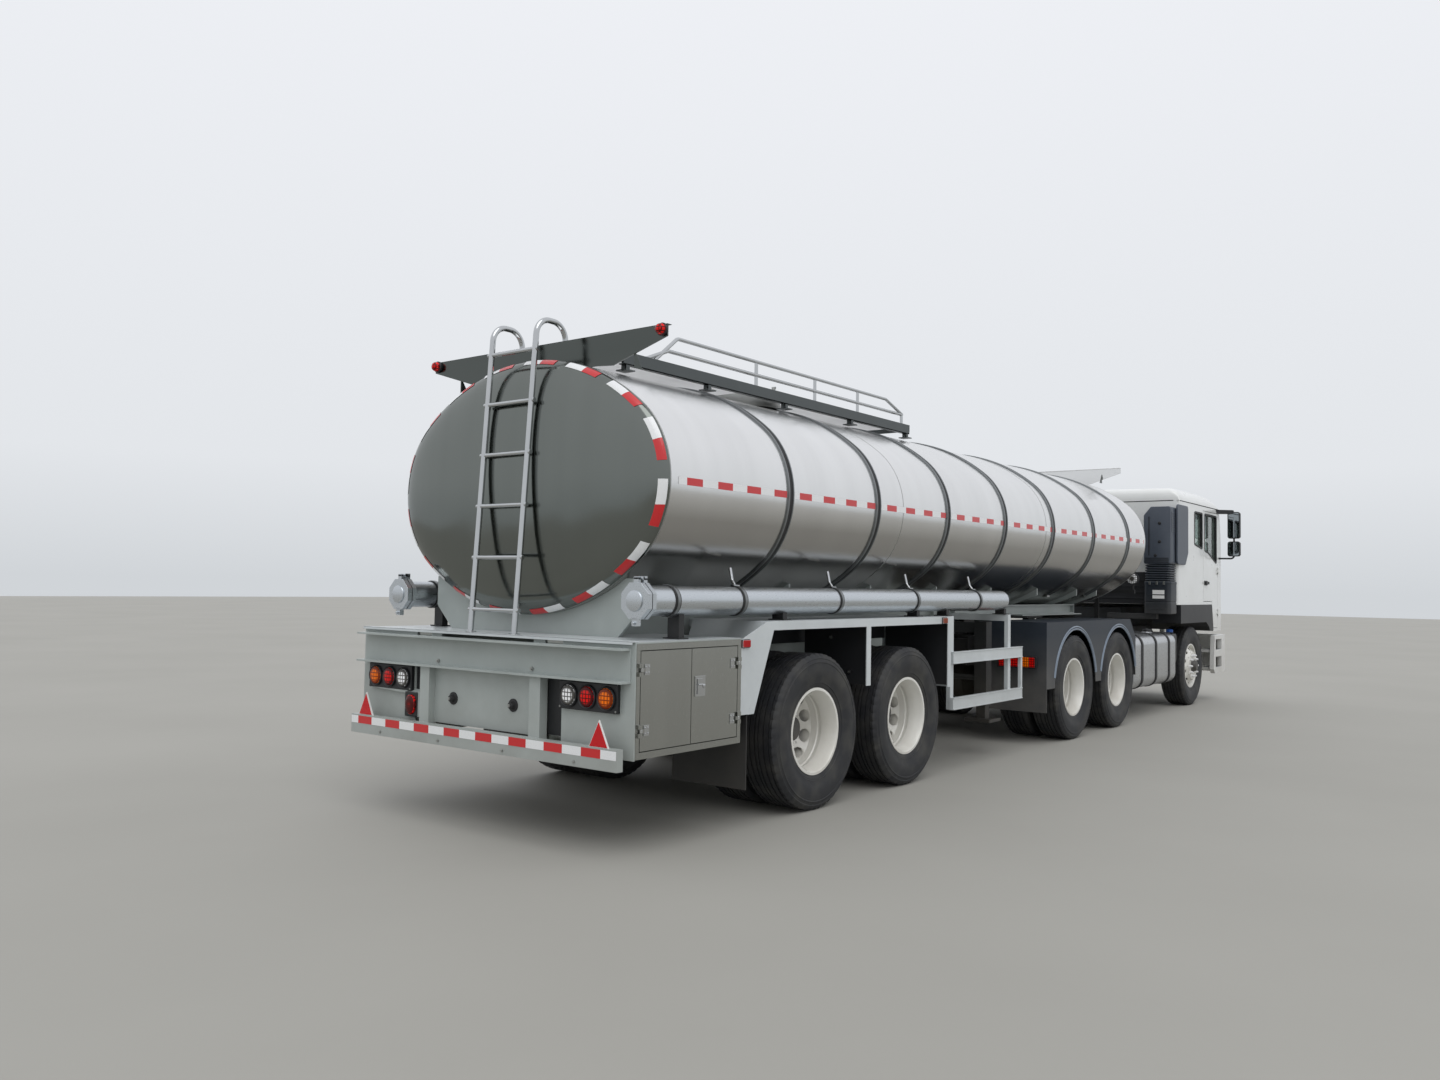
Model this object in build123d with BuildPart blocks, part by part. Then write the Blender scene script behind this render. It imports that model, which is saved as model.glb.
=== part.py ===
"""A six-wheeled tractor with a tilting cab and the two-axle stainless tank semi-trailer that it carries.

Millimetres. +X is forward, +Y is the driver's (left) side, +Z is up. The ground is z = 0, and the
origin is midway between the front of the bumper and the rear of the trailer's bumper bar.
"""

import os
from math import atan2, degrees, sqrt

from build123d import *

os.makedirs("parts", exist_ok=True)

# Fore-and-aft chain of sizes, from the nose to the tail
FRONT_OVERHANG = 1480
WHEELBASE = 3300
DRIVE_SPREAD = 1350
FIFTH_WHEEL_LEAD = 175
KINGPIN_TO_AXLE = 4450
TRAILER_SPREAD = 1310
TRAILER_OVERHANG = 2020

LENGTH = (
    FRONT_OVERHANG + WHEELBASE + DRIVE_SPREAD / 2 - FIFTH_WHEEL_LEAD
    + KINGPIN_TO_AXLE + TRAILER_SPREAD + TRAILER_OVERHANG
)
NOSE_X = LENGTH / 2
TAIL_X = -LENGTH / 2
FRONT_AXLE_X = NOSE_X - FRONT_OVERHANG
DRIVE_FRONT_X = FRONT_AXLE_X - WHEELBASE
DRIVE_REAR_X = DRIVE_FRONT_X - DRIVE_SPREAD
TANDEM_X = (DRIVE_FRONT_X + DRIVE_REAR_X) / 2
KINGPIN_X = TANDEM_X + FIFTH_WHEEL_LEAD
TRAILER_FRONT_X = KINGPIN_X - KINGPIN_TO_AXLE
TRAILER_REAR_X = TRAILER_FRONT_X - TRAILER_SPREAD

# Widths and clearances
BODY_HALF_WIDTH = 1250
SEAT_GAP = 0.3
PIN_GAP = 0.05
HINGE_PIN_GAP = 0.3
PANEL_GAP = 8

# Wheels
TYRE_R = 535
TYRE_WIDTH = 300
BEAD_HALF = 115
RIM_R = 286
RIM_LIP_R = 300
TWIN_SPACING = 350
DRIVE_TWIN_Y = 925
TRAILER_TWIN_Y = 910
FRONT_WHEEL_Y = 1030
KING_PIN_Y = 820
SPINDLE_R = 55
FRONT_SPINDLE_R = 45

# Coupling height and chassis rails
COUPLING_Z = 1250
RAIL_Y = 430
RAIL_FLANGE = 80
RAIL_TOP_Z = 1050
RAIL_BOTTOM_Z = 750
RAIL_REAR_X = DRIVE_REAR_X - 840
RAIL_SHEET = 10

# Tank
TANK_HALF_WIDTH = 1216
TANK_HALF_HEIGHT = 820
TANK_SIDE_R = 600
TANK_CENTRE_Z = 2138
TANK_REAR_X = TRAILER_REAR_X - 1600
TANK_LENGTH = 8930
TANK_HEAD_DEPTH = 150
TANK_WALL = 20
TANK_FRONT_X = TANK_REAR_X + TANK_LENGTH


def block(x, y, z, mode=Mode.ADD):
    """A box between two limits along each axis."""
    with Locations(((x[0] + x[1]) / 2, (y[0] + y[1]) / 2, (z[0] + z[1]) / 2)):
        Box(x[1] - x[0], y[1] - y[0], z[1] - z[0], mode=mode)


def side_plate(points, y, mode=Mode.ADD):
    """A plate between two values of y, with its (x, z) outline seen from the side."""
    with BuildSketch(Plane.XZ.offset(-y[1])) as outline:
        with BuildLine():
            Polyline(*points, close=True)
        make_face()
    extrude(outline.sketch, amount=y[1] - y[0], dir=(0, -1, 0), mode=mode)


def rounded_plate(points, y, radius, gap, mode=Mode.ADD):
    """A side plate with rounded corners, its outline drawn in by a gap."""
    with BuildSketch(Plane.XZ.offset(-y[1])) as outline:
        with BuildLine():
            Polyline(*points, close=True)
        make_face()
        if gap:
            offset(amount=-gap, kind=Kind.INTERSECTION, mode=Mode.REPLACE)
        fillet(outline.vertices(), radius - gap)
    extrude(outline.sketch, amount=y[1] - y[0], dir=(0, -1, 0), mode=mode)


def cross_plate(points, x, mode=Mode.ADD):
    """A plate between two values of x, with its (y, z) outline seen from behind."""
    with BuildSketch(Plane.YZ.offset(x[0])) as outline:
        with BuildLine():
            Polyline(*points, close=True)
        make_face()
    extrude(outline.sketch, amount=x[1] - x[0], dir=(1, 0, 0), mode=mode)


def floor_plate(points, z, mode=Mode.ADD):
    """A plate between two values of z, with its (x, y) outline seen from above."""
    with BuildSketch(Plane.XY.offset(z[0])) as outline:
        with BuildLine():
            Polyline(*points, close=True)
        make_face()
    extrude(outline.sketch, amount=z[1] - z[0], dir=(0, 0, 1), mode=mode)


def rod(start, end, radius, mode=Mode.ADD):
    """A round bar from one point to another."""
    path = Vector(*end) - Vector(*start)
    with BuildSketch(Plane(origin=start, z_dir=path)) as section:
        Circle(radius)
    extrude(section.sketch, amount=path.length, dir=path, mode=mode)


def tube_path(points, radii, radius):
    """A round tube along straight runs joined by arcs."""
    with BuildLine() as path:
        FilletPolyline(*points, radius=radii)
    run = Vector(*points[1]) - Vector(*points[0])
    with BuildSketch(Plane(origin=points[0], z_dir=run)) as section:
        Circle(radius)
    sweep(section.sketch, path=path.line)


def turned(points, centre, side, mode=Mode.ADD):
    """A body turned about an axle through centre, from (outboard distance, radius) points."""
    plane = Plane(origin=centre, x_dir=(0, side, 0), z_dir=(side, 0, 0))
    with BuildSketch(plane) as profile:
        with BuildLine():
            Polyline(*points, close=True)
        make_face()
    revolve(profile.sketch, axis=Axis(centre, (0, 1, 0)), mode=mode)


def tank_oval(half_width, half_height, side_radius, x, centre_z=TANK_CENTRE_Z):
    """The tank's four-arc section at x, as a sketch."""
    arm = half_width - side_radius
    crown_radius = (arm**2 + half_height**2 - side_radius**2) / (2 * (half_height - side_radius))
    drop = crown_radius - half_height
    half_crown = degrees(atan2(arm, drop))
    half_side = 90 - half_crown
    with BuildSketch(Plane.YZ.offset(x)) as section:
        with BuildLine():
            CenterArc((0, centre_z - drop), crown_radius, 90 - half_crown, 2 * half_crown)
            CenterArc((-arm, centre_z), side_radius, 180 - half_side, 2 * half_side)
            CenterArc((0, centre_z + drop), crown_radius, 270 - half_crown, 2 * half_crown)
            CenterArc((arm, centre_z), side_radius, -half_side, 2 * half_side)
        make_face()
    return section.sketch


def tank_body(inset, x, mode=Mode.ADD):
    """The tank's barrel between two values of x, inset from its outer skin."""
    section = tank_oval(TANK_HALF_WIDTH - inset, TANK_HALF_HEIGHT - inset, TANK_SIDE_R - inset, x[0])
    extrude(section, amount=x[1] - x[0], dir=(1, 0, 0), mode=mode)


def cut_to_tank():
    """Cuts away what lies inside the tank's skin, with the seating gap."""
    tank_body(-SEAT_GAP, (TANK_REAR_X - 1, TANK_FRONT_X + 1), Mode.SUBTRACT)


def save(piece, name):
    """Names a finished piece and writes it."""
    piece.part.label = name
    export_step(piece.part, f"parts/{name}.step")


# Road wheels: one tyre on a front wheel, two on every other one

TYRE_SECTION = (
    (-BEAD_HALF, RIM_R + SEAT_GAP), (-TYRE_WIDTH / 2, 410), (-122, TYRE_R),
    (122, TYRE_R), (TYRE_WIDTH / 2, 410), (BEAD_HALF, RIM_R + SEAT_GAP),
)
RIM_MOUTH_R = 276
DISC_FOOT_R = 266
STUD_RING_R = 190
HUB_R = 110
HUB_NOSE = 190
DRUM_R = 212
DRUM_DEPTH = 270
LIP = 7
HAND_HOLES = 10
HAND_HOLE_R = 20
HAND_HOLE_RING_R = 235
TWIN_HALF = TWIN_SPACING / 2

TWIN_RIM = (
    (HUB_NOSE, 0), (HUB_NOSE, 85), (14, HUB_R), (14, STUD_RING_R),
    (110, DISC_FOOT_R), (TWIN_HALF + BEAD_HALF + LIP, RIM_MOUTH_R),
    (TWIN_HALF + BEAD_HALF + LIP, RIM_LIP_R), (TWIN_HALF + BEAD_HALF, RIM_R),
    (55, RIM_R), (45, RIM_R - 14), (0, 205), (-45, RIM_R - 14), (-55, RIM_R),
    (-TWIN_HALF - BEAD_HALF, RIM_R), (-TWIN_HALF - BEAD_HALF - LIP, RIM_LIP_R),
    (-TWIN_HALF - BEAD_HALF - LIP, RIM_MOUTH_R), (-110, DISC_FOOT_R), (-30, DRUM_R),
    (-DRUM_DEPTH, DRUM_R), (-DRUM_DEPTH, SPINDLE_R + PIN_GAP), (60, SPINDLE_R + PIN_GAP), (60, 0),
)
FRONT_DRUM_INNER = 105
FRONT_RIM = (
    (205, 0), (205, 60), (150, 95), (150, STUD_RING_R), (72, DISC_FOOT_R - 4),
    (BEAD_HALF + LIP, RIM_MOUTH_R), (BEAD_HALF + LIP, RIM_LIP_R), (BEAD_HALF, RIM_R),
    (-BEAD_HALF, RIM_R), (-BEAD_HALF - LIP, RIM_LIP_R), (-BEAD_HALF - LIP, RIM_MOUTH_R),
    (40, DISC_FOOT_R), (110, DRUM_R - 10), (-FRONT_DRUM_INNER, DRUM_R - 10),
    (-FRONT_DRUM_INNER, FRONT_SPINDLE_R + PIN_GAP), (90, FRONT_SPINDLE_R + PIN_GAP), (90, 0),
)

# name of the wheel station, axle's x, twin's y
TWIN_STATIONS = (
    ("drive_front", DRIVE_FRONT_X, DRIVE_TWIN_Y),
    ("drive_rear", DRIVE_REAR_X, DRIVE_TWIN_Y),
    ("trailer_front", TRAILER_FRONT_X, TRAILER_TWIN_Y),
    ("trailer_rear", TRAILER_REAR_X, TRAILER_TWIN_Y),
)
SIDES = (("left", 1), ("right", -1))


def hand_holes(centre, side, inner, outer):
    """The ring of round holes through a wheel's disc, between two outboard distances."""
    x, y, z = centre
    with BuildSketch(Plane(origin=(x, y + side * inner, z), x_dir=(1, 0, 0), z_dir=(0, side, 0))) as ring:
        with PolarLocations(HAND_HOLE_RING_R, HAND_HOLES):
            Circle(HAND_HOLE_R)
    extrude(ring.sketch, amount=outer - inner, mode=Mode.SUBTRACT)


for station, axle_x, twin_y in TWIN_STATIONS:
    for side_name, side in SIDES:
        with BuildPart() as tyres:
            for shift in (-TWIN_HALF, TWIN_HALF):
                turned(TYRE_SECTION, (axle_x, side * (twin_y + shift), TYRE_R), side)
        save(tyres, f"tyres_{station}_{side_name}")
        with BuildPart() as rims:
            turned(TWIN_RIM, (axle_x, side * twin_y, TYRE_R), side)
            hand_holes((axle_x, side * twin_y, TYRE_R), side, -DRUM_DEPTH, TWIN_HALF)
        save(rims, f"rims_{station}_{side_name}")

for side_name, side in SIDES:
    with BuildPart() as tyre:
        turned(TYRE_SECTION, (FRONT_AXLE_X, side * FRONT_WHEEL_Y, TYRE_R), side)
    save(tyre, f"tyre_front_{side_name}")
    with BuildPart() as rim:
        turned(FRONT_RIM, (FRONT_AXLE_X, side * FRONT_WHEEL_Y, TYRE_R), side)
        hand_holes((FRONT_AXLE_X, side * FRONT_WHEEL_Y, TYRE_R), side, -BEAD_HALF, TWIN_HALF)
    save(rim, f"rim_front_{side_name}")

# Steering knuckles: a yoke over the beam's eye, the king pin, a back plate and the spindle

EYE_R = 55
EYE_Z = (470, 600)
KING_PIN_R = 25
YOKE_THICKNESS = 38
BACK_PLATE_Y = 882

for side_name, side in SIDES:
    with BuildPart() as knuckle:
        pin_y = side * KING_PIN_Y
        rod((FRONT_AXLE_X, pin_y, EYE_Z[0] - YOKE_THICKNESS), (FRONT_AXLE_X, pin_y, EYE_Z[1] + YOKE_THICKNESS),
            KING_PIN_R)
        for low in (EYE_Z[0] - YOKE_THICKNESS - 2, EYE_Z[1] + 2):
            rod((FRONT_AXLE_X, pin_y, low), (FRONT_AXLE_X, pin_y, low + YOKE_THICKNESS), EYE_R)
            block((FRONT_AXLE_X - EYE_R, FRONT_AXLE_X + EYE_R), sorted((pin_y, side * (BACK_PLATE_Y + 10))),
                  (low, low + YOKE_THICKNESS))
        rod((FRONT_AXLE_X, side * BACK_PLATE_Y, TYRE_R), (FRONT_AXLE_X, side * (BACK_PLATE_Y + 30), TYRE_R), 190)
        rod((FRONT_AXLE_X, side * (BACK_PLATE_Y + 10), TYRE_R),
            (FRONT_AXLE_X, side * (FRONT_WHEEL_Y + 85), TYRE_R), FRONT_SPINDLE_R)
    save(knuckle, f"knuckle_{side_name}")

# Tractor frame: two channel rails, cross members, the hose stand, hinge pins of the cab, lamp bar

RAIL_FRONT_X = NOSE_X - 60
CAB_PIVOT_X = NOSE_X - 150
CAB_PIVOT_Z = 620
CAB_PIN_R = 20
CAB_ARM_Y = (452, 512)
LAMP_BAR_X = (RAIL_REAR_X - 30 - SEAT_GAP, RAIL_REAR_X - SEAT_GAP)
LAMP_Y = (760, 1160)
LAMP_Z = (765, 875)
LAMP_BAR_Z = (800, 840)
STAND_X = DRIVE_FRONT_X + 1750
STAND_POST = 50
STAND_TOP_Z = 1560
STAND_LAMP_Y = -860
STAND_LAMP_Z = 1700
STAND_LAMP_R = 70
RAIL_DROP = 120
MEMBER_HALF = 40
MEMBER_Y = RAIL_Y - RAIL_SHEET - SEAT_GAP
MEMBER_XS = (RAIL_REAR_X + 70, TANDEM_X - 300, TANDEM_X + 300, DRIVE_FRONT_X + 850, DRIVE_FRONT_X + 1950)
RAIL_OUTLINE = (
    (RAIL_REAR_X, RAIL_BOTTOM_Z), (RAIL_FRONT_X, RAIL_BOTTOM_Z), (RAIL_FRONT_X, RAIL_TOP_Z - RAIL_DROP),
    (FRONT_AXLE_X + 800, RAIL_TOP_Z - RAIL_DROP), (FRONT_AXLE_X + 600, RAIL_TOP_Z), (RAIL_REAR_X, RAIL_TOP_Z),
)
RAIL_POCKET = (
    (RAIL_REAR_X - 1, RAIL_BOTTOM_Z + RAIL_SHEET), (RAIL_FRONT_X + 1, RAIL_BOTTOM_Z + RAIL_SHEET),
    (RAIL_FRONT_X + 1, RAIL_TOP_Z - RAIL_DROP - RAIL_SHEET), (FRONT_AXLE_X + 795, RAIL_TOP_Z - RAIL_DROP - RAIL_SHEET),
    (FRONT_AXLE_X + 595, RAIL_TOP_Z - RAIL_SHEET), (RAIL_REAR_X - 1, RAIL_TOP_Z - RAIL_SHEET),
)

with BuildPart() as tractor_frame:
    for side in (1, -1):
        side_plate(RAIL_OUTLINE, sorted((side * (RAIL_Y - RAIL_FLANGE), side * RAIL_Y)))
        side_plate(RAIL_POCKET, sorted((side * (RAIL_Y - RAIL_FLANGE - 1), side * (RAIL_Y - RAIL_SHEET))), Mode.SUBTRACT)
        block((CAB_PIVOT_X - 50, CAB_PIVOT_X + 50), sorted((side * (RAIL_Y - 1), side * (RAIL_Y + 14))),
              (CAB_PIVOT_Z - 60, RAIL_TOP_Z - RAIL_DROP))
        rod((CAB_PIVOT_X, side * (RAIL_Y + 10), CAB_PIVOT_Z), (CAB_PIVOT_X, side * (CAB_ARM_Y[1] + 14), CAB_PIVOT_Z),
            CAB_PIN_R)
        block(LAMP_BAR_X, sorted((side * LAMP_Y[0], side * LAMP_Y[1])), LAMP_Z)
        block((STAND_X - STAND_POST / 2, STAND_X + STAND_POST / 2),
              sorted((side * (RAIL_Y - STAND_POST - 10), side * (RAIL_Y - 10))), (RAIL_TOP_Z + SEAT_GAP, STAND_TOP_Z))
    for x in MEMBER_XS:
        block((x - MEMBER_HALF, x + MEMBER_HALF), (-MEMBER_Y, MEMBER_Y), (RAIL_BOTTOM_Z + 70, RAIL_TOP_Z - 30))
    block((RAIL_FRONT_X - 60, RAIL_FRONT_X), (-MEMBER_Y, MEMBER_Y),
          (RAIL_BOTTOM_Z + 20, RAIL_TOP_Z - RAIL_DROP - RAIL_SHEET - SEAT_GAP))
    block(LAMP_BAR_X, (-LAMP_Y[0] - 5, LAMP_Y[0] + 5), LAMP_BAR_Z)
    block((STAND_X - STAND_POST / 2, STAND_X + STAND_POST / 2), (STAND_LAMP_Y - 20, RAIL_Y - 10),
          (STAND_TOP_Z - STAND_POST, STAND_TOP_Z))
    rod((STAND_X, STAND_LAMP_Y, STAND_TOP_Z - 1), (STAND_X, STAND_LAMP_Y, STAND_LAMP_Z - STAND_LAMP_R + 20), 12)
    rod((STAND_X - 45, STAND_LAMP_Y, STAND_LAMP_Z), (STAND_X + 30, STAND_LAMP_Y, STAND_LAMP_Z), STAND_LAMP_R)
save(tractor_frame, "tractor_frame")

# Fifth wheel: a horseshoe plate with the jaw's bore and throat, on two feet

KINGPIN_R = 25.4
PLATE_THICKNESS = 36
FIFTH_FRONT_X = KINGPIN_X + 400
FIFTH_REAR_X = KINGPIN_X - 480
FIFTH_HALF_WIDTH = 450

with BuildPart() as fifth_wheel:
    floor_plate(
        ((FIFTH_FRONT_X, -300), (FIFTH_FRONT_X, 300), (FIFTH_FRONT_X - 160, FIFTH_HALF_WIDTH),
         (FIFTH_REAR_X + 260, FIFTH_HALF_WIDTH), (FIFTH_REAR_X, 250), (FIFTH_REAR_X, 170),
         (KINGPIN_X - 90, 40), (KINGPIN_X - 90, -40), (FIFTH_REAR_X, -170), (FIFTH_REAR_X, -250),
         (FIFTH_REAR_X + 260, -FIFTH_HALF_WIDTH), (FIFTH_FRONT_X - 160, -FIFTH_HALF_WIDTH)),
        (COUPLING_Z - PLATE_THICKNESS, COUPLING_Z))
    for side in (1, -1):
        side_plate(
            ((KINGPIN_X - 230, RAIL_TOP_Z), (KINGPIN_X + 230, RAIL_TOP_Z),
             (KINGPIN_X + 90, COUPLING_Z - PLATE_THICKNESS + 1), (KINGPIN_X - 90, COUPLING_Z - PLATE_THICKNESS + 1)),
            sorted((side * (RAIL_Y - RAIL_FLANGE), side * (RAIL_Y - 10))))
    rod((KINGPIN_X, 0, COUPLING_Z - PLATE_THICKNESS - 1), (KINGPIN_X, 0, COUPLING_Z + 1),
        KINGPIN_R + PIN_GAP, Mode.SUBTRACT)
save(fifth_wheel, "fifth_wheel")

# Tractor axles with their springs: front beam, two driven axles, the shaft that drives them

TUBE_R = 80
SPRING_Y = (440, 530)
FRONT_SPRING_Y = (375, 455)
GEARBOX_REAR_X = 3900
SHAFT_FRONT_Z = 680


def leaf_spring(x, y, eye_z, seat_z, depth, half_length):
    """A leaf pack, thick over the axle at x and thin at its eyes."""
    side_plate(
        ((x - half_length, eye_z), (x - half_length / 2, (eye_z + seat_z) / 2 - 15), (x - 70, seat_z), (x + 70, seat_z),
         (x + half_length / 2, (eye_z + seat_z) / 2 - 15), (x + half_length, eye_z),
         (x + half_length, eye_z + 20), (x + half_length / 2, (eye_z + seat_z) / 2 + depth / 2),
         (x + 70, seat_z + depth), (x - 70, seat_z + depth), (x - half_length / 2, (eye_z + seat_z) / 2 + depth / 2),
         (x - half_length, eye_z + 20)), y)


with BuildPart() as tractor_axles:
    block((FRONT_AXLE_X - 50, FRONT_AXLE_X + 50), (-640, 640), (430, 520))
    for side in (1, -1):
        cross_plate(
            ((side * 620, 430), (side * 750, EYE_Z[0]), (side * (KING_PIN_Y - 20), EYE_Z[0]),
             (side * (KING_PIN_Y - 20), EYE_Z[1]), (side * 750, EYE_Z[1]), (side * 620, 520)),
            (FRONT_AXLE_X - 45, FRONT_AXLE_X + 45))
        rod((FRONT_AXLE_X, side * KING_PIN_Y, EYE_Z[0]), (FRONT_AXLE_X, side * KING_PIN_Y, EYE_Z[1]), EYE_R)
        rod((FRONT_AXLE_X, side * KING_PIN_Y, EYE_Z[0] - 1), (FRONT_AXLE_X, side * KING_PIN_Y, EYE_Z[1] + 1),
            KING_PIN_R + PIN_GAP, Mode.SUBTRACT)
        front_y = sorted((side * FRONT_SPRING_Y[0], side * FRONT_SPRING_Y[1]))
        leaf_spring(FRONT_AXLE_X, front_y, 690, 519, 80, 700)
        for x in (FRONT_AXLE_X - 700, FRONT_AXLE_X + 700):
            block((x - 45, x + 45), sorted((side * 385, side * 429)), (680, RAIL_BOTTOM_Z))
        spring_y = sorted((side * SPRING_Y[0], side * SPRING_Y[1]))
        side_plate(
            ((DRIVE_REAR_X - 60, TYRE_R + TUBE_R - 5), (DRIVE_REAR_X + 60, TYRE_R + TUBE_R - 5), (TANDEM_X - 80, 640),
             (TANDEM_X + 80, 640), (DRIVE_FRONT_X - 60, TYRE_R + TUBE_R - 5), (DRIVE_FRONT_X + 60, TYRE_R + TUBE_R - 5),
             (DRIVE_FRONT_X + 60, 650), (TANDEM_X + 100, 770), (TANDEM_X - 100, 770), (DRIVE_REAR_X - 60, 650)),
            spring_y)
        side_plate(
            ((TANDEM_X - 60, 420), (TANDEM_X + 60, 420), (TANDEM_X + 140, 980), (TANDEM_X - 140, 980)),
            sorted((side * (RAIL_Y + 0.5), side * (RAIL_Y + 15))))
        for axle_x in (DRIVE_FRONT_X, DRIVE_REAR_X):
            spindle_start = side * (DRIVE_TWIN_Y - DRUM_DEPTH - 20)
            rod((axle_x, 0, TYRE_R), (axle_x, spindle_start, TYRE_R), TUBE_R)
            rod((axle_x, spindle_start - side, TYRE_R), (axle_x, side * (DRIVE_TWIN_Y + 55), TYRE_R), SPINDLE_R)
    rod((TANDEM_X, -RAIL_Y - 90, 480), (TANDEM_X, RAIL_Y + 90, 480), 50)
    for axle_x in (DRIVE_FRONT_X, DRIVE_REAR_X):
        turned(((-150, 0), (-150, 90), (-60, 210), (60, 210), (150, 90), (150, 0)), (axle_x, 0, TYRE_R), 1)
        rod((axle_x, 0, TYRE_R), (axle_x + 260, 0, TYRE_R + 10), 95)
    rod((DRIVE_REAR_X + 200, 0, TYRE_R + 8), (DRIVE_FRONT_X, 0, TYRE_R + 20), 45)
    rod((DRIVE_FRONT_X + 250, 0, TYRE_R + 12), (GEARBOX_REAR_X - 12, 0, SHAFT_FRONT_Z), 50)
    rod((GEARBOX_REAR_X - 20, 0, SHAFT_FRONT_Z), (GEARBOX_REAR_X - SEAT_GAP, 0, SHAFT_FRONT_Z), 75)
save(tractor_axles, "tractor_axles")

# Engine and gearbox: plain masses between the rails, under the cab floor

ENGINE_X = (4650, 5850)
ENGINE_HALF_WIDTH = 330
ENGINE_Z = (570, 1320)

with BuildPart() as engine_block:
    block(ENGINE_X, (-ENGINE_HALF_WIDTH, ENGINE_HALF_WIDTH), ENGINE_Z)
    block((GEARBOX_REAR_X, ENGINE_X[0] + 1), (-240, 240), (600, 1000))
save(engine_block, "engine_block")

# Fuel tank: polished aluminium, three straps, three brackets on the right rail

FUEL_X = (2390, 4090)
FUEL_Y = (-1220, -560)
FUEL_Z = (366, 1015)
FUEL_CORNER = 130
STRAP_PROUD = 8
STRAP_WIDTH = 60
STRAP_XS = (FUEL_X[0] + 300, (FUEL_X[0] + FUEL_X[1]) / 2, FUEL_X[1] - 300)
FUEL_CENTRE = ((FUEL_Y[0] + FUEL_Y[1]) / 2, (FUEL_Z[0] + FUEL_Z[1]) / 2)

with BuildPart() as fuel_tank:
    with BuildSketch(Plane.YZ.offset(FUEL_X[0])) as fuel_section:
        with Locations(FUEL_CENTRE):
            RectangleRounded(FUEL_Y[1] - FUEL_Y[0], FUEL_Z[1] - FUEL_Z[0], FUEL_CORNER)
    extrude(fuel_section.sketch, amount=FUEL_X[1] - FUEL_X[0], dir=(1, 0, 0))
    for x in STRAP_XS:
        with BuildSketch(Plane.YZ.offset(x - STRAP_WIDTH / 2)) as strap_section:
            with Locations(FUEL_CENTRE):
                RectangleRounded(FUEL_Y[1] - FUEL_Y[0] + 2 * STRAP_PROUD, FUEL_Z[1] - FUEL_Z[0] + 2 * STRAP_PROUD,
                                 FUEL_CORNER + STRAP_PROUD)
        extrude(strap_section.sketch, amount=STRAP_WIDTH, dir=(1, 0, 0))
        cross_plate(
            ((-RAIL_Y - SEAT_GAP, 1000), (-RAIL_Y - SEAT_GAP, 480), (FUEL_Y[1] - 5, 430), (FUEL_Y[1] - 5, 950)),
            (x - 25, x + 25))
    rod((FUEL_X[1] - 500, -1000, FUEL_Z[1] - 5), (FUEL_X[1] - 500, -1000, FUEL_Z[1] + 45), 55)
save(fuel_tank, "fuel_tank")

# Battery box, air reservoirs and silencer on the left rail

with BuildPart() as battery_box:
    block((2390, 3050), (500, 1180), (480, 980))
    block((2370, 3070), (480, 1200), (940, 1000))
    for z in (560, 840):
        rod((3110, 700, z), (4060, 700, z), 125)
    block((3120, 4050), (860, 1200), (420, 900))
    for x in (2720, 3300, 3900):
        block((x - 25, x + 25), (RAIL_Y + SEAT_GAP, 900), (470, 930))
save(battery_box, "battery_box")

# Air filter: a plastic housing behind the cab with the ribbed bellows on top

INTAKE_X = (3890, 4205)
INTAKE_Y = (-1210, -870)
BELLOWS_TOP_Z = 1895

with BuildPart() as air_filter:
    with BuildSketch(Plane.XY.offset(1250)) as filter_section:
        with Locations(((INTAKE_X[0] + INTAKE_X[1]) / 2, (INTAKE_Y[0] + INTAKE_Y[1]) / 2)):
            RectangleRounded(INTAKE_X[1] - INTAKE_X[0], INTAKE_Y[1] - INTAKE_Y[0], 50)
    extrude(filter_section.sketch, amount=570)
    for step in range(5):
        shrink = 12 if step % 2 else 0
        with BuildSketch(Plane.XY.offset(1819 + step * (BELLOWS_TOP_Z - 1819) / 5)) as rib_section:
            with Locations(((INTAKE_X[0] + INTAKE_X[1]) / 2, (INTAKE_Y[0] + INTAKE_Y[1]) / 2)):
                RectangleRounded(INTAKE_X[1] - INTAKE_X[0] - 20 - shrink, INTAKE_Y[1] - INTAKE_Y[0] - 20 - shrink, 45)
        extrude(rib_section.sketch, amount=(BELLOWS_TOP_Z - 1819) / 5)
    block((4000, 4100), (-1000, -RAIL_Y + 70), (1180, 1251))
    block((4000, 4100), (-RAIL_Y, -RAIL_Y + 70), (RAIL_TOP_Z, 1190))
save(air_filter, "air_filter")

# Drive mudguards: one black guard over each side's two wheels, with the flap behind

GUARD_TOP_Z = 1215
GUARD_Y = (640, 1245)
GUARD_SKIN = 8
ARCH_R = 592
FLAP_X = DRIVE_REAR_X - 810
GUARD_FRONT_X = DRIVE_FRONT_X + ARCH_R + 10

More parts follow.
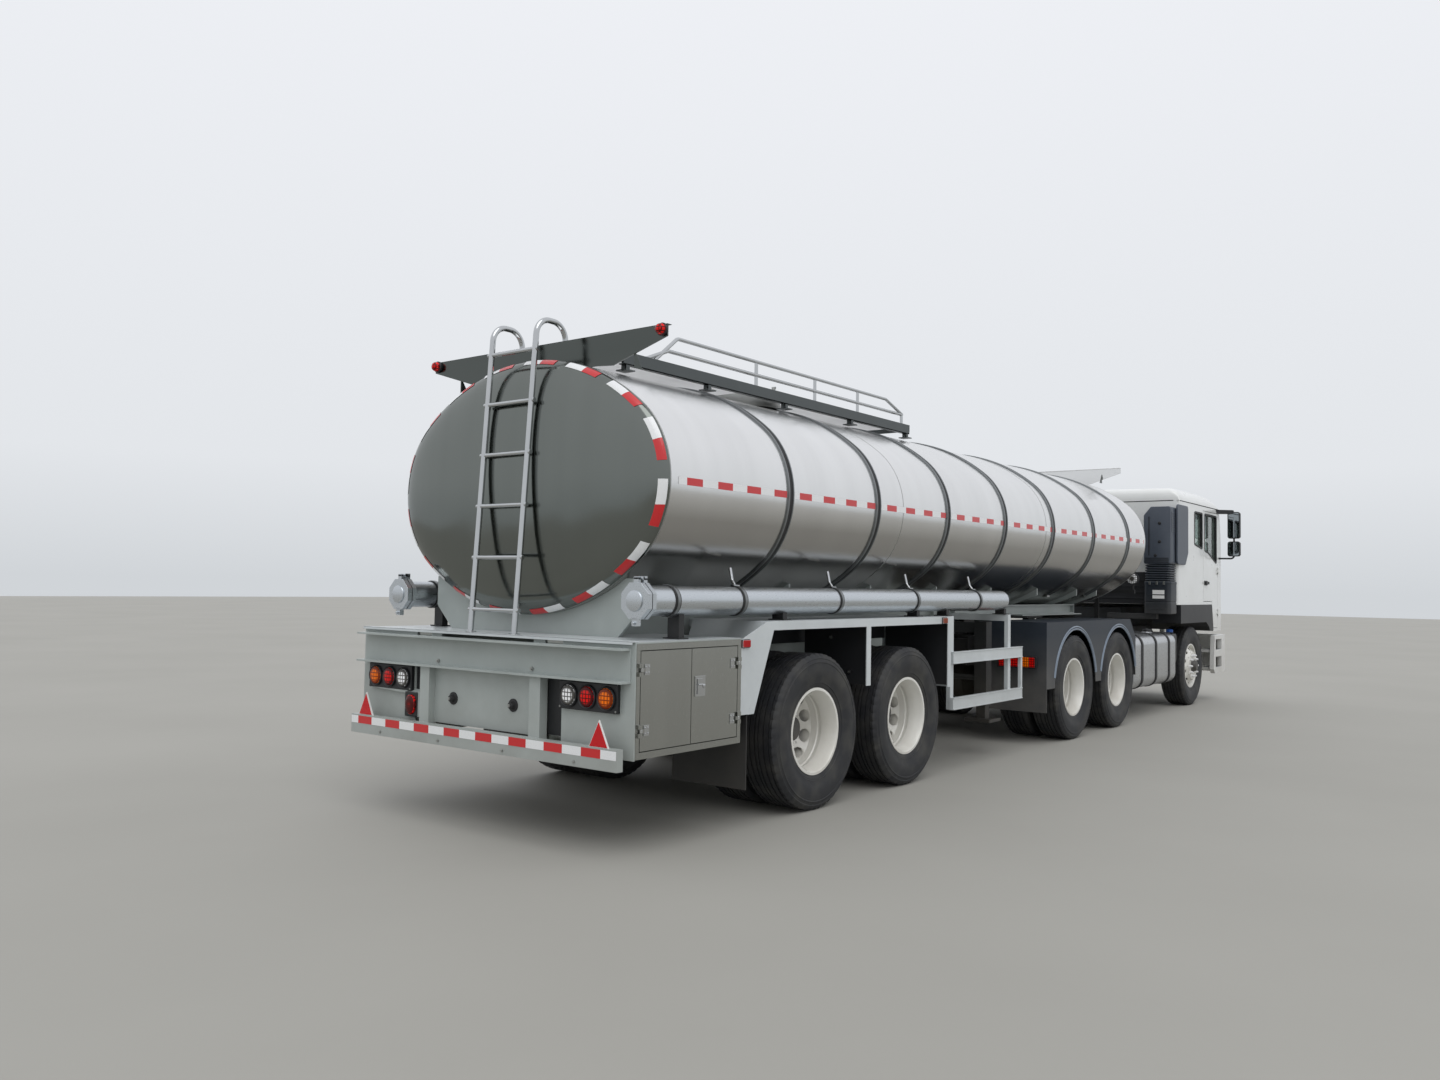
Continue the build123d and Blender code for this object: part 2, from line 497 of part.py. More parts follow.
with BuildPart() as drive_mudguards:
    for side in (1, -1):
        skirt_y = sorted((side * (GUARD_Y[1] - GUARD_SKIN), side * GUARD_Y[1]))
        whole_y = sorted((side * GUARD_Y[0], side * GUARD_Y[1]))
        side_plate(((FLAP_X, 560), (GUARD_FRONT_X, 560), (GUARD_FRONT_X, 1000), (GUARD_FRONT_X - 200, GUARD_TOP_Z),
                    (FLAP_X, GUARD_TOP_Z)), whole_y)
        side_plate(((FLAP_X + GUARD_SKIN, 559), (GUARD_FRONT_X - GUARD_SKIN, 559), (GUARD_FRONT_X - GUARD_SKIN, 990),
                    (GUARD_FRONT_X - 205, GUARD_TOP_Z - GUARD_SKIN), (FLAP_X + GUARD_SKIN, GUARD_TOP_Z - GUARD_SKIN)),
                   sorted((side * (GUARD_Y[0] - 1), side * (GUARD_Y[1] - GUARD_SKIN))), Mode.SUBTRACT)
        for axle_x in (DRIVE_FRONT_X, DRIVE_REAR_X):
            rod((axle_x, skirt_y[0] - 1, TYRE_R), (axle_x, skirt_y[1] + 1, TYRE_R), ARCH_R, Mode.SUBTRACT)
        block((FLAP_X, FLAP_X + GUARD_SKIN), whole_y, (330, 570))
        for x in (FLAP_X + 200, TANDEM_X, GUARD_FRONT_X - 230):
            rod((x, side * (RAIL_Y - 5), 1140), (x, side * (GUARD_Y[1] - 2), 1180), 18)
            block((x - 20, x + 20), sorted((side * (RAIL_Y - 9), side * (RAIL_Y + 12))), (RAIL_TOP_Z, 1150))
save(drive_mudguards, "drive_mudguards")

# Front bumper with its headlamps, its steps and the fixed lower part of each wheel arch

ARCH_FRONT_X = FRONT_AXLE_X + 840
BUMPER_Z = (385, 930)
BUMPER_SKIN = 60
STEP_REAR_X = ARCH_FRONT_X + 10
HEADLAMP_Y = (820, 1130)
HEADLAMP_Z = (650, 800)
HEADLAMP_DEPTH = 30
HEADLAMP_R = 62

with BuildPart() as front_bumper:
    block((NOSE_X - BUMPER_SKIN, NOSE_X), (-BODY_HALF_WIDTH + 5, BODY_HALF_WIDTH - 5), BUMPER_Z)
    for side in (1, -1):
        side_plate(
            ((STEP_REAR_X, BUMPER_Z[0] + 60), (STEP_REAR_X + 70, BUMPER_Z[0]), (NOSE_X - 5, BUMPER_Z[0]),
             (NOSE_X - 5, BUMPER_Z[1]), (STEP_REAR_X + 60, BUMPER_Z[1])),
            sorted((side * (BODY_HALF_WIDTH - 5 - BUMPER_SKIN), side * (BODY_HALF_WIDTH - 5))))
        for low in (430, 680):
            block((STEP_REAR_X + 60, NOSE_X - 10), sorted((side * 960, side * (BODY_HALF_WIDTH - 10))), (low, low + 40))
            block((STEP_REAR_X + 110, NOSE_X - 190),
                  sorted((side * (BODY_HALF_WIDTH - 90), side * BODY_HALF_WIDTH)), (low + 40, low + 190), Mode.SUBTRACT)
        block((NOSE_X - 300, NOSE_X - 180), sorted((side * (RAIL_Y + 100), side * 965)), (430, 470))
        block((NOSE_X - 300, NOSE_X - BUMPER_SKIN + 5), sorted((side * 940, side * 965)), (430, 720))
        block((NOSE_X - HEADLAMP_DEPTH, NOSE_X + 1), sorted((side * HEADLAMP_Y[0], side * HEADLAMP_Y[1])), HEADLAMP_Z,
              Mode.SUBTRACT)
        for share in (0.25, 0.75):
            lamp_y = side * (HEADLAMP_Y[0] + share * (HEADLAMP_Y[1] - HEADLAMP_Y[0]))
            lamp_z = (HEADLAMP_Z[0] + HEADLAMP_Z[1]) / 2
            rod((NOSE_X - HEADLAMP_DEPTH - 1, lamp_y, lamp_z), (NOSE_X - 8, lamp_y, lamp_z), HEADLAMP_R)
save(front_bumper, "front_bumper")

# Cab: a hollow shell with door openings, windscreen opening and grille, on two hinge arms

CAB_REAR_X = 4240
CAB_FRONT_X = NOSE_X - 30
CAB_HALF_WIDTH = 1220
CAB_WALL = 60
CAB_FLOOR_Z = 1370
CAB_FOOT_Z = 990
CAB_SCREEN_Z = 1950
CAB_TOP_Z = 2750
CAB_BROW_X = CAB_FRONT_X - 200
CAB_CORNER_R = 110
DOOR_X = (5440, 6210)
DOOR_TOP_Z = 2690
DOOR_SILL_Z = 1030
DOOR_ARCH_Z = 1410
HINGE_Y = CAB_HALF_WIDTH + 15
HINGE_R = 13
HINGE_KNUCKLE = 34
DOOR_HINGE_X = DOOR_X[1] - PANEL_GAP / 2
DOOR_HINGE_Z = (1250, 1850)
SCREEN_SLOPE = sqrt((CAB_FRONT_X - CAB_BROW_X)**2 + (CAB_TOP_Z - CAB_SCREEN_Z)**2)
SCREEN_NORMAL = ((CAB_TOP_Z - CAB_SCREEN_Z) / SCREEN_SLOPE, 0, (CAB_FRONT_X - CAB_BROW_X) / SCREEN_SLOPE)
SCREEN_SIZE = (2060, 620)
SCREEN_CENTRE = 400
SCREEN_CORNER = 80
QUARTER_WINDOW = ((4990, 2200), (5385, 2150), (5385, 2640), (4990, 2640))
QUARTER_CORNER = 30
GRILLE_SLOTS = 7
GRILLE_LOW_Z = 1150
GRILLE_PITCH = 74
GRILLE_SLOT = 50
GRILLE_HALF_WIDTH = 700
GRILLE_DEPTH = 35

CAB_SIDE = (
    (CAB_REAR_X, CAB_FLOOR_Z), (ARCH_FRONT_X - 20, CAB_FLOOR_Z), (ARCH_FRONT_X + 70, CAB_FOOT_Z),
    (CAB_FRONT_X, CAB_FOOT_Z), (CAB_FRONT_X, CAB_SCREEN_Z), (CAB_BROW_X, CAB_TOP_Z), (CAB_REAR_X, CAB_TOP_Z),
)
CAB_INSIDE = (
    (CAB_REAR_X + CAB_WALL, CAB_FLOOR_Z + CAB_WALL), (ARCH_FRONT_X + 25, CAB_FLOOR_Z + CAB_WALL),
    (ARCH_FRONT_X + 115, CAB_FOOT_Z + CAB_WALL), (CAB_FRONT_X - CAB_WALL, CAB_FOOT_Z + CAB_WALL),
    (CAB_FRONT_X - CAB_WALL, CAB_SCREEN_Z - 15), (CAB_BROW_X - CAB_WALL, CAB_TOP_Z + 1),
    (CAB_REAR_X + CAB_WALL, CAB_TOP_Z + 1),
)


def door_outline(gap):
    """The door opening's outline drawn in by a gap."""
    return (
        (DOOR_X[0] + gap, DOOR_ARCH_Z + gap), (ARCH_FRONT_X + 2 + gap, DOOR_ARCH_Z + gap),
        (ARCH_FRONT_X + 95 + gap, DOOR_SILL_Z + gap), (DOOR_X[1] - gap, DOOR_SILL_Z + gap),
        (DOOR_X[1] - gap, DOOR_TOP_Z - gap), (DOOR_X[0] + gap, DOOR_TOP_Z - gap),
    )


def hinge_part(x, y, z, side, lean, middle, radius=HINGE_R, knuckle=HINGE_KNUCKLE):
    """One side of an upright hinge: its middle barrel, or the two outer ones with the pin."""
    half = knuckle / 2
    pin_radius = radius / 2
    spans = ((-half + 1, half - 1),) if middle else ((-3 * half, -half), (half, 3 * half))
    for low, high in spans:
        rod((x, y, z + low), (x, y, z + high), radius)
        block(sorted((x, x + lean)), sorted((side * (abs(y) - radius - 3), side * (abs(y) + radius / 3))),
              (z + low, z + high))
    if middle:
        rod((x, y, z - half), (x, y, z + half), pin_radius + HINGE_PIN_GAP, Mode.SUBTRACT)
    else:
        rod((x, y, z - 3 * half), (x, y, z + 3 * half), pin_radius)


with BuildPart() as cab_shell:
    side_plate(CAB_SIDE, (-CAB_HALF_WIDTH, CAB_HALF_WIDTH))
    fillet(cab_shell.edges().filter_by(Axis.Z).group_by(Axis.X)[-1], CAB_CORNER_R)
    fillet(cab_shell.edges().filter_by(Axis.Z).group_by(Axis.X)[0], CAB_CORNER_R / 2)
    side_plate(CAB_INSIDE, (-CAB_HALF_WIDTH + CAB_WALL, CAB_HALF_WIDTH - CAB_WALL), Mode.SUBTRACT)
    with BuildSketch(Plane(origin=(CAB_FRONT_X, 0, CAB_SCREEN_Z), x_dir=(0, 1, 0), z_dir=SCREEN_NORMAL)) as screen_hole:
        with Locations((0, SCREEN_CENTRE)):
            RectangleRounded(*SCREEN_SIZE, SCREEN_CORNER)
    extrude(screen_hole.sketch, amount=120, both=True, mode=Mode.SUBTRACT)
    for slot in range(GRILLE_SLOTS):
        low = GRILLE_LOW_Z + slot * GRILLE_PITCH
        block((CAB_FRONT_X - GRILLE_DEPTH, CAB_FRONT_X + 1), (-GRILLE_HALF_WIDTH, GRILLE_HALF_WIDTH),
              (low, low + GRILLE_SLOT), Mode.SUBTRACT)
    for side in (1, -1):
        wall_y = sorted((side * (CAB_HALF_WIDTH - CAB_WALL - 1), side * (CAB_HALF_WIDTH + 1)))
        side_plate(door_outline(0), wall_y, Mode.SUBTRACT)
        rounded_plate(QUARTER_WINDOW, wall_y, QUARTER_CORNER, 0, Mode.SUBTRACT)
        for z in DOOR_HINGE_Z:
            hinge_part(DOOR_HINGE_X, side * HINGE_Y, z, side, 34, False)
        side_plate(
            ((CAB_PIVOT_X - 35, CAB_PIVOT_Z - 35), (CAB_PIVOT_X + 35, CAB_PIVOT_Z - 35),
             (CAB_PIVOT_X + 35, CAB_PIVOT_Z + 35), (CAB_PIVOT_X - 250, CAB_PIVOT_Z + 45),
             (CAB_PIVOT_X - 250, CAB_FOOT_Z + 5), (CAB_PIVOT_X - 330, CAB_FOOT_Z + 5),
             (CAB_PIVOT_X - 330, CAB_PIVOT_Z - 20)),
            sorted((side * CAB_ARM_Y[0], side * CAB_ARM_Y[1])))
        rod((CAB_PIVOT_X, side * (CAB_ARM_Y[0] - 1), CAB_PIVOT_Z), (CAB_PIVOT_X, side * (CAB_ARM_Y[1] + 1), CAB_PIVOT_Z),
            CAB_PIN_R + PIN_GAP, Mode.SUBTRACT)
save(cab_shell, "cab_shell")

# Roof cap: pressed steel with a rounded front, on the shell's top rim

ROOF_RISE = 200

with BuildPart() as cab_roof:
    roof_side = (
        (CAB_REAR_X, CAB_TOP_Z), (CAB_BROW_X, CAB_TOP_Z), (CAB_BROW_X - 90, CAB_TOP_Z + 110),
        (CAB_BROW_X - 300, CAB_TOP_Z + 175), (CAB_BROW_X - 750, CAB_TOP_Z + ROOF_RISE),
        (CAB_REAR_X + 60, CAB_TOP_Z + ROOF_RISE - 10), (CAB_REAR_X, CAB_TOP_Z + ROOF_RISE - 60),
    )
    side_plate(roof_side, (-CAB_HALF_WIDTH, CAB_HALF_WIDTH))
    chamfer(cab_roof.edges().filter_by(Axis.Y, reverse=True).filter_by_position(
        Axis.Z, CAB_TOP_Z + 115, CAB_TOP_Z + ROOF_RISE + 1), 70)
    side_plate(
        ((CAB_REAR_X + CAB_WALL, CAB_TOP_Z - 1), (CAB_BROW_X - CAB_WALL, CAB_TOP_Z - 1),
         (CAB_BROW_X - 200, CAB_TOP_Z + 70), (CAB_BROW_X - 350, CAB_TOP_Z + 110),
         (CAB_REAR_X + CAB_WALL, CAB_TOP_Z + 110)),
        (-CAB_HALF_WIDTH + CAB_WALL, CAB_HALF_WIDTH - CAB_WALL), Mode.SUBTRACT)
save(cab_roof, "cab_roof")

# Windscreen: one laminated pane in its opening, and the two fixed panes of the quarter windows

PANE_Y = (CAB_HALF_WIDTH - 35, CAB_HALF_WIDTH - 29)

with BuildPart() as windscreen:
    with BuildSketch(Plane(origin=(CAB_FRONT_X, 0, CAB_SCREEN_Z), x_dir=(0, 1, 0), z_dir=SCREEN_NORMAL).offset(-20)) as pane:
        with Locations((0, SCREEN_CENTRE)):
            RectangleRounded(SCREEN_SIZE[0] - 2 * SEAT_GAP, SCREEN_SIZE[1] - 2 * SEAT_GAP, SCREEN_CORNER - SEAT_GAP)
    extrude(pane.sketch, amount=-8)
    for side in (1, -1):
        rounded_plate(QUARTER_WINDOW, sorted((side * PANE_Y[0], side * PANE_Y[1])), QUARTER_CORNER, SEAT_GAP)
save(windscreen, "windscreen")

# Doors: thick panels with the window cut, and their glass

WINDOW = ((5510, 2130), (5700, 2105), (6150, 1960), (6150, 2640), (5510, 2640))
WINDOW_CORNER = 30
HANDLE_X = (DOOR_X[0] + 60, DOOR_X[0] + 210)
HANDLE_Z = (1655, 1690)
DOOR_BEVEL = 36

for side_name, side in SIDES:
    with BuildPart() as door:
        side_plate(door_outline(PANEL_GAP), sorted((side * (CAB_HALF_WIDTH - CAB_WALL), side * CAB_HALF_WIDTH)))
        inner_edges = door.edges().group_by(Axis.Y)[0 if side == 1 else -1]
        chamfer(inner_edges.filter_by(Axis.X, reverse=True), DOOR_BEVEL)
        rounded_plate(WINDOW, sorted((side * (CAB_HALF_WIDTH - CAB_WALL - 1), side * (CAB_HALF_WIDTH + 1))),
                      WINDOW_CORNER, 0, Mode.SUBTRACT)
        for z in DOOR_HINGE_Z:
            hinge_part(DOOR_HINGE_X, side * HINGE_Y, z, side, -34, True)
        block(HANDLE_X, sorted((side * (CAB_HALF_WIDTH - 5), side * (CAB_HALF_WIDTH + 28))), HANDLE_Z)
    save(door, f"door_{side_name}")
    with BuildPart() as door_glass:
        rounded_plate(WINDOW, sorted((side * PANE_Y[0], side * PANE_Y[1])), WINDOW_CORNER, SEAT_GAP)
    save(door_glass, f"door_glass_{side_name}")

# Mirrors: two heads a side on a tubular frame from the front pillar

MIRROR_X = 6350

with BuildPart() as mirrors:
    for side in (1, -1):
        for root_x, z in ((MIRROR_X - 40, 2040), (MIRROR_X - 180, 2735)):
            block((root_x - 35, root_x + 35), sorted((side * (CAB_HALF_WIDTH + SEAT_GAP), side * (CAB_HALF_WIDTH + 14))),
                  (z - 13, z + 13))
            rod((root_x, side * (CAB_HALF_WIDTH + 12), z), (MIRROR_X, side * 1415, z), 12)
        rod((MIRROR_X, side * 1415, 2030), (MIRROR_X, side * 1415, 2750), 13)
        block((MIRROR_X - 30, MIRROR_X + 80), sorted((side * 1330, side * 1500)), (2330, 2720))
        block((MIRROR_X - 30, MIRROR_X + 80), sorted((side * 1330, side * 1500)), (2070, 2290))
save(mirrors, "mirrors")

# Seats and the bunk behind them

with BuildPart() as seats:
    floor_z = CAB_FLOOR_Z + CAB_WALL
    for y in (600, -600):
        block((5330, 5660), (y - 180, y + 180), (floor_z, 1740))
        side_plate(
            ((5260, 1730), (5720, 1730), (5730, 1830), (5400, 1840), (5290, 2520), (5190, 2510), (5250, 1830)),
            (y - 260, y + 260))
    block((CAB_REAR_X + CAB_WALL, 4950), (-1130, 1130), (floor_z, 1900))
save(seats, "seats")

# Dashboard with the steering column and wheel

WHEEL_CENTRE = (5985, 600, 2010)
COLUMN_FOOT = (6260, 600, 1560)

with BuildPart() as dashboard:
    side_plate(
        ((6180, 1480), (6380, 1480), (6420, 1900), (6390, 1935), (6200, 1960), (6110, 1860), (6120, 1700)),
        (-1140, 1140))
    rod(COLUMN_FOOT, WHEEL_CENTRE, 32)
    column = Vector(*WHEEL_CENTRE) - Vector(*COLUMN_FOOT)
    with BuildSketch(Plane(origin=WHEEL_CENTRE, z_dir=column)) as spokes:
        Rectangle(440, 40)
        Circle(60)
    extrude(spokes.sketch, amount=-20)
    with BuildPart(Plane(origin=WHEEL_CENTRE, z_dir=column), mode=Mode.PRIVATE) as steering_rim:
        Torus(225, 16)
    add(steering_rim.part)
    block((6300, 6360), (-300, 300), (CAB_FOOT_Z + CAB_WALL, 1490))
save(dashboard, "dashboard")

# Snorkel: the plastic intake on the cab's rear wall, down to the bellows

SNORKEL_Z = (1900, 2650)

with BuildPart() as snorkel:
    cross_plate(
        ((INTAKE_Y[0], SNORKEL_Z[0]), (INTAKE_Y[0], SNORKEL_Z[1]), (INTAKE_Y[1] - 90, SNORKEL_Z[1]),
         (INTAKE_Y[1], SNORKEL_Z[1] - 110), (INTAKE_Y[1], SNORKEL_Z[0])), INTAKE_X)
    fillet(snorkel.edges().filter_by(Axis.X), 25)
    for z in (2000, 2500):
        block((INTAKE_X[1] - 1, CAB_REAR_X - SEAT_GAP), (-1120, -960), (z, z + 60))
save(snorkel, "snorkel")

# Wheel arches of the cab: black trim with a liner over each front wheel

ARCH_TRIM = (
    (4300, CAB_FLOOR_Z - SEAT_GAP), (4300, 1125), (5560, 1125), (5700, 1060), (5760, 1000),
    (5945, 1000), (ARCH_FRONT_X - 20.5, CAB_FLOOR_Z - SEAT_GAP),
)
ARCH_CORNER_R = 70

with BuildPart() as wheel_arches:
    for side in (1, -1):
        side_plate(ARCH_TRIM, sorted((side * 1195, side * 1230)))
    fillet(wheel_arches.edges().filter_by(Axis.Y).filter_by_position(Axis.X, 5500, 5800), ARCH_CORNER_R)
    for side in (1, -1):
        side_plate(
            ((4312, CAB_FLOOR_Z - SEAT_GAP), (4300, CAB_FLOOR_Z - SEAT_GAP), (4300, 1125), (5560, 1125), (5700, 1060),
             (5760, 1000), (5776, 1000), (5706, 1074), (5563, 1139), (4312, 1139)),
            sorted((side * 870, side * 1200)))
save(wheel_arches, "wheel_arches")

# Tank: a closed stainless shell with dished heads and the manhole neck on top

HEAD_STEPS = ((1.0, 0.0), (0.965, 0.33), (0.55, 0.87), (0.08, 1.0))
MANHOLE_X = TRAILER_FRONT_X - 560
NECK_R = 290
NECK_BORE_R = 250
NECK_TOP_Z = 3075
NECK_FLOOR_Z = TANK_CENTRE_Z + TANK_HALF_HEIGHT + 10
LID_HINGE_X = MANHOLE_X - NECK_R - 30
LID_HINGE_Z = NECK_TOP_Z + 15


def tank_head(inset, x, outward, mode=Mode.ADD):
    """One dished head: conical rings from the rim at x to the crown."""
    for (rim, rim_depth), (crown, crown_depth) in zip(HEAD_STEPS, HEAD_STEPS[1:]):
        rings = []
        for share, depth in ((rim, rim_depth), (crown, crown_depth)):
            rings.append(tank_oval(
                (TANK_HALF_WIDTH - inset) * share, (TANK_HALF_HEIGHT - inset) * share, (TANK_SIDE_R - inset) * share,
                x + outward * (TANK_HEAD_DEPTH - inset) * depth))
        loft(sections=rings, ruled=True, mode=mode)


with BuildPart() as tank:
    tank_body(0, (TANK_REAR_X, TANK_FRONT_X))
    tank_head(0, TANK_REAR_X, -1)
    tank_head(0, TANK_FRONT_X, 1)
    rod((MANHOLE_X, 0, NECK_FLOOR_Z - 60), (MANHOLE_X, 0, NECK_TOP_Z), NECK_R)
    rod((MANHOLE_X, 0, NECK_FLOOR_Z), (MANHOLE_X, 0, NECK_TOP_Z + 1), NECK_BORE_R, Mode.SUBTRACT)
    for y in (-50, 50):
        block((LID_HINGE_X - 12, MANHOLE_X - NECK_R + 12), (y - 9, y + 9), (NECK_TOP_Z - 22, NECK_TOP_Z - 1))
        block((LID_HINGE_X - 12, LID_HINGE_X + 12), (y - 9, y + 9), (NECK_TOP_Z - 2, LID_HINGE_Z))
        rod((LID_HINGE_X, y - 9, LID_HINGE_Z), (LID_HINGE_X, y + 9, LID_HINGE_Z), 12)
    rod((LID_HINGE_X, -50, LID_HINGE_Z), (LID_HINGE_X, 50, LID_HINGE_Z), 6)
    with BuildPart(mode=Mode.PRIVATE) as cavity:
        tank_body(TANK_WALL, (TANK_REAR_X, TANK_FRONT_X))
        tank_head(TANK_WALL, TANK_REAR_X, -1)
        tank_head(TANK_WALL, TANK_FRONT_X, 1)
    add(cavity.part, mode=Mode.SUBTRACT)
save(tank, "tank")

# Manhole lid: a dished cover on the neck, hinged at its rear edge

with BuildPart() as manhole_lid:
    with BuildSketch(Plane.XZ) as lid_profile:
        with BuildLine():
            Polyline((0, NECK_TOP_Z + SEAT_GAP), (NECK_R + 8, NECK_TOP_Z + SEAT_GAP), (NECK_R + 8, NECK_TOP_Z + 18),
                     (160, NECK_TOP_Z + 46), (0, NECK_TOP_Z + 46), close=True)
        make_face()
    revolve(lid_profile.sketch, axis=Axis.Z)
    manhole_lid.part = manhole_lid.part.moved(Location((MANHOLE_X, 0, 0)))
    block((LID_HINGE_X, MANHOLE_X - NECK_R + 10), (-38, 38), (LID_HINGE_Z - 9, LID_HINGE_Z + 9))
    rod((LID_HINGE_X, -38, LID_HINGE_Z), (LID_HINGE_X, 38, LID_HINGE_Z), 12)
    rod((LID_HINGE_X, -39, LID_HINGE_Z), (LID_HINGE_X, 39, LID_HINGE_Z), 6 + HINGE_PIN_GAP, Mode.SUBTRACT)
save(manhole_lid, "manhole_lid")

# Bands round the tank, with the brow plates at its two ends

BAND_COUNT = 7
BAND_PITCH = 1173
BAND_WIDTH = 60
BAND_PROUD = 11
BAND_END_Z = 1480
BAND_XS = [TRAILER_REAR_X - 360 + BAND_PITCH * step for step in range(BAND_COUNT)]

with BuildPart() as tank_bands:
    for x in BAND_XS:
        section = tank_oval(TANK_HALF_WIDTH + BAND_PROUD, TANK_HALF_HEIGHT + BAND_PROUD, TANK_SIDE_R + BAND_PROUD,
                            x - BAND_WIDTH / 2)
        extrude(section, amount=BAND_WIDTH, dir=(1, 0, 0))
    cross_plate(
        ((-1090, 3086), (-1090, 3010), (-650, 2880), (-500, 2780), (500, 2780), (650, 2880), (1090, 3010), (1090, 3086)),
        (TANK_REAR_X + 94, TANK_REAR_X + 106))
    cross_plate(
        ((-930, 3055), (-930, 2990), (-560, 2870), (-400, 2780), (400, 2780), (560, 2870), (930, 2990), (930, 3055)),
        (TANK_FRONT_X - 42, TANK_FRONT_X - 30))
    block((TANK_REAR_X, TANK_FRONT_X), (-1300, 1300), (1200, BAND_END_Z), Mode.SUBTRACT)
    cut_to_tank()
    rod((MANHOLE_X, 0, NECK_FLOOR_Z - 60), (MANHOLE_X, 0, NECK_TOP_Z), NECK_R + SEAT_GAP, Mode.SUBTRACT)
save(tank_bands, "tank_bands")

# Ladder up the rear head and the walkway it leads to, with its two low handrails

WALKWAY_X = (TANK_REAR_X + 410, MANHOLE_X + 1980)
WALKWAY_Y = 450
WALKWAY_Z = (3020, 3050)
BEAM_LOW_Z = 2966
BEAM_THICKNESS = 8
HANDRAIL_Y = 380
HANDRAIL_Z = 3270
LADDER_YS = (-190, 220)
LADDER_FOOT_X = TAIL_X + 170
LADDER_TOP_X = TAIL_X + 302
LADDER_TOP_Z = 3200
DECK_TOP_Z = 1203
RUNG_LOW_Z = 1350
RUNG_PITCH = 330

with BuildPart() as ladder_walkway:
    block(WALKWAY_X, (-WALKWAY_Y, WALKWAY_Y), WALKWAY_Z)
    for side in (1, -1):
        block(WALKWAY_X, sorted((side * (WALKWAY_Y - BEAM_THICKNESS), side * WALKWAY_Y)), (BEAM_LOW_Z, WALKWAY_Z[1]))
    rod((MANHOLE_X, 0, WALKWAY_Z[0] - 1), (MANHOLE_X, 0, WALKWAY_Z[1] + 1), NECK_R + 55, Mode.SUBTRACT)
    block((LID_HINGE_X - 50, MANHOLE_X), (-90, 90), (WALKWAY_Z[0] - 1, WALKWAY_Z[1] + 1), Mode.SUBTRACT)
    for side in (1, -1):
        for x in (WALKWAY_X[0] + 40, WALKWAY_X[0] + 910, WALKWAY_X[0] + 1890, WALKWAY_X[1] - 1030, WALKWAY_X[1] - 40):
            block((x - 20, x + 20), sorted((side * (WALKWAY_Y - 40), side * WALKWAY_Y)), (2800, WALKWAY_Z[0] + 1))
        rail_y = side * HANDRAIL_Y
        tube_path(
            ((WALKWAY_X[0] + 330, rail_y, WALKWAY_Z[1] - 5), (WALKWAY_X[0] + 760, rail_y, HANDRAIL_Z),
             (WALKWAY_X[1] - 30, rail_y, HANDRAIL_Z), (WALKWAY_X[1] - 30, rail_y, WALKWAY_Z[1] - 5)), 60, 16)
        for x in (WALKWAY_X[0] + 1570, WALKWAY_X[0] + 3080):
            rod((x, rail_y, WALKWAY_Z[1] - 5), (x, rail_y, HANDRAIL_Z), 13)
    for y in LADDER_YS:
        tube_path(
            ((LADDER_FOOT_X, y, DECK_TOP_Z + SEAT_GAP), (LADDER_TOP_X, y, LADDER_TOP_Z),
             (TANK_REAR_X + 130, y, LADDER_TOP_Z), (TANK_REAR_X + 130, y, 2850)), 110, 19)
    for step in range(6):
        z = RUNG_LOW_Z + RUNG_PITCH * step
        x = LADDER_FOOT_X + (LADDER_TOP_X - LADDER_FOOT_X) * (z - DECK_TOP_Z) / (LADDER_TOP_Z - DECK_TOP_Z)
        rod((x, LADDER_YS[0], z), (x, LADDER_YS[1], z), 14)
    cut_to_tank()
    block((LADDER_FOOT_X - 60, LADDER_FOOT_X + 60), (-300, 300), (DECK_TOP_Z - 60, DECK_TOP_Z + SEAT_GAP), Mode.SUBTRACT)
save(ladder_walkway, "ladder_walkway")

# Hose tubes along both sides under the tank, each with a hinged cap at its rear end

TUBE_Y = 1100
TUBE_Z = 1430
TUBE_X = (TAIL_X + 320, KINGPIN_X - 2445)
HOSE_TUBE_R = 90
TUBE_WALL = 5
CAP_HALF = 105
CAP_X = (TUBE_X[0] - 62, TUBE_X[0] - 27)
CAP_HINGE_X = CAP_X[1] + 1
CAP_HINGE_Z = TUBE_Z + CAP_HALF + 27
GUARD_TOP = 1300


def octagon(y, z, half):
    """Corner points of an octagon seen from behind, from its half width across the flats."""
    cut = half * 0.414
    return ((y - half, z - cut), (y - cut, z - half), (y + cut, z - half), (y + half, z - cut),
            (y + half, z + cut), (y + cut, z + half), (y - cut, z + half), (y - half, z + cut))


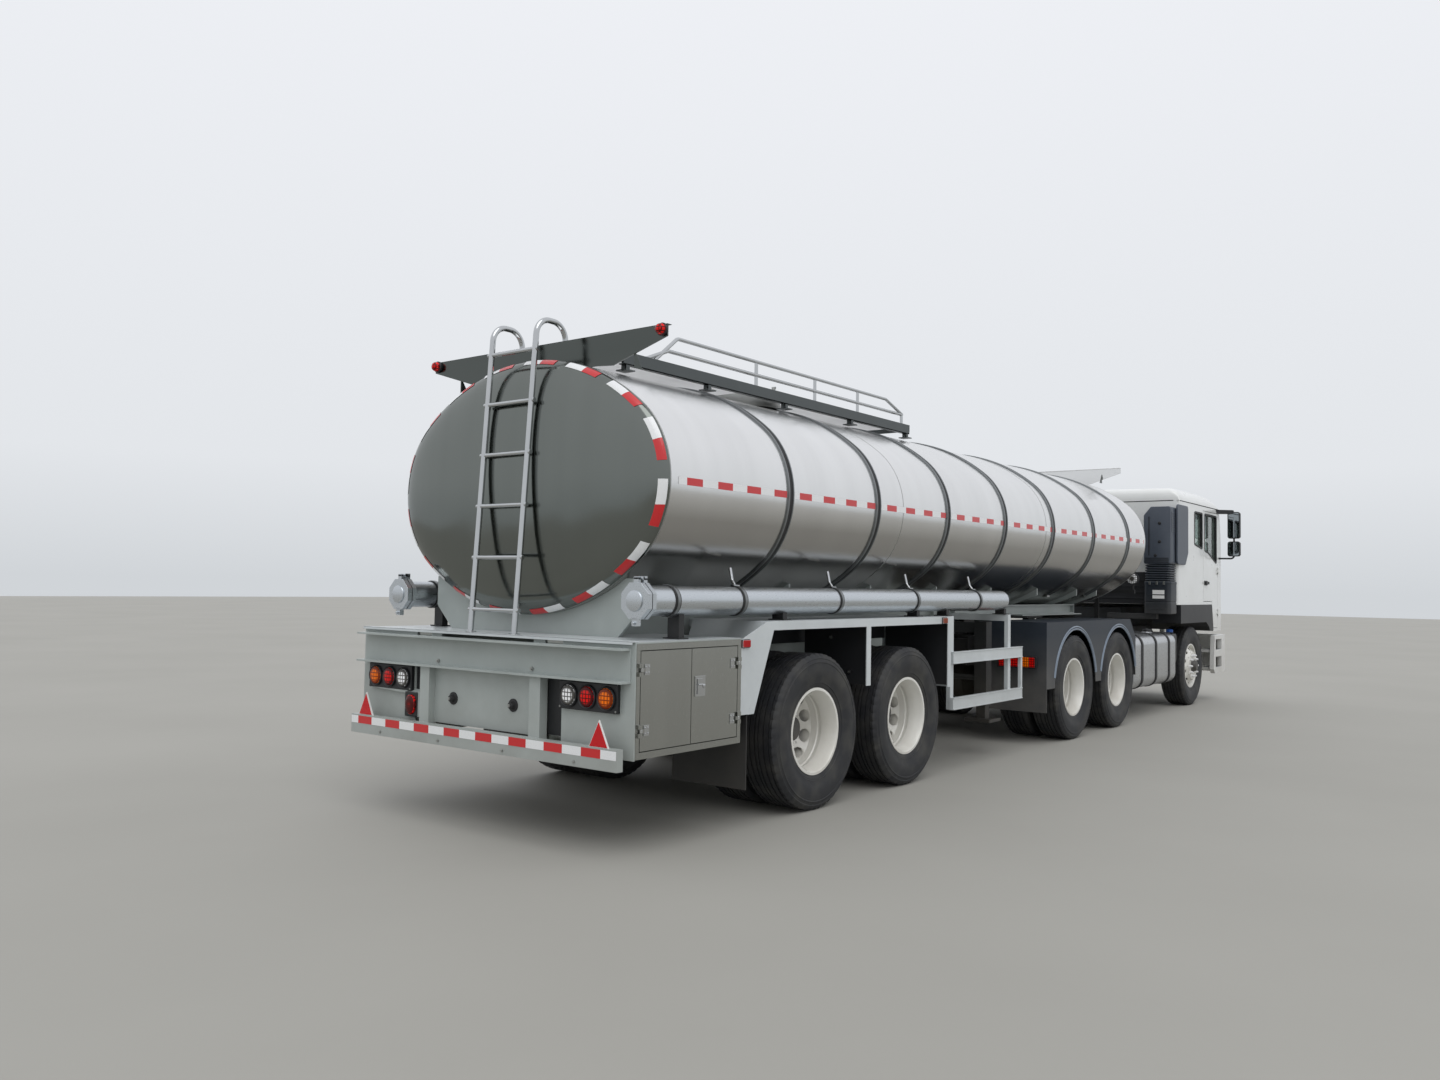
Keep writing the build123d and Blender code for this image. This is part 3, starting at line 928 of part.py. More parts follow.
with BuildPart() as hose_tubes:
    for side in (1, -1):
        tube_y = side * TUBE_Y
        rod((TUBE_X[0], tube_y, TUBE_Z), (TUBE_X[1], tube_y, TUBE_Z), HOSE_TUBE_R)
        cross_plate(octagon(tube_y, TUBE_Z, CAP_HALF), (TUBE_X[0] - 22, TUBE_X[0] + 10))
        for x, low in ((TUBE_X[0] + 310, DECK_TOP_Z), (TRAILER_REAR_X - 300, GUARD_TOP), (TRAILER_FRONT_X + 300, GUARD_TOP),
                       (TRAILER_FRONT_X + 830, GUARD_TOP), (TUBE_X[1] + 15, GUARD_TOP)):
            block((x - 25, x + 25), sorted((side * (TUBE_Y - 45), side * (TUBE_Y + 45))), (low + SEAT_GAP, TUBE_Z - 60))
        rod((TUBE_X[0] - 23, tube_y, TUBE_Z), (TUBE_X[1] - TUBE_WALL, tube_y, TUBE_Z), HOSE_TUBE_R - TUBE_WALL,
            Mode.SUBTRACT)
        for y in (tube_y - 27, tube_y + 27):
            block((TUBE_X[0] - 22, TUBE_X[0] + 8), (y - 7, y + 7), (TUBE_Z + CAP_HALF - 5, CAP_HINGE_Z))
            rod((CAP_HINGE_X, y - 7, CAP_HINGE_Z), (CAP_HINGE_X, y + 7, CAP_HINGE_Z), 11)
            block((CAP_HINGE_X, TUBE_X[0] + 8), (y - 7, y + 7), (CAP_HINGE_Z - 11, CAP_HINGE_Z + 11))
        rod((CAP_HINGE_X, tube_y - 27, CAP_HINGE_Z), (CAP_HINGE_X, tube_y + 27, CAP_HINGE_Z), 5)
save(hose_tubes, "hose_tubes")

for side_name, side in SIDES:
    tube_y = side * TUBE_Y
    with BuildPart() as tube_cap:
        cross_plate(octagon(tube_y, TUBE_Z, CAP_HALF), CAP_X)
        block((CAP_X[0] + 8, CAP_X[0] + 24), (tube_y - 18, tube_y + 18), (TUBE_Z + CAP_HALF - 5, CAP_HINGE_Z + 4))
        block((CAP_X[0] + 8, CAP_HINGE_X), (tube_y - 18, tube_y + 18), (CAP_HINGE_Z - 8, CAP_HINGE_Z + 8))
        rod((CAP_HINGE_X, tube_y - 18, CAP_HINGE_Z), (CAP_HINGE_X, tube_y + 18, CAP_HINGE_Z), 11)
        rod((CAP_HINGE_X, tube_y - 19, CAP_HINGE_Z), (CAP_HINGE_X, tube_y + 19, CAP_HINGE_Z), 5 + HINGE_PIN_GAP,
            Mode.SUBTRACT)
        block(CAP_X, (tube_y - 20, tube_y + 20), (TUBE_Z - CAP_HALF - 40, TUBE_Z - CAP_HALF + 5))
    save(tube_cap, f"tube_cap_{side_name}")

# Trailer frame: two I-section rails, coupler plate with the kingpin, cross members, tank saddles

FRAME_REAR_X = TAIL_X + 110
FRAME_FRONT_X = KINGPIN_X + 1050
FRAME_Y = (430, 530)
WEB_Y = (473, 487)
FRAME_FLANGE = 14
FRAME_LOW_Z = 800
FRAME_TOP_Z = 1370
DECK_Z = 1195
COUPLER_Z = (COUPLING_Z + 0.5, COUPLING_Z + 13)
RAIL_SOLE_Z = COUPLER_Z[1] + SEAT_GAP
SADDLE_HALF = 10
SADDLE_TOP_Z = 1560
REAR_SADDLE_X = TANK_REAR_X + 60
RAIL_STEP_X = REAR_SADDLE_X + SADDLE_HALF + SEAT_GAP
CROSS_Y = WEB_Y[0] - SEAT_GAP
CROSS_HALF = 40
CROSS_XS = (
    FRAME_REAR_X + 120, TRAILER_REAR_X - 690, TRAILER_REAR_X + 660, TRAILER_FRONT_X + 600, KINGPIN_X - 2750,
)
NECK_X = (KINGPIN_X - 2650, KINGPIN_X - 2200)
# side outlines of a rail's three lengths: rear, cranked neck, front
RAIL_LENGTHS = (
    ((FRAME_REAR_X, FRAME_LOW_Z), (NECK_X[0], FRAME_LOW_Z), (NECK_X[0], FRAME_TOP_Z), (RAIL_STEP_X, FRAME_TOP_Z),
     (RAIL_STEP_X, DECK_Z), (FRAME_REAR_X, DECK_Z)),
    ((NECK_X[0] + SEAT_GAP, FRAME_LOW_Z), (NECK_X[1], RAIL_SOLE_Z), (NECK_X[1], FRAME_TOP_Z),
     (NECK_X[0] + SEAT_GAP, FRAME_TOP_Z)),
    ((NECK_X[1] + SEAT_GAP, RAIL_SOLE_Z), (FRAME_FRONT_X, RAIL_SOLE_Z), (FRAME_FRONT_X, FRAME_TOP_Z),
     (NECK_X[1] + SEAT_GAP, FRAME_TOP_Z)),
)

with BuildPart() as trailer_frame:
    for side in (1, -1):
        for rail_outline in RAIL_LENGTHS:
            side_plate(rail_outline, sorted((side * FRAME_Y[0], side * FRAME_Y[1])))
            for pocket in ((FRAME_Y[0] - 1, WEB_Y[0]), (WEB_Y[1], FRAME_Y[1] + 1)):
                with BuildSketch(Plane.XZ.offset(-max(side * pocket[0], side * pocket[1]))) as pocket_outline:
                    with BuildLine():
                        Polyline(*rail_outline, close=True)
                    make_face()
                    offset(amount=-FRAME_FLANGE, kind=Kind.INTERSECTION, mode=Mode.REPLACE)
                extrude(pocket_outline.sketch, amount=pocket[1] - pocket[0], dir=(0, -1, 0), mode=Mode.SUBTRACT)
    block((KINGPIN_X - 700, FRAME_FRONT_X + 50), (-600, 600), COUPLER_Z)
    rod((KINGPIN_X, 0, COUPLING_Z - 80), (KINGPIN_X, 0, COUPLER_Z[1] + 1), KINGPIN_R)
    rod((KINGPIN_X, 0, COUPLING_Z - 80), (KINGPIN_X, 0, COUPLING_Z - 45), 36)
    for x in CROSS_XS:
        block((x - CROSS_HALF, x + CROSS_HALF), (-CROSS_Y, CROSS_Y), (FRAME_LOW_Z + 100, FRAME_LOW_Z + 300))
    for x in (KINGPIN_X - 650, FRAME_FRONT_X - 100):
        block((x - CROSS_HALF, x + CROSS_HALF), (-CROSS_Y, CROSS_Y),
              (RAIL_SOLE_Z + FRAME_FLANGE + SEAT_GAP, TANK_CENTRE_Z - TANK_HALF_HEIGHT - 6))
    cross_plate(
        ((-780, DECK_TOP_Z + SEAT_GAP), (780, DECK_TOP_Z + SEAT_GAP), (940, 1360), (940, SADDLE_TOP_Z),
         (-940, SADDLE_TOP_Z), (-940, 1360)),
        (REAR_SADDLE_X - SADDLE_HALF, REAR_SADDLE_X + SADDLE_HALF))
    saddle_foot_z = FRAME_TOP_Z + SEAT_GAP
    for x in [*(band_x + BAND_PITCH / 2 for band_x in BAND_XS[:-1]), FRAME_FRONT_X - 60]:
        cross_plate(
            ((-FRAME_Y[1], saddle_foot_z), (FRAME_Y[1], saddle_foot_z), (820, 1480), (820, SADDLE_TOP_Z),
             (-820, SADDLE_TOP_Z), (-820, 1480)),
            (x - SADDLE_HALF, x + SADDLE_HALF))
    cut_to_tank()
save(trailer_frame, "trailer_frame")

# Rear deck: the plate behind the tank, open channel, lamp panels and the bumper bar

CHANNEL_X = (TAIL_X + 20, FRAME_REAR_X)
CHANNEL_Z = (975, 1170)
BAR_X = (TAIL_X, TAIL_X + 50)
BAR_Z = (498, 620)
CABINET_X = (TAIL_X + 120, TAIL_X + 1090)
LAMP_BOX_X = (FRAME_REAR_X - 30, FRAME_REAR_X)
LAMP_BOX_Y = (692, 1148)
LAMP_BOX_Z = (804, 964)
LAMP_LENS_YS = (772, 920, 1068)
LAMP_LENS_Z = 884
LAMP_LENS_R = 56
LAMP_PANEL_Y = (680, BODY_HALF_WIDTH)
FOG_LAMP_Y = (572, 708)
FOG_LAMP_Z = (655, 815)
FOG_LENS = (48, 62)
TRIANGLE_Y = 1078
TRIANGLE_HALF = 76
TRIANGLE_HEIGHT = 132

with BuildPart() as rear_deck:
    block((FRAME_REAR_X, CABINET_X[1]), (-BODY_HALF_WIDTH, BODY_HALF_WIDTH), (DECK_Z, DECK_TOP_Z))
    for side in (1, -1):
        block((RAIL_STEP_X - 0.5, CABINET_X[1] + 1), sorted((side * (FRAME_Y[0] - 0.5), side * (FRAME_Y[1] + 0.5))),
              (DECK_Z - 1, DECK_TOP_Z + 1), Mode.SUBTRACT)
    block(CHANNEL_X, (-1220, 1220), CHANNEL_Z)
    block((CHANNEL_X[0] - 1, CHANNEL_X[1] - 12), (-1221, 1221), (CHANNEL_Z[0] + 12, CHANNEL_Z[1] - 12), Mode.SUBTRACT)
    block(BAR_X, (-1225, 1225), BAR_Z)
    block((FRAME_REAR_X - 12, FRAME_REAR_X - 4), (-470, 470), (620, CHANNEL_Z[0] + 2))
    for side in (1, -1):
        block((FRAME_REAR_X - 0.5, FRAME_REAR_X + 8), sorted((side * LAMP_PANEL_Y[0], side * LAMP_PANEL_Y[1])),
              (550, DECK_TOP_Z - 1))
        block((BAR_X[1] - 1, FRAME_REAR_X), sorted((side * 467, side * 560)), (BAR_Z[0] + 10, CHANNEL_Z[0] + 1))
        block((BAR_X[1] - 1, FRAME_REAR_X + 1), sorted((side * 980, side * 1030)), (BAR_Z[0] + 60, BAR_Z[1] - 10))
        block(LAMP_BOX_X, sorted((side * LAMP_BOX_Y[0], side * LAMP_BOX_Y[1])), LAMP_BOX_Z)
        for y in LAMP_LENS_YS:
            rod((LAMP_BOX_X[0] - 12, side * y, LAMP_LENS_Z), (LAMP_BOX_X[0] + 1, side * y, LAMP_LENS_Z), LAMP_LENS_R)
        cross_plate(
            ((side * (TRIANGLE_Y - TRIANGLE_HALF), BAR_Z[1] - 1), (side * (TRIANGLE_Y + TRIANGLE_HALF), BAR_Z[1] - 1),
             (side * TRIANGLE_Y, BAR_Z[1] + TRIANGLE_HEIGHT)),
            (BAR_X[0] + 10, BAR_X[0] + 18))
    block(LAMP_BOX_X, FOG_LAMP_Y, FOG_LAMP_Z)
    with BuildSketch(Plane.YZ.offset(LAMP_BOX_X[0] + 1)) as fog_lens:
        with Locations(((FOG_LAMP_Y[0] + FOG_LAMP_Y[1]) / 2, (FOG_LAMP_Z[0] + FOG_LAMP_Z[1]) / 2)):
            Ellipse(*FOG_LENS)
    extrude(fog_lens.sketch, amount=13, dir=(-1, 0, 0))
save(rear_deck, "rear_deck")

# Cabinets: one hollow steel box a side under the deck, with two hinged leaves

CABINET_Y = (FRAME_Y[1] + SEAT_GAP, BODY_HALF_WIDTH)
CABINET_Z = (555, DECK_Z - SEAT_GAP)
CABINET_WALL = 25
CABINET_MOUTH_X = (CABINET_X[0] + 32, CABINET_X[1] - 35)
CABINET_MOUTH_Z = (593, 1158)
LEAF_GAP = 5
LEAF_THICKNESS = 20
LEAF_SPLIT_X = (CABINET_MOUTH_X[0] + CABINET_MOUTH_X[1]) / 2
LEAF_HINGE_R = 9
LEAF_HINGE_Y = BODY_HALF_WIDTH + LEAF_HINGE_R + 2
LEAF_HINGE_Z = (712, 1050)
# name of the leaf, hinge's x, way the leaf lies from it, leaf's two edges
LEAVES = (
    ("rear", CABINET_MOUTH_X[0] + LEAF_GAP / 2, 1, (CABINET_MOUTH_X[0] + LEAF_GAP, LEAF_SPLIT_X - LEAF_GAP / 2)),
    ("front", CABINET_MOUTH_X[1] - LEAF_GAP / 2, -1, (LEAF_SPLIT_X + LEAF_GAP / 2, CABINET_MOUTH_X[1] - LEAF_GAP)),
)

with BuildPart() as cabinets:
    box_x = (CABINET_X[0] + SEAT_GAP, CABINET_X[1])
    low_z, high_z = CABINET_Z
    back_y = (CABINET_Y[0], CABINET_Y[0] + CABINET_WALL)
    front_y = (CABINET_Y[1] - CABINET_WALL, CABINET_Y[1])
    depth_y = (back_y[1] + SEAT_GAP, front_y[0] - SEAT_GAP)
    end_z = (low_z + CABINET_WALL + SEAT_GAP, high_z - CABINET_WALL - SEAT_GAP)
    stile_z = (CABINET_MOUTH_Z[0] + SEAT_GAP, CABINET_MOUTH_Z[1] - SEAT_GAP)
    # limits of each sheet along x, y (on the left) and z
    sheets = (
        (box_x, back_y, CABINET_Z),
        (box_x, depth_y, (low_z, low_z + CABINET_WALL)),
        (box_x, depth_y, (high_z - CABINET_WALL, high_z)),
        ((box_x[0], box_x[0] + CABINET_WALL), depth_y, end_z),
        ((box_x[1] - CABINET_WALL, box_x[1]), depth_y, end_z),
        (box_x, front_y, (low_z, CABINET_MOUTH_Z[0])),
        (box_x, front_y, (CABINET_MOUTH_Z[1], high_z)),
        ((box_x[0], CABINET_MOUTH_X[0]), front_y, stile_z),
        ((CABINET_MOUTH_X[1], box_x[1]), front_y, stile_z),
    )
    for side in (1, -1):
        for sheet_x, sheet_y, sheet_z in sheets:
            block(sheet_x, sorted((side * sheet_y[0], side * sheet_y[1])), sheet_z)
        for leaf_name, hinge_x, way, leaf_x in LEAVES:
            for z in LEAF_HINGE_Z:
                hinge_part(hinge_x, side * LEAF_HINGE_Y, z, side, -way * 24, False, LEAF_HINGE_R, 24)
save(cabinets, "cabinets")

for leaf_name, hinge_x, way, leaf_x in LEAVES:
    for side_name, side in SIDES:
        with BuildPart() as cabinet_door:
            block(leaf_x, sorted((side * (BODY_HALF_WIDTH - LEAF_THICKNESS), side * BODY_HALF_WIDTH)),
                  (CABINET_MOUTH_Z[0] + LEAF_GAP, CABINET_MOUTH_Z[1] - LEAF_GAP))
            for z in LEAF_HINGE_Z:
                hinge_part(hinge_x, side * LEAF_HINGE_Y, z, side, way * 26, True, LEAF_HINGE_R, 24)
        save(cabinet_door, f"cabinet_door_{leaf_name}_{side_name}")

# Side guards: the framed mudguard over each side's four wheels, its flaps, and the rails ahead of it

FRAMED_X = (TRAILER_REAR_X - 610, TRAILER_FRONT_X + 690)
FRAMED_LOW_Z = 720
FRAMED_LEAN = 235 / 583
RAIL_GUARD_X = (FRAMED_X[1] + 100, NECK_X[1])
MUDGUARD_REAR_X = FRAMED_X[0] - 315
MUDGUARD_PANEL = (
    (MUDGUARD_REAR_X, FRAMED_LOW_Z + 2), (MUDGUARD_REAR_X, GUARD_TOP - 111), (FRAMED_X[0] - 37, GUARD_TOP - 2),
    (FRAMED_X[0] + 2, GUARD_TOP - 2), (FRAMED_X[0] - 234, FRAMED_LOW_Z + 2),
)
# x and z of the side marker lamps
MARKERS = ((MUDGUARD_REAR_X + 42, GUARD_TOP - 135), (FRAMED_X[1] - 130, GUARD_TOP - 32))


def framed_outline(inset, low):
    """The mudguard's side outline drawn in by inset, open downwards to low."""
    rear_shift = inset * sqrt(1 + FRAMED_LEAN**2)
    top = GUARD_TOP - inset
    return (
        (FRAMED_X[0] - (GUARD_TOP - low) * FRAMED_LEAN + rear_shift, low),
        (FRAMED_X[0] - inset * FRAMED_LEAN + rear_shift, top), (FRAMED_X[1] - inset, top), (FRAMED_X[1] - inset, low),
    )


with BuildPart() as side_guards:
    for side in (1, -1):
        side_plate(framed_outline(0, FRAMED_LOW_Z), sorted((side * 600, side * (BODY_HALF_WIDTH - 5))))
        side_plate(framed_outline(8, FRAMED_LOW_Z - 1), sorted((side * 599, side * (BODY_HALF_WIDTH - 13))), Mode.SUBTRACT)
        side_plate(framed_outline(58, FRAMED_LOW_Z - 1), sorted((side * 1200, side * BODY_HALF_WIDTH)), Mode.SUBTRACT)
        block((TRAILER_REAR_X + 520, TRAILER_REAR_X + 680), sorted((side * (BODY_HALF_WIDTH - 13), side * (BODY_HALF_WIDTH - 5))),
              (810, 1243))
        side_plate(MUDGUARD_PANEL, sorted((side * (BODY_HALF_WIDTH - 12), side * (BODY_HALF_WIDTH - 5))))
        for marker_x, marker_z in MARKERS:
            block((marker_x - 38, marker_x + 38), sorted((side * (BODY_HALF_WIDTH - 6), side * (BODY_HALF_WIDTH + 10))),
                  (marker_z - 22, marker_z + 22))
        flap_x = FRAMED_X[0] - (GUARD_TOP - FRAMED_LOW_Z) * FRAMED_LEAN
        block((flap_x - 10, flap_x + 20), sorted((side * 640, side * (BODY_HALF_WIDTH - 10))), (FRAMED_LOW_Z, FRAMED_LOW_Z + 20))
        block((flap_x - 10, flap_x - 2), sorted((side * 640, side * (BODY_HALF_WIDTH - 10))), (250, FRAMED_LOW_Z + 20))
        for x in (FRAMED_X[0] + 120, TRAILER_REAR_X + 600, FRAMED_X[1] - 120):
            block((x - 25, x + 25), sorted((side * (WEB_Y[1] + SEAT_GAP), side * (BODY_HALF_WIDTH - 10))),
                  (GUARD_TOP - 60, GUARD_TOP - 7))
        for low in (515, 900):
            block(RAIL_GUARD_X, sorted((side * 1185, side * 1220)), (low, low + 100))
        for x in (RAIL_GUARD_X[0] + 40, RAIL_GUARD_X[1] - 230):
            block((x - 30, x + 30), sorted((side * 1150, side * 1186)), (515, GUARD_TOP))
            block((x - 30, x + 30), sorted((side * (WEB_Y[1] + SEAT_GAP), side * 1151)), (GUARD_TOP - 60, GUARD_TOP))
save(side_guards, "side_guards")

# Landing gear: two retracted legs with feet, braced across

LEG_X = KINGPIN_X - 2460

with BuildPart() as landing_gear:
    for side in (1, -1):
        block((LEG_X - 60, LEG_X + 60), sorted((side * 880, side * 1000)), (450, 1230))
        block((LEG_X - 45, LEG_X + 45), sorted((side * 895, side * 985)), (329, 451))
        block((LEG_X - 125, LEG_X + 125), sorted((side * 815, side * 1065)), (300, 330))
        block((LEG_X - 30, LEG_X + 30), sorted((side * (WEB_Y[1] + SEAT_GAP), side * 881)), (1120, 1220))
    rod((LEG_X, -881, 700), (LEG_X, 881, 700), 25)
save(landing_gear, "landing_gear")

# Trailer axles: two tubes with spindles, leaf springs and their hangers under the frame

with BuildPart() as trailer_axles:
    for axle_x in (TRAILER_FRONT_X, TRAILER_REAR_X):
        spindle_y = TRAILER_TWIN_Y - DRUM_DEPTH - 20
        rod((axle_x, -spindle_y, TYRE_R), (axle_x, spindle_y, TYRE_R), 65)
        rod((axle_x, -TRAILER_TWIN_Y - 55, TYRE_R), (axle_x, TRAILER_TWIN_Y + 55, TYRE_R), SPINDLE_R)
    for side in (1, -1):
        spring_y = sorted((side * SPRING_Y[0], side * SPRING_Y[1]))
        for axle_x in (TRAILER_FRONT_X, TRAILER_REAR_X):
            leaf_spring(axle_x, spring_y, 690, 595, 80, 520)
        for x, half in ((TRAILER_REAR_X - 520, 35), (TRAILER_REAR_X + 655, 165), (TRAILER_FRONT_X + 520, 35)):
            block((x - half, x + half), sorted((side * 450, side * 520)), (688, FRAME_LOW_Z - SEAT_GAP))
save(trailer_axles, "trailer_axles")
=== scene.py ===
"""Finishes the articulated tank truck: tank, painted running gear, tyres, lamps and cab. Metres."""

from math import atan2, cos, hypot, pi, radians, sin

import bmesh
import bpy
from mathutils import Matrix, Vector


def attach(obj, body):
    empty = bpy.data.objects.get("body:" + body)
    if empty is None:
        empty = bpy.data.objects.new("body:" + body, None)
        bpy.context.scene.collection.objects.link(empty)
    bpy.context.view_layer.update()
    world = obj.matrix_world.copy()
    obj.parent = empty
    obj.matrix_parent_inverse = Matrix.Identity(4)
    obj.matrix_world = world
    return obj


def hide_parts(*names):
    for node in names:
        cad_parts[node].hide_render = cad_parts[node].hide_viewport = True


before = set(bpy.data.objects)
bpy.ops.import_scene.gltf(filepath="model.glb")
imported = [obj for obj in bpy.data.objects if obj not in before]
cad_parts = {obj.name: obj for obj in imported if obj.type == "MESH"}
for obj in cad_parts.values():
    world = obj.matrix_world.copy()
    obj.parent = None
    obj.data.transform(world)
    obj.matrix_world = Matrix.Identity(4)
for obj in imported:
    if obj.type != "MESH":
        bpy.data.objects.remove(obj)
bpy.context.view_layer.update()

# The place the truck is seen from: behind its right rear corner at eye height, through a short lens.
# The camera is turned a little up, and a degree off level, as it was held in the hand.
FOCAL_PIXELS = 1109.1
FRAME_PIXELS = 1440
SENSOR_MM = 36
EYE = Vector((-11.001, -5.370, 1.526))
YAW, PITCH, ROLL = radians(37.73), radians(2.35), radians(0.94)

ahead = Vector((cos(YAW) * cos(PITCH), sin(YAW) * cos(PITCH), sin(PITCH)))
level_right = Vector((sin(YAW), -cos(YAW), 0))
level_up = level_right.cross(ahead)
held_right = cos(ROLL) * level_right + sin(ROLL) * level_up
held_up = cos(ROLL) * level_up - sin(ROLL) * level_right


def add_object(name, data):
    """A new object of some data, linked into the scene."""
    made = bpy.data.objects.new(name, data)
    bpy.context.scene.collection.objects.link(made)
    return made


camera_data = bpy.data.cameras.new("camera")
camera_data.sensor_width = SENSOR_MM
camera_data.lens = SENSOR_MM * FOCAL_PIXELS / FRAME_PIXELS
camera = add_object("camera", camera_data)
camera.matrix_world = Matrix.Translation(EYE) @ Matrix((held_right, held_up, -ahead)).transposed().to_4x4()
bpy.context.scene.camera = camera
bpy.context.scene.view_settings.view_transform = "Standard"

# The yard it stands in: a plain pale floor under an even, overcast sky, brightest overhead.
# The low sky is a little darker, which gives the bright steel the soft edge that it mirrors.
FLOOR_SIZE = 160
SKY_STRENGTH = 0.97
SUN_STRENGTH = 0.95
SUN_SPREAD = radians(50)


def srgb(code):
    """A linear colour from its sRGB hex value."""
    channels = [int(code[i:i + 2], 16) / 255 for i in (1, 3, 5)]
    return tuple(c / 12.92 if c <= 0.04045 else ((c + 0.055) / 1.055) ** 2.4 for c in channels) + (1.0,)


def add_node(tree, kind, values=(), links=(), **settings):
    """Adds a node with its settings, its socket values, and the nodes or outputs that feed its sockets."""
    node = tree.nodes.new(kind)
    for key, value in settings.items():
        setattr(node, key, value)

    def socket(key):
        if isinstance(key, int):
            return node.inputs[key]
        return next(s for s in node.inputs if s.enabled and s.name == key)

    for key, value in dict(values).items():
        socket(key).default_value = value
    for key, source in dict(links).items():
        if isinstance(source, bpy.types.Node):
            source = next(s for s in source.outputs if s.enabled)
        tree.links.new(source, socket(key))
    return node


def new_material(name):
    """An empty node material and its tree."""
    material = bpy.data.materials.new(name)
    material.use_nodes = True
    material.node_tree.nodes.clear()
    return material, material.node_tree


world = bpy.data.worlds.new("overcast_sky")
world.use_nodes = True
sky = world.node_tree
sky.nodes.clear()
direction = add_node(sky, "ShaderNodeTexCoord")
axes = add_node(sky, "ShaderNodeSeparateXYZ", links={0: direction.outputs["Generated"]})
ramp = add_node(sky, "ShaderNodeValToRGB", links={0: axes.outputs["Z"]})
ramp.color_ramp.elements[0].position = 0.0
ramp.color_ramp.elements[0].color = srgb("#D3D7DB")
ramp.color_ramp.elements[1].position = 0.55
ramp.color_ramp.elements[1].color = srgb("#F3F5FA")
low_sky = ramp.color_ramp.elements.new(0.10)
low_sky.color = srgb("#E6E9ED")
background = add_node(sky, "ShaderNodeBackground", {"Strength": SKY_STRENGTH}, {"Color": ramp.outputs[0]})
add_node(sky, "ShaderNodeOutputWorld", links={"Surface": background.outputs[0]})
bpy.context.scene.world = world

floor_mesh = bpy.data.meshes.new("floor")
half = FLOOR_SIZE / 2
floor_mesh.from_pydata([(-half, -half, 0), (half, -half, 0), (half, half, 0), (-half, half, 0)], [],
    [(0, 1, 2, 3)])
floor = add_object("floor", floor_mesh)
# Cast concrete, floated and bleached by weather: an even pale grey, a little cloudy
floor_paint, tree = new_material("pale_concrete")
place = add_node(tree, "ShaderNodeTexCoord").outputs["Object"]
cloud = add_node(tree, "ShaderNodeTexNoise", {"Scale": 0.35, "Detail": 6.0}, {"Vector": place})
tone = add_node(tree, "ShaderNodeMix", {"A": srgb("#96948D"), "B": srgb("#A3A19A")}, {"Factor": cloud},
    data_type="RGBA")
shader = add_node(tree, "ShaderNodeBsdfPrincipled", {"Roughness": 0.75}, {"Base Color": tone})
add_node(tree, "ShaderNodeOutputMaterial", links={"Surface": shader})
floor_mesh.materials.append(floor_paint)

sun_data = bpy.data.lights.new("high_sun", "SUN")
sun_data.energy = SUN_STRENGTH
sun_data.angle = SUN_SPREAD
sun = add_object("high_sun", sun_data)
sun.matrix_world = Vector((-0.35, -0.45, 1.0)).to_track_quat("Z", "Y").to_matrix().to_4x4()

# Tank: a barrel of rolled stainless sheet with two pressed, dished heads welded to its ends.
# Its section is four arcs, wide and low; the mill finish is left bare and mirrors the sky softly.
TANK_X = (-6.110, 2.820)
TANK_MID_Z = 2.138
TANK_HALF = (1.216, 0.820)
SIDE_RADIUS = 0.600
HEAD_DEPTH = 0.150
HEAD_CURVE = 0.415
MANHOLE_X = -3.760
NECK_TOP_Z = 3.075
LID_HINGE_X, LID_HINGE_Z = -4.080, 3.090
OVAL_STEPS = 176
FINE_STEPS = 2000
GROUND_REFLECTION_TONE = "#77726A"


def oval_point(angle, proud=0.0, share=1.0):
    """The (y, z) point of the tank's section where its skin faces angle, moved out by proud."""
    arm = TANK_HALF[0] - SIDE_RADIUS
    crown = (arm ** 2 + TANK_HALF[1] ** 2 - SIDE_RADIUS ** 2) / (2 * (TANK_HALF[1] - SIDE_RADIUS))
    drop = crown - TANK_HALF[1]
    half_side = pi / 2 - atan2(arm, drop)
    turn = (angle + pi / 2) % (2 * pi) - pi / 2
    if abs(turn) <= half_side or abs(turn - pi) <= half_side:
        middle = (arm if abs(turn) <= half_side else -arm, 0)
        radius = SIDE_RADIUS
    else:
        middle = (0, -drop if sin(angle) > 0 else drop)
        radius = crown
    y = (middle[0] + radius * cos(angle)) * share + proud * cos(angle)
    z = (middle[1] + radius * sin(angle)) * share + proud * sin(angle)
    return y, TANK_MID_Z + z


def oval_angles(count, start=0.0, turn=2 * pi):
    """Facing angles at even steps of length along the section, between two facing angles."""
    fine = [start + turn * i / FINE_STEPS for i in range(FINE_STEPS + 1)]
    points = [oval_point(a) for a in fine]
    lengths = [0.0]
    for a, b in zip(points, points[1:]):
        lengths.append(lengths[-1] + hypot(b[0] - a[0], b[1] - a[1]))
    found, k = [], 0
    for i in range(count + 1):
        goal = lengths[-1] * i / count
        while k < FINE_STEPS - 1 and lengths[k + 1] < goal:
            k += 1
        span = lengths[k + 1] - lengths[k]
        found.append(fine[k] + (fine[k + 1] - fine[k]) * (goal - lengths[k]) / span)
    return found


def skin(rings, around=True, ends=True):
    """Points and faces of a surface laid over rings of equal counts, closed around and over its ends."""
    count = len(rings[0])
    points = [p for ring in rings for p in ring]
    faces = []
    for r in range(len(rings) - 1):
        for i in range(count if around else count - 1):
            j = (i + 1) % count
            faces.append((r * count + i, r * count + j, (r + 1) * count + j, (r + 1) * count + i))
    if ends:
        faces += [tuple(reversed(range(count))), tuple(range((len(rings) - 1) * count, len(rings) * count))]
    return points, faces


def closed_skin(rings):
    """A skin that runs from its last ring back to its first."""
    points, faces = skin([*rings, rings[0]], ends=False)
    count = len(rings) * len(rings[0])
    return points[:count], [tuple(i % count for i in face) for face in faces]


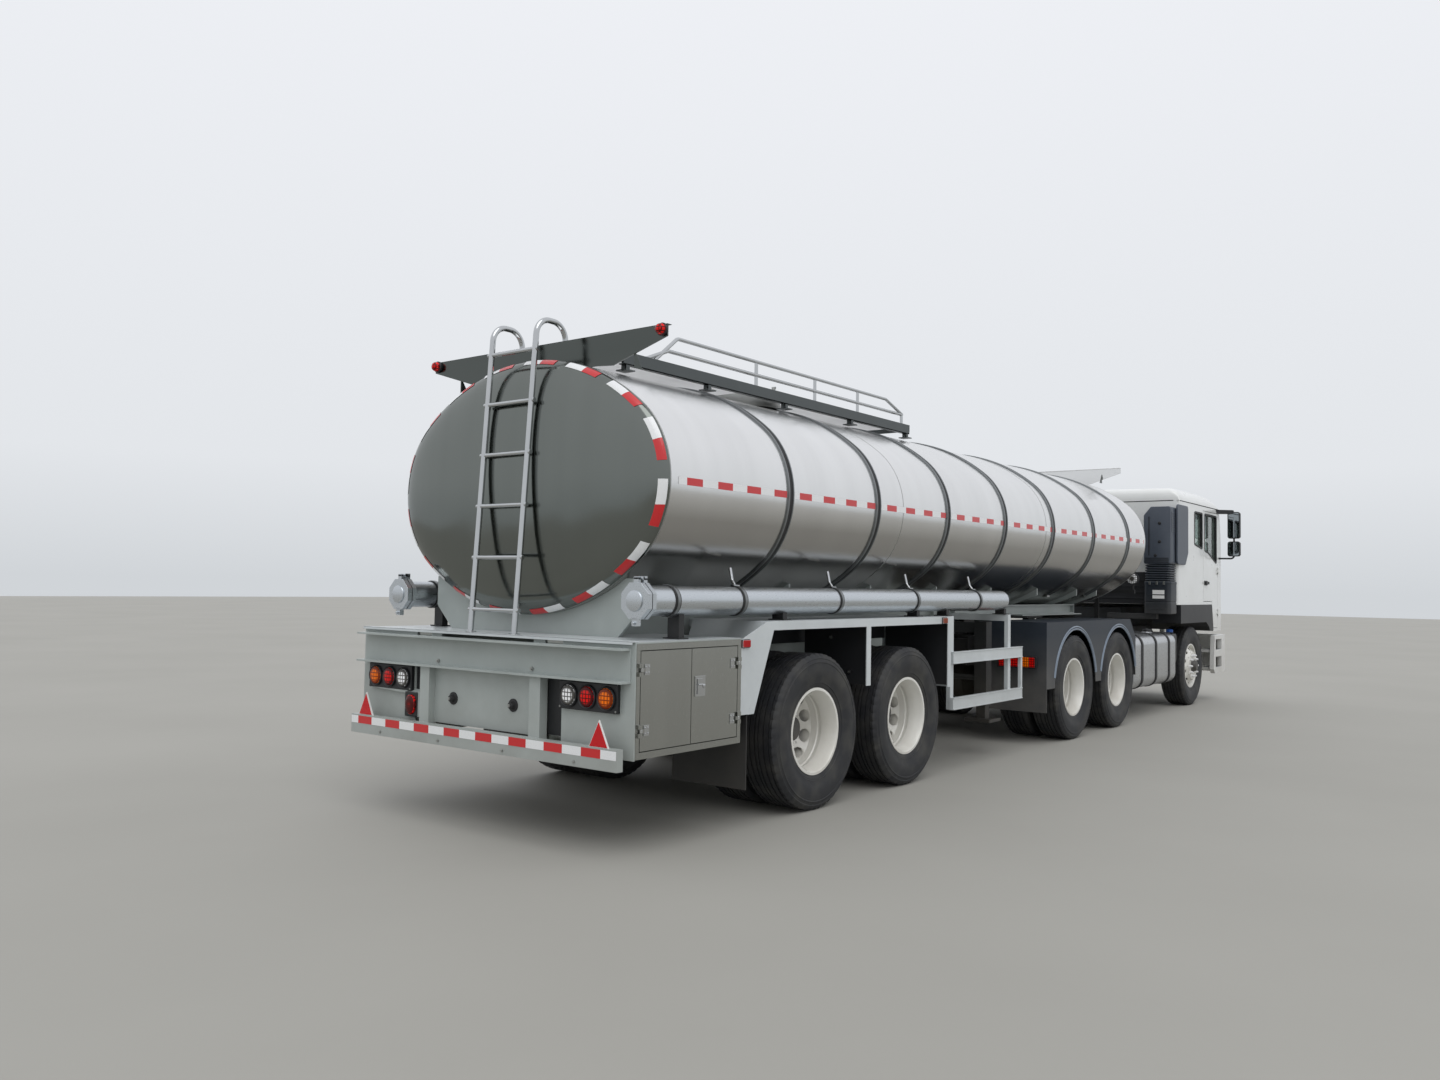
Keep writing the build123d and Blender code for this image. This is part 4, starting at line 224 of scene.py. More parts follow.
def piece(name, parts, *materials, crease=32, outward=True):
    """An object of one mesh from (points, faces) parts; a third entry is the part's material number."""
    mesh = bpy.data.meshes.new(name)
    body = bmesh.new()
    for part in parts:
        made = [body.verts.new(p) for p in part[0]]
        fresh = []
        for face in part[1]:
            corners = [made[i] for i in face]
            if len(set(corners)) > 2:
                fresh.append(body.faces.new(corners))
        if outward:
            bmesh.ops.recalc_face_normals(body, faces=fresh)
        for face in fresh:
            face.material_index = part[2] if len(part) > 2 else 0
            face.smooth = True
    limit = radians(crease)
    for edge in body.edges:
        edge.smooth = len(edge.link_faces) != 2 or edge.calc_face_angle(0) < limit
    body.to_mesh(mesh)
    body.free()
    for material in materials:
        mesh.materials.append(material)
    return add_object(name, mesh)


def dress(made, body, slot, *nodes):
    """Puts a finished piece on its body and hides the plain parts that it stands for; the slot is not used.
    """
    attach(made, body)
    if nodes:
        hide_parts(*nodes)
    return made


def lathe(profile, middle, axis, steps=64, closed=False):
    """A turned part: (along, radius) points swept about an axis through middle."""
    axis = Vector(axis).normalized()
    side = axis.orthogonal().normalized()
    other = axis.cross(side)
    turns = [2 * pi * i / steps for i in range(steps)]
    rings = []
    for along, radius in profile:
        centre, radius = Vector(middle) + axis * along, max(radius, 1e-5)
        rings.append([centre + (side * cos(turn) + other * sin(turn)) * radius for turn in turns])
    return closed_skin(rings) if closed else skin(rings)


def around(middle, half):
    """Two limits at one distance from a middle."""
    return middle - half, middle + half


def across(side, near, far):
    """Two limits across the truck, on its left (1) or its right (-1)."""
    return sorted((side * near, side * far))


def box(x, y, z):
    """A block between two limits along each axis."""
    points = [(a, b, c) for a in x for b in y for c in z]
    return points, [(0, 1, 3, 2), (4, 6, 7, 5), (0, 4, 5, 1), (2, 3, 7, 6), (0, 2, 6, 4), (1, 5, 7, 3)]


def stainless(name, colour, roughness, streak_mm, streak_bump, wave_bump, stretch, film=0.0):
    """Rolled stainless steel: roller streaks along stretch, with the sheet's slow waves under them.

    The film is a painted reflection of the shaded ground that darkens a sheet from the tank's widest line
    down.
    """
    material, tree = new_material(name)
    place = add_node(tree, "ShaderNodeTexCoord").outputs["Object"]
    lay = add_node(tree, "ShaderNodeMapping", {"Scale": stretch}, {"Vector": place})
    streak = add_node(tree, "ShaderNodeTexNoise",
        {"Scale": 1000 / streak_mm, "Detail": 4.0, "Roughness": 0.65}, {"Vector": lay})
    wave = add_node(tree, "ShaderNodeTexNoise", {"Scale": 1.7, "Detail": 1.0}, {"Vector": place})
    stain = add_node(tree, "ShaderNodeTexNoise", {"Scale": 5.0, "Detail": 5.0}, {"Vector": lay})
    rough = add_node(tree, "ShaderNodeMapRange", {"From Min": 0.3, "From Max": 0.7,
        "To Min": roughness * 0.82, "To Max": roughness * 1.18}, {"Value": streak})
    light, dark = srgb(colour), tuple(c * 0.86 for c in srgb(colour)[:3]) + (1.0,)
    tone = add_node(tree, "ShaderNodeMix", {"A": light, "B": dark}, {"Factor": stain}, data_type="RGBA")
    # Below the widest line the tone is pulled towards a ground tone: a painted reflection
    if film:
        axes = add_node(tree, "ShaderNodeSeparateXYZ", links={0: place})
        depth = add_node(tree, "ShaderNodeMapRange", {"From Min": TANK_MID_Z - 0.05,
            "From Max": TANK_MID_Z - 0.22, "To Max": film}, {"Value": axes.outputs["Z"]})
        tone = add_node(tree, "ShaderNodeMix", {"B": srgb(GROUND_REFLECTION_TONE)}, {"Factor": depth, "A": tone},
            data_type="RGBA")
    dents = add_node(tree, "ShaderNodeBump", {"Strength": 1.0, "Distance": wave_bump}, {"Height": wave})
    relief = add_node(tree, "ShaderNodeBump", {"Strength": 0.35, "Distance": streak_bump},
        {"Height": streak, "Normal": dents})
    shader = add_node(tree, "ShaderNodeBsdfPrincipled", {"Metallic": 1.0},
        {"Base Color": tone, "Roughness": rough, "Normal": relief})
    add_node(tree, "ShaderNodeOutputMaterial", links={"Surface": shader})
    return material


# Bright annealed sheet: the rollers' marks run round the barrel, and a painted reflection of the shaded
# ground darkens it low down
barrel_steel = stainless("bright_annealed_stainless", "#EAEAE9", 0.20, 6.0, 0.0004, 0.004,
    (1.0, 0.04, 0.04), 0.55)
# Pressed and buffed heads: nearer a mirror, with slow waves and faint marks across; their colour is darker
# than the barrel's as a painted reflection of darker surroundings
head_steel_painted_reflection = stainless("buffed_stainless_head", "#777B77", 0.13, 4.0, 0.0003, 0.010, (0.3, 1.0, 0.05))

angles = oval_angles(OVAL_STEPS)[:-1]


def head_depth(share):
    """How far a head stands out at a share of the section's size: a soft knuckle and a flat crown."""
    return HEAD_DEPTH * max(0.0, 1 - share ** 2) ** HEAD_CURVE


shares = [0.004, 0.1, 0.2, 0.3, 0.4, 0.5, 0.6, 0.7, 0.78, 0.85, 0.9, 0.935, 0.96, 0.975, 0.985, 0.992,
    0.997, 0.9995]
rear_rings = [[(TANK_X[0] - head_depth(s), *oval_point(a, 0, s)) for a in angles] for s in shares]
front_rings = [[(TANK_X[1] + head_depth(s), *oval_point(a, 0, s)) for a in angles] for s in reversed(shares)]
barrel_xs = [TANK_X[0], TANK_X[0] + 0.012]
barrel_xs += [TANK_X[0] + 0.4 + 0.5083 * i for i in range(17)] + [TANK_X[1] - 0.012, TANK_X[1]]
barrel_rings = [[(x, *oval_point(a)) for a in angles] for x in barrel_xs]
points, faces = skin(rear_rings + barrel_rings + front_rings)
head_faces = len(shares) * OVAL_STEPS
barrel = range(head_faces, head_faces + (len(barrel_xs) - 1) * OVAL_STEPS)
tank_faces = [face for i, face in enumerate(faces) if i in barrel]
end_faces = [face for i, face in enumerate(faces) if i not in barrel]
mesh = bpy.data.meshes.new("tank_shell")
mesh.from_pydata(points, [], tank_faces + end_faces)
mesh.materials.append(barrel_steel)
mesh.materials.append(head_steel_painted_reflection)
for i, polygon in enumerate(mesh.polygons):
    polygon.use_smooth = True
    polygon.material_index = 0 if i < len(tank_faces) else 1
dress(add_object("tank_shell", mesh), "trailer", "stainless", "tank")

# Weld beads where the heads join and where the barrel's sheets join: flat beads, ground and satin
satin_steel = stainless("satin_stainless", "#ABACA9", 0.32, 3.0, 0.0003, 0.001, (1.0, 1.0, 0.2))
weld_parts = []
BEAD = ((-0.006, -0.002), (-0.003, 0.0012), (0.003, 0.0012), (0.006, -0.002))
for x in (TANK_X[0] + 0.004, TANK_X[1] - 0.004, -3.30, -0.36):
    rings = [[(x + dx, *oval_point(a, proud)) for a in angles] for dx, proud in BEAD]
    weld_parts.append(skin(rings, ends=False))
dress(piece("tank_weld_seams", weld_parts, satin_steel, outward=False), "trailer", "stainless")

NECK = ((-0.12, 0.290), (-0.022, 0.290), (-0.020, 0.300), (-0.002, 0.300), (0, 0.298), (0, 0.252),
    (-0.002, 0.250), (-0.107, 0.250), (-0.107, 0.0))
neck_parts = [lathe(NECK, (MANHOLE_X, 0, NECK_TOP_Z), (0, 0, 1), 72)]
for y in (-0.050, 0.050):
    neck_parts += [
        box((-4.092, -4.038), around(y, 0.009), (3.053, 3.074)),
        box((-4.092, -4.068), around(y, 0.009), (3.073, 3.090)),
        lathe(((-0.009, 0.012), (0.009, 0.012)), (LID_HINGE_X, y, LID_HINGE_Z), (0, 1, 0), 24),
    ]
neck_parts.append(lathe(((-0.058, 0.006), (0.058, 0.006)), (LID_HINGE_X, 0, LID_HINGE_Z), (0, 1, 0), 20))
dress(piece("manhole_neck", neck_parts, satin_steel), "trailer", "stainless")

# Reflective tape: red and white blocks of prismatic sheeting, along each side and round the rear head.
# Each block is 150 mm long and 45 mm wide, under a clear film with a fine honeycomb.
TAPE_BLOCK = 0.150
TAPE_HALF = 0.0225


def tape_material(name, block):
    """Prismatic tape whose red and white blocks follow the strip's own length."""
    material, tree = new_material(name)
    along = add_node(tree, "ShaderNodeUVMap", uv_map="strip")
    split = add_node(tree, "ShaderNodeSeparateXYZ", links={0: along.outputs[0]})
    phase = add_node(tree, "ShaderNodeMath", {1: 1 / (2 * block)}, {0: split.outputs["X"]},
        operation="MULTIPLY")
    part = add_node(tree, "ShaderNodeMath", links={0: phase.outputs[0]}, operation="FRACT")
    red = add_node(tree, "ShaderNodeMath", {1: 0.5}, {0: part.outputs[0]}, operation="GREATER_THAN")
    comb = add_node(tree, "ShaderNodeTexVoronoi", {"Scale": 220.0}, {"Vector": along.outputs[0]},
        feature="DISTANCE_TO_EDGE")
    film = add_node(tree, "ShaderNodeMapRange", {"From Max": 0.12, "To Min": 0.86, "To Max": 1.0},
        {"Value": comb.outputs["Distance"]})
    tone = add_node(tree, "ShaderNodeMix", {"A": srgb("#EDEEEE"), "B": srgb("#CC1219")}, {"Factor": red},
        data_type="RGBA")
    shade = add_node(tree, "ShaderNodeMix", {"Factor": 1.0}, {"A": tone, "B": film.outputs[0]},
        data_type="RGBA", blend_type="MULTIPLY")
    shader = add_node(tree, "ShaderNodeBsdfPrincipled",
        {"Roughness": 0.32, "Coat Weight": 0.5, "Coat Roughness": 0.1}, {"Base Color": shade})
    add_node(tree, "ShaderNodeOutputMaterial", links={"Surface": shader})
    return material


def strip(name, rows, starts, material):
    """Thin strips, each from two edges of points; its map runs along it in metres from its start."""
    mesh = bpy.data.meshes.new(name)
    points, faces, coordinates = [], [], []
    for (low, high), start in zip(rows, starts):
        base = len(points)
        points += [p for pair in zip(low, high) for p in pair]
        length = start
        for i in range(len(low) - 1):
            step = (Vector(low[i + 1]) - Vector(low[i]) + Vector(high[i + 1]) - Vector(high[i])).length / 2
            k = base + 2 * i
            faces.append((k, k + 2, k + 3, k + 1))
            coordinates += [(length, 0), (length + step, 0), (length + step, 2 * TAPE_HALF),
                (length, 2 * TAPE_HALF)]
            length += step
    mesh.from_pydata(points, [], faces)
    layer = mesh.uv_layers.new(name="strip")
    for loop, place in zip(layer.data, coordinates):
        loop.uv = place
    mesh.materials.append(material)
    return add_object(name, mesh)


# Prismatic sheeting laminated under a clear film: clean red and white that throw the light back
tape = tape_material("prismatic_tape", TAPE_BLOCK)
BAND_XS = [-4.870 + 1.173 * i for i in range(7)]
BAND_HALF = 0.030
side_rows, side_starts = [], []
gaps = [TANK_X[0] + 0.03] + BAND_XS + [TANK_X[1] - 0.02]
for side in (-1, 1):
    for rear, front in zip(gaps, gaps[1:]):
        run = (rear + BAND_HALF + 0.012, front - BAND_HALF - 0.012)
        proud = side * (TANK_HALF[0] + 0.0012)
        low = [(x, proud, TANK_MID_Z - TAPE_HALF) for x in run]
        high = [(x, proud, TANK_MID_Z + TAPE_HALF) for x in run]
        side_rows.append((low, high) if side < 0 else (low[::-1], high[::-1]))
        side_starts.append(run[0] - TANK_X[0])
dress(strip("tape_sides", side_rows, side_starts, tape), "trailer", "white_paint")

HEAD_PIECES = 16
HEAD_PIECE_STEPS = 25
HEAD_PIECE_SHARE = 0.72
fine_angles = oval_angles(HEAD_PIECES * HEAD_PIECE_STEPS)
HEAD_TAPE_SHARES = (0.997, 0.9935, 0.988, 0.980, 0.970, 0.958)
head_rows = []
for k in range(HEAD_PIECES):
    first = HEAD_PIECE_STEPS * k
    run = fine_angles[first:first + int(HEAD_PIECE_STEPS * HEAD_PIECE_SHARE) + 1]
    for low, high in zip(HEAD_TAPE_SHARES, HEAD_TAPE_SHARES[1:]):
        head_rows.append([[(TANK_X[0] - head_depth(share) - 0.0016, *oval_point(a, 0.0020, share))
                for a in run] for share in (low, high)])
dress(strip("tape_rear_head", head_rows, [0.0] * len(head_rows), tape), "trailer", "white_paint")

# Bands: seven straps over the barrel, each a black rubber strip between two thin bright edges.
# Their ends come down to small angled brackets on the frame's saddles, where a bolt draws them tight.
BAND_PROUD = 0.011
BAND_END_Z = 1.482


def painted(name, colour, worn, roughness, speck_mm, bump, coat=0.0, soil=None, soil_top=0.0, soil_low=0.0):
    """Sprayed paint: orange peel, slow changes of tone, and road dirt that thins with height."""
    material, tree = new_material(name)
    place = add_node(tree, "ShaderNodeTexCoord").outputs["Object"]
    peel = add_node(tree, "ShaderNodeTexNoise", {"Scale": 1000 / speck_mm, "Detail": 2.0}, {"Vector": place})
    patch = add_node(tree, "ShaderNodeTexNoise", {"Scale": 2.3, "Detail": 6.0, "Roughness": 0.6},
        {"Vector": place})
    spread = add_node(tree, "ShaderNodeMapRange", {"From Min": 0.35, "From Max": 0.68}, {"Value": patch})
    tone = add_node(tree, "ShaderNodeMix", {"A": srgb(colour), "B": srgb(worn)}, {"Factor": spread},
        data_type="RGBA")
    if soil:
        height = add_node(tree, "ShaderNodeSeparateXYZ", links={0: place})
        low = add_node(tree, "ShaderNodeMapRange", {"From Min": soil_low, "From Max": soil_top,
            "To Min": 0.75, "To Max": 0.0}, {"Value": height.outputs["Z"]})
        dust = add_node(tree, "ShaderNodeMath", links={0: low, 1: patch}, operation="MULTIPLY")
        tone = add_node(tree, "ShaderNodeMix", {"B": srgb(soil)}, {"Factor": dust, "A": tone},
            data_type="RGBA")
    rough = add_node(tree, "ShaderNodeMapRange", {"To Min": roughness * 0.85, "To Max": roughness * 1.2},
        {"Value": patch})
    relief = add_node(tree, "ShaderNodeBump", {"Strength": 0.5, "Distance": bump}, {"Height": peel})
    shader = add_node(tree, "ShaderNodeBsdfPrincipled", {"Coat Weight": coat, "Coat Roughness": 0.08},
        {"Base Color": tone, "Roughness": rough, "Normal": relief})
    add_node(tree, "ShaderNodeOutputMaterial", links={"Surface": shader})
    return material


# EPDM rubber liner, extruded: matt black, a little grey where it has dusted over
band_rubber = painted("epdm_liner", "#1B1B1C", "#29292A", 0.6, 2.0, 0.0004)
# Galvanised steel edging, rolled thin and dulled by weather: a grey line on both sides of the rubber
band_edge = stainless("galvanised_edge", "#8D9091", 0.38, 2.0, 0.0003, 0.0, (1.0, 1.0, 1.0))

half_turn = 0
while oval_point(-half_turn)[1] > BAND_END_Z and half_turn < pi / 2:
    half_turn += 0.002
band_angles = oval_angles(150, -half_turn, pi + 2 * half_turn)
EDGE = ((-0.030, 0.0005), (-0.030, BAND_PROUD), (-0.029, BAND_PROUD + 0.002), (-0.021, BAND_PROUD + 0.002),
    (-0.020, BAND_PROUD), (-0.020, 0.0005))
LINER = ((-0.0205, 0.0006), (-0.0205, 0.0065), (-0.016, 0.0085), (0.016, 0.0085), (0.0205, 0.0065),
    (0.0205, 0.0006))


def band_run(x, section):
    """A section of (along, proud) points carried over the barrel at x."""
    return skin([[(x + dx, *oval_point(a, proud)) for dx, proud in section] for a in band_angles])


edge_parts, liner_parts, bracket_parts = [], [], []
for x in BAND_XS:
    edge_parts += [band_run(x, EDGE), band_run(x, [(-dx, proud) for dx, proud in reversed(EDGE)])]
    liner_parts.append(band_run(x, LINER))
    for side in (-1, 1):
        y, z = oval_point(-half_turn if side > 0 else pi + half_turn, BAND_PROUD)
        bracket_parts += [
            box(around(x, 0.038), sorted((y - side * 0.004, y + side * 0.012)), (z - 0.004, z + 0.060)),
            box(around(x, 0.038), sorted((y - side * 0.085, y + side * 0.012)), (z - 0.012, z - 0.002)),
            lathe(((0, 0.012), (0.012, 0.012), (0.014, 0.010)), (x, y + side * 0.010, z + 0.030),
                (0, side, 0), 6),
        ]
dress(piece("tank_bands_edges", edge_parts, band_edge), "trailer", "dark_band", "tank_bands")
dress(piece("tank_bands_liner", liner_parts, band_rubber), "trailer", "dark_band")
dress(piece("tank_band_brackets", bracket_parts, satin_steel), "trailer", "stainless")

# Brow plates: bent stainless sheets that stand across the tank's two ends and keep spray off the walkway.
# The rear one carries a red marker lamp at each tip, on a black rubber base.


def laid(outline, axis, value):
    """The points of a two-number outline, set at a value of the third axis."""
    order = {"x": (2, 0, 1), "y": (0, 2, 1), "z": (0, 1, 2)}[axis]
    return [tuple((*p, value)[k] for k in order) for p in outline]


def prism(outline, axis, low, high):
    """A flat plate: an outline of two-number points, pushed between two values of the third axis."""
    return skin([laid(outline, axis, value) for value in (low, high)])


def barrel_top(y):
    """The height of the tank's top surface, close to this distance from its middle."""
    return oval_point(atan2(1.0, y / 2.1))[1]


def strap(half, low, high, middle, steps=48):
    """A flat ring round a bar along X, between two radii."""
    return lathe(((-half, low), (-half, high), (half, high), (half, low)), middle, (1, 0, 0), steps, True)


def soften(made, width, segments=2, angle=30):
    """Rounds a piece's sharp edges as folding, casting or paint leaves them."""
    bevel = made.modifiers.new("rounded edges", "BEVEL")
    bevel.width = width
    bevel.segments = segments
    bevel.limit_method = "ANGLE"
    bevel.angle_limit = radians(angle)
    bevel.harden_normals = True
    return made


# Cold-rolled stainless sheet, bent on a press: a smooth face that mirrors what is low, its colour darkened as
# a painted reflection of it
brow_steel_painted_reflection = stainless("rolled_stainless_brow", "#5A5E5B", 0.12, 4.0, 0.0002, 0.003, (1.0, 0.1, 1.0))
REAR_BROW = ((-1.090, 3.086), (-1.090, 3.010), (-0.650, 2.880), (-0.500, 2.890), (0.500, 2.890),
    (0.650, 2.880), (1.090, 3.010), (1.090, 3.086))
FRONT_BROW = ((-0.930, 3.055), (-0.930, 2.990), (-0.560, 2.870), (0.560, 2.870), (0.930, 2.990),
    (0.930, 3.055))
# The rear brow takes the darkened steel, a painted reflection; the front brow takes the barrel's bright steel
brow_parts = [
    prism(REAR_BROW, "x", -6.0155, -6.0045),
    (*prism(FRONT_BROW, "x", 2.7785, 2.7895), 1),
    box((-6.0155, -5.975), (-1.090, 1.090), (3.082, 3.086)),
]
brow_parts.append((*box((2.750, 2.7895), (-0.930, 0.930), (3.051, 3.055)), 1))
for x, spread in ((-6.004, (-0.82, -0.42, 0.42, 0.82)), (2.776, (-0.70, 0.70))):
    for y in spread:
        lower = barrel_top(y) - 0.004
        brow_parts.append(prism(((x, lower), (x + (0.07 if x < 0 else -0.07), lower), (x, lower + 0.11)),
            "y", y - 0.004, y + 0.004))
dress(soften(piece("brow_plates", brow_parts, brow_steel_painted_reflection, barrel_steel), 0.0015), "trailer", "stainless")


def lens_material(name, colour, deep, cell_mm):
    """Moulded acrylic lamp lens: glossy, with rows of small square prisms in its inner face."""
    material, tree = new_material(name)
    place = add_node(tree, "ShaderNodeTexCoord").outputs["Object"]
    cells = add_node(tree, "ShaderNodeTexVoronoi", {"Scale": 1000 / cell_mm, "Randomness": 0.0},
        {"Vector": place}, distance="CHEBYCHEV")
    spot = add_node(tree, "ShaderNodeMapRange", {"From Min": 0.33, "From Max": 0.42},
        {"Value": cells.outputs["Distance"]})
    tone = add_node(tree, "ShaderNodeMix", {"A": srgb(colour), "B": srgb(deep)}, {"Factor": spot},
        data_type="RGBA")
    relief = add_node(tree, "ShaderNodeBump", {"Strength": 0.4, "Distance": 0.001}, {"Height": spot})
    shader = add_node(tree, "ShaderNodeBsdfPrincipled", {"Roughness": 0.12, "Specular IOR Level": 0.25},
        {"Base Color": tone, "Normal": relief})
    add_node(tree, "ShaderNodeOutputMaterial", links={"Surface": shader})
    return material


# Injection-moulded red acrylic: glossy, with a grid of prisms that sparkles in daylight
red_lens = lens_material("red_acrylic_lens", "#E8130C", "#4A0506", 24.0)
# The same acrylic coloured amber, with its grid showing brown
amber_lens = lens_material("amber_acrylic_lens", "#FF7A08", "#7A2A02", 24.0)
# The same acrylic left clear, with its grid showing grey
clear_lens = lens_material("clear_acrylic_lens", "#FFFFFF", "#4E4C48", 24.0)
# Pressed reflector plastic, a much finer grid under its face: an even, lively red
red_reflector = lens_material("red_prism_reflector", "#DC1B22", "#A80D14", 4.0)
# Injection-moulded black ABS: an even black with a fine grain and a low sheen
black_abs = painted("moulded_black_abs", "#17181A", "#222326", 0.45, 1.6, 0.0003)

dome_parts, base_parts = [], []
for side in (-1, 1):
    place = (-6.0155, side * 1.055, 3.052)
    base_parts.append(lathe(((0.0, 0.040), (-0.012, 0.040), (-0.016, 0.036)), place, (1, 0, 0), 40))
    dome_parts.append(lathe(((-0.012, 0.034), (-0.030, 0.033), (-0.044, 0.027), (-0.052, 0.016),
            (-0.055, 0.0)), place, (1, 0, 0), 40))
dress(piece("brow_lamp_bases", base_parts, black_abs), "trailer", "black_plastic")
dress(piece("brow_lamp_domes", dome_parts, red_lens), "trailer", "black_plastic")

# Manhole lid: a pressed, dished stainless cover with a rolled rim, hinged at the rear.
# Six swing bolts with wing nuts hold it down, and a lifting handle stands in front.
LID = ((0.0003, 0.0), (0.0003, 0.298), (0.004, 0.302), (0.018, 0.300), (0.024, 0.285), (0.030, 0.240),
    (0.043, 0.150), (0.046, 0.060), (0.046, 0.0))
lid_parts = [
    lathe(LID, (MANHOLE_X, 0, NECK_TOP_Z), (0, 0, 1), 72),
    box((-4.080, -4.030), (-0.038, 0.038), (3.081, 3.099)),
    lathe(((-0.038, 0.012), (0.038, 0.012)), (LID_HINGE_X, 0, LID_HINGE_Z), (0, 1, 0), 24),
]


def rounded_path(points, radius, steps=7):
    """Straight runs through points with an arc of that radius at each corner."""
    points = [Vector(p) for p in points]
    path = [points[0]]
    for before, corner, after in zip(points, points[1:], points[2:]):
        back, on = (before - corner).normalized(), (after - corner).normalized()
        half_angle = back.angle(on) / 2
        wanted = 0
        if half_angle < pi / 2 - 1e-4:
            wanted = radius / max(1e-6, abs(sin(half_angle) / cos(half_angle)))
        reach = min(wanted, (before - corner).length * 0.49, (after - corner).length * 0.49)
        if reach < 1e-5:
            path.append(corner)
            continue
        size = reach * sin(half_angle) / cos(half_angle)
        middle = corner + (back + on).normalized() * (size / sin(half_angle))
        start, end = corner + back * reach - middle, corner + on * reach - middle
        for i in range(steps + 1):
            path.append(middle + start.slerp(end, i / steps, start) * size)
    path.append(points[-1])
    return path


def tube(points, radius, sides=14, ends=True):
    """A round bar along a path."""
    points = [Vector(p) for p in points]
    along = [(b - a).normalized() for a, b in zip(points, points[1:])]
    tangents = [along[0]] + [(a + b).normalized() for a, b in zip(along, along[1:])] + [along[-1]]
    side = tangents[0].orthogonal().normalized()
    rings = []
    for point, tangent in zip(points, tangents):
        side = (side - tangent * side.dot(tangent)).normalized()
        other = tangent.cross(side)
        rings.append([point + (side * cos(2 * pi * i / sides) + other * sin(2 * pi * i / sides)) * radius
            for i in range(sides)])
    return skin(rings, ends=ends)


lid_parts.append(tube(rounded_path(((-3.66, -0.07, 3.112), (-3.66, -0.07, 3.150), (-3.66, 0.07, 3.150),
        (-3.66, 0.07, 3.112)), 0.02), 0.006, 10))
for i in range(6):
    turn = radians(30 + 60 * i)
    foot = (MANHOLE_X + 0.288 * cos(turn), 0.288 * sin(turn), NECK_TOP_Z + 0.016)
    lid_parts += [
        lathe(((0, 0.012), (0.012, 0.012), (0.016, 0.008), (0.030, 0.006)), foot, (0, 0, 1), 12),
        box((foot[0] - 0.005, foot[0] + 0.005), (foot[1] - 0.018, foot[1] + 0.018),
            (foot[2] + 0.012, foot[2] + 0.032)),
    ]
dress(piece("manhole_lid_dressed", lid_parts, satin_steel), "manhole_lid", "stainless", "manhole_lid")

# Ladder: two bright tubes that bend forward over the head, with round rungs pushed through them.
# Each is drawn stainless tube, and stands on a round foot plate welded to the rear deck.
LADDER_YS = (-0.190, 0.220)
LADDER_FOOT_X, LADDER_TOP_X = -6.360, -6.228
LADDER_TOP_Z = 3.200
DECK_TOP_Z = 1.203
# Drawn stainless tube, polished on a belt: close to a mirror, with hardly a mark
bright_tube = stainless("polished_stainless_tube", "#C3C5C6", 0.09, 2.0, 0.0001, 0.0, (1.0, 1.0, 1.0))
ladder_parts = []
for y in LADDER_YS:
    path = rounded_path(((LADDER_FOOT_X, y, DECK_TOP_Z + 0.0005), (LADDER_TOP_X, y, LADDER_TOP_Z),
        (-5.980, y, LADDER_TOP_Z), (-5.980, y, 2.900)), 0.110, 14)
    ladder_parts += [
        tube(path, 0.019, 24),
        lathe(((0, 0.038), (0.005, 0.038), (0.006, 0.036)), (LADDER_FOOT_X, y, DECK_TOP_Z + 0.0005),
            (0, 0, 1), 32),
    ]
for step in range(6):
    z = 1.350 + 0.330 * step
    x = LADDER_FOOT_X + (LADDER_TOP_X - LADDER_FOOT_X) * (z - DECK_TOP_Z) / (LADDER_TOP_Z - DECK_TOP_Z)
    ladder_parts.append(tube(((x, LADDER_YS[0] - 0.030, z), (x, LADDER_YS[0] - 0.028, z),
            (x, LADDER_YS[1] + 0.028, z), (x, LADDER_YS[1] + 0.030, z)), 0.014, 20))
dress(piece("ladder", ladder_parts, bright_tube), "trailer", "polished_aluminium", "ladder_walkway")

# Walkway: galvanised grating in a deep angle frame along the tank's top, on short posts.
# A low two-bar handrail runs along each side, sloping down at its front end.
WALKWAY_X = (-5.700, -1.780)
WALKWAY_Y = 0.450
WALKWAY_Z = (3.020, 3.050)
HANDRAIL_Y = 0.380
HANDRAIL_Z = 3.254
# Extruded aluminium, coloured dark grey, with a little sheen
walk_alloy = stainless("dark_walkway_alloy", "#5F6363", 0.36, 14.0, 0.0004, 0.0, (1.0, 1.0, 1.0))
# Hot-dip galvanised steel: a matt zinc skin, softly clouded
galvanised = stainless("galvanised_steel", "#A3A7AA", 0.42, 14.0, 0.0004, 0.0, (1.0, 1.0, 1.0))
walk_parts = []
for side in (-1, 1):
    walk_parts += [
        box(WALKWAY_X, across(side, WALKWAY_Y, WALKWAY_Y - 0.006), (2.966, WALKWAY_Z[1])),
        box(WALKWAY_X, across(side, WALKWAY_Y, WALKWAY_Y - 0.045), (2.966, 2.972)),
    ]
for x in WALKWAY_X:
    walk_parts.append(box(around(x, 0.003), (-WALKWAY_Y, WALKWAY_Y), (2.990, WALKWAY_Z[1])))
for x in (-5.660, -4.790, -3.810, -2.810, -1.820):
    for side in (-1, 1):
        y = side * (WALKWAY_Y - 0.022)
        low = barrel_top(y) - 0.003
        walk_parts += [
            box(around(x, 0.020), (y - 0.020, y - 0.015), (low, 3.03)),
            box((x - 0.020, x - 0.015), around(y, 0.020), (low, 3.03)),
            box(around(x, 0.045), around(y, 0.045), (low, low + 0.008)),
        ]
dress(piece("walkway_frame", walk_parts, walk_alloy), "trailer", "polished_aluminium")

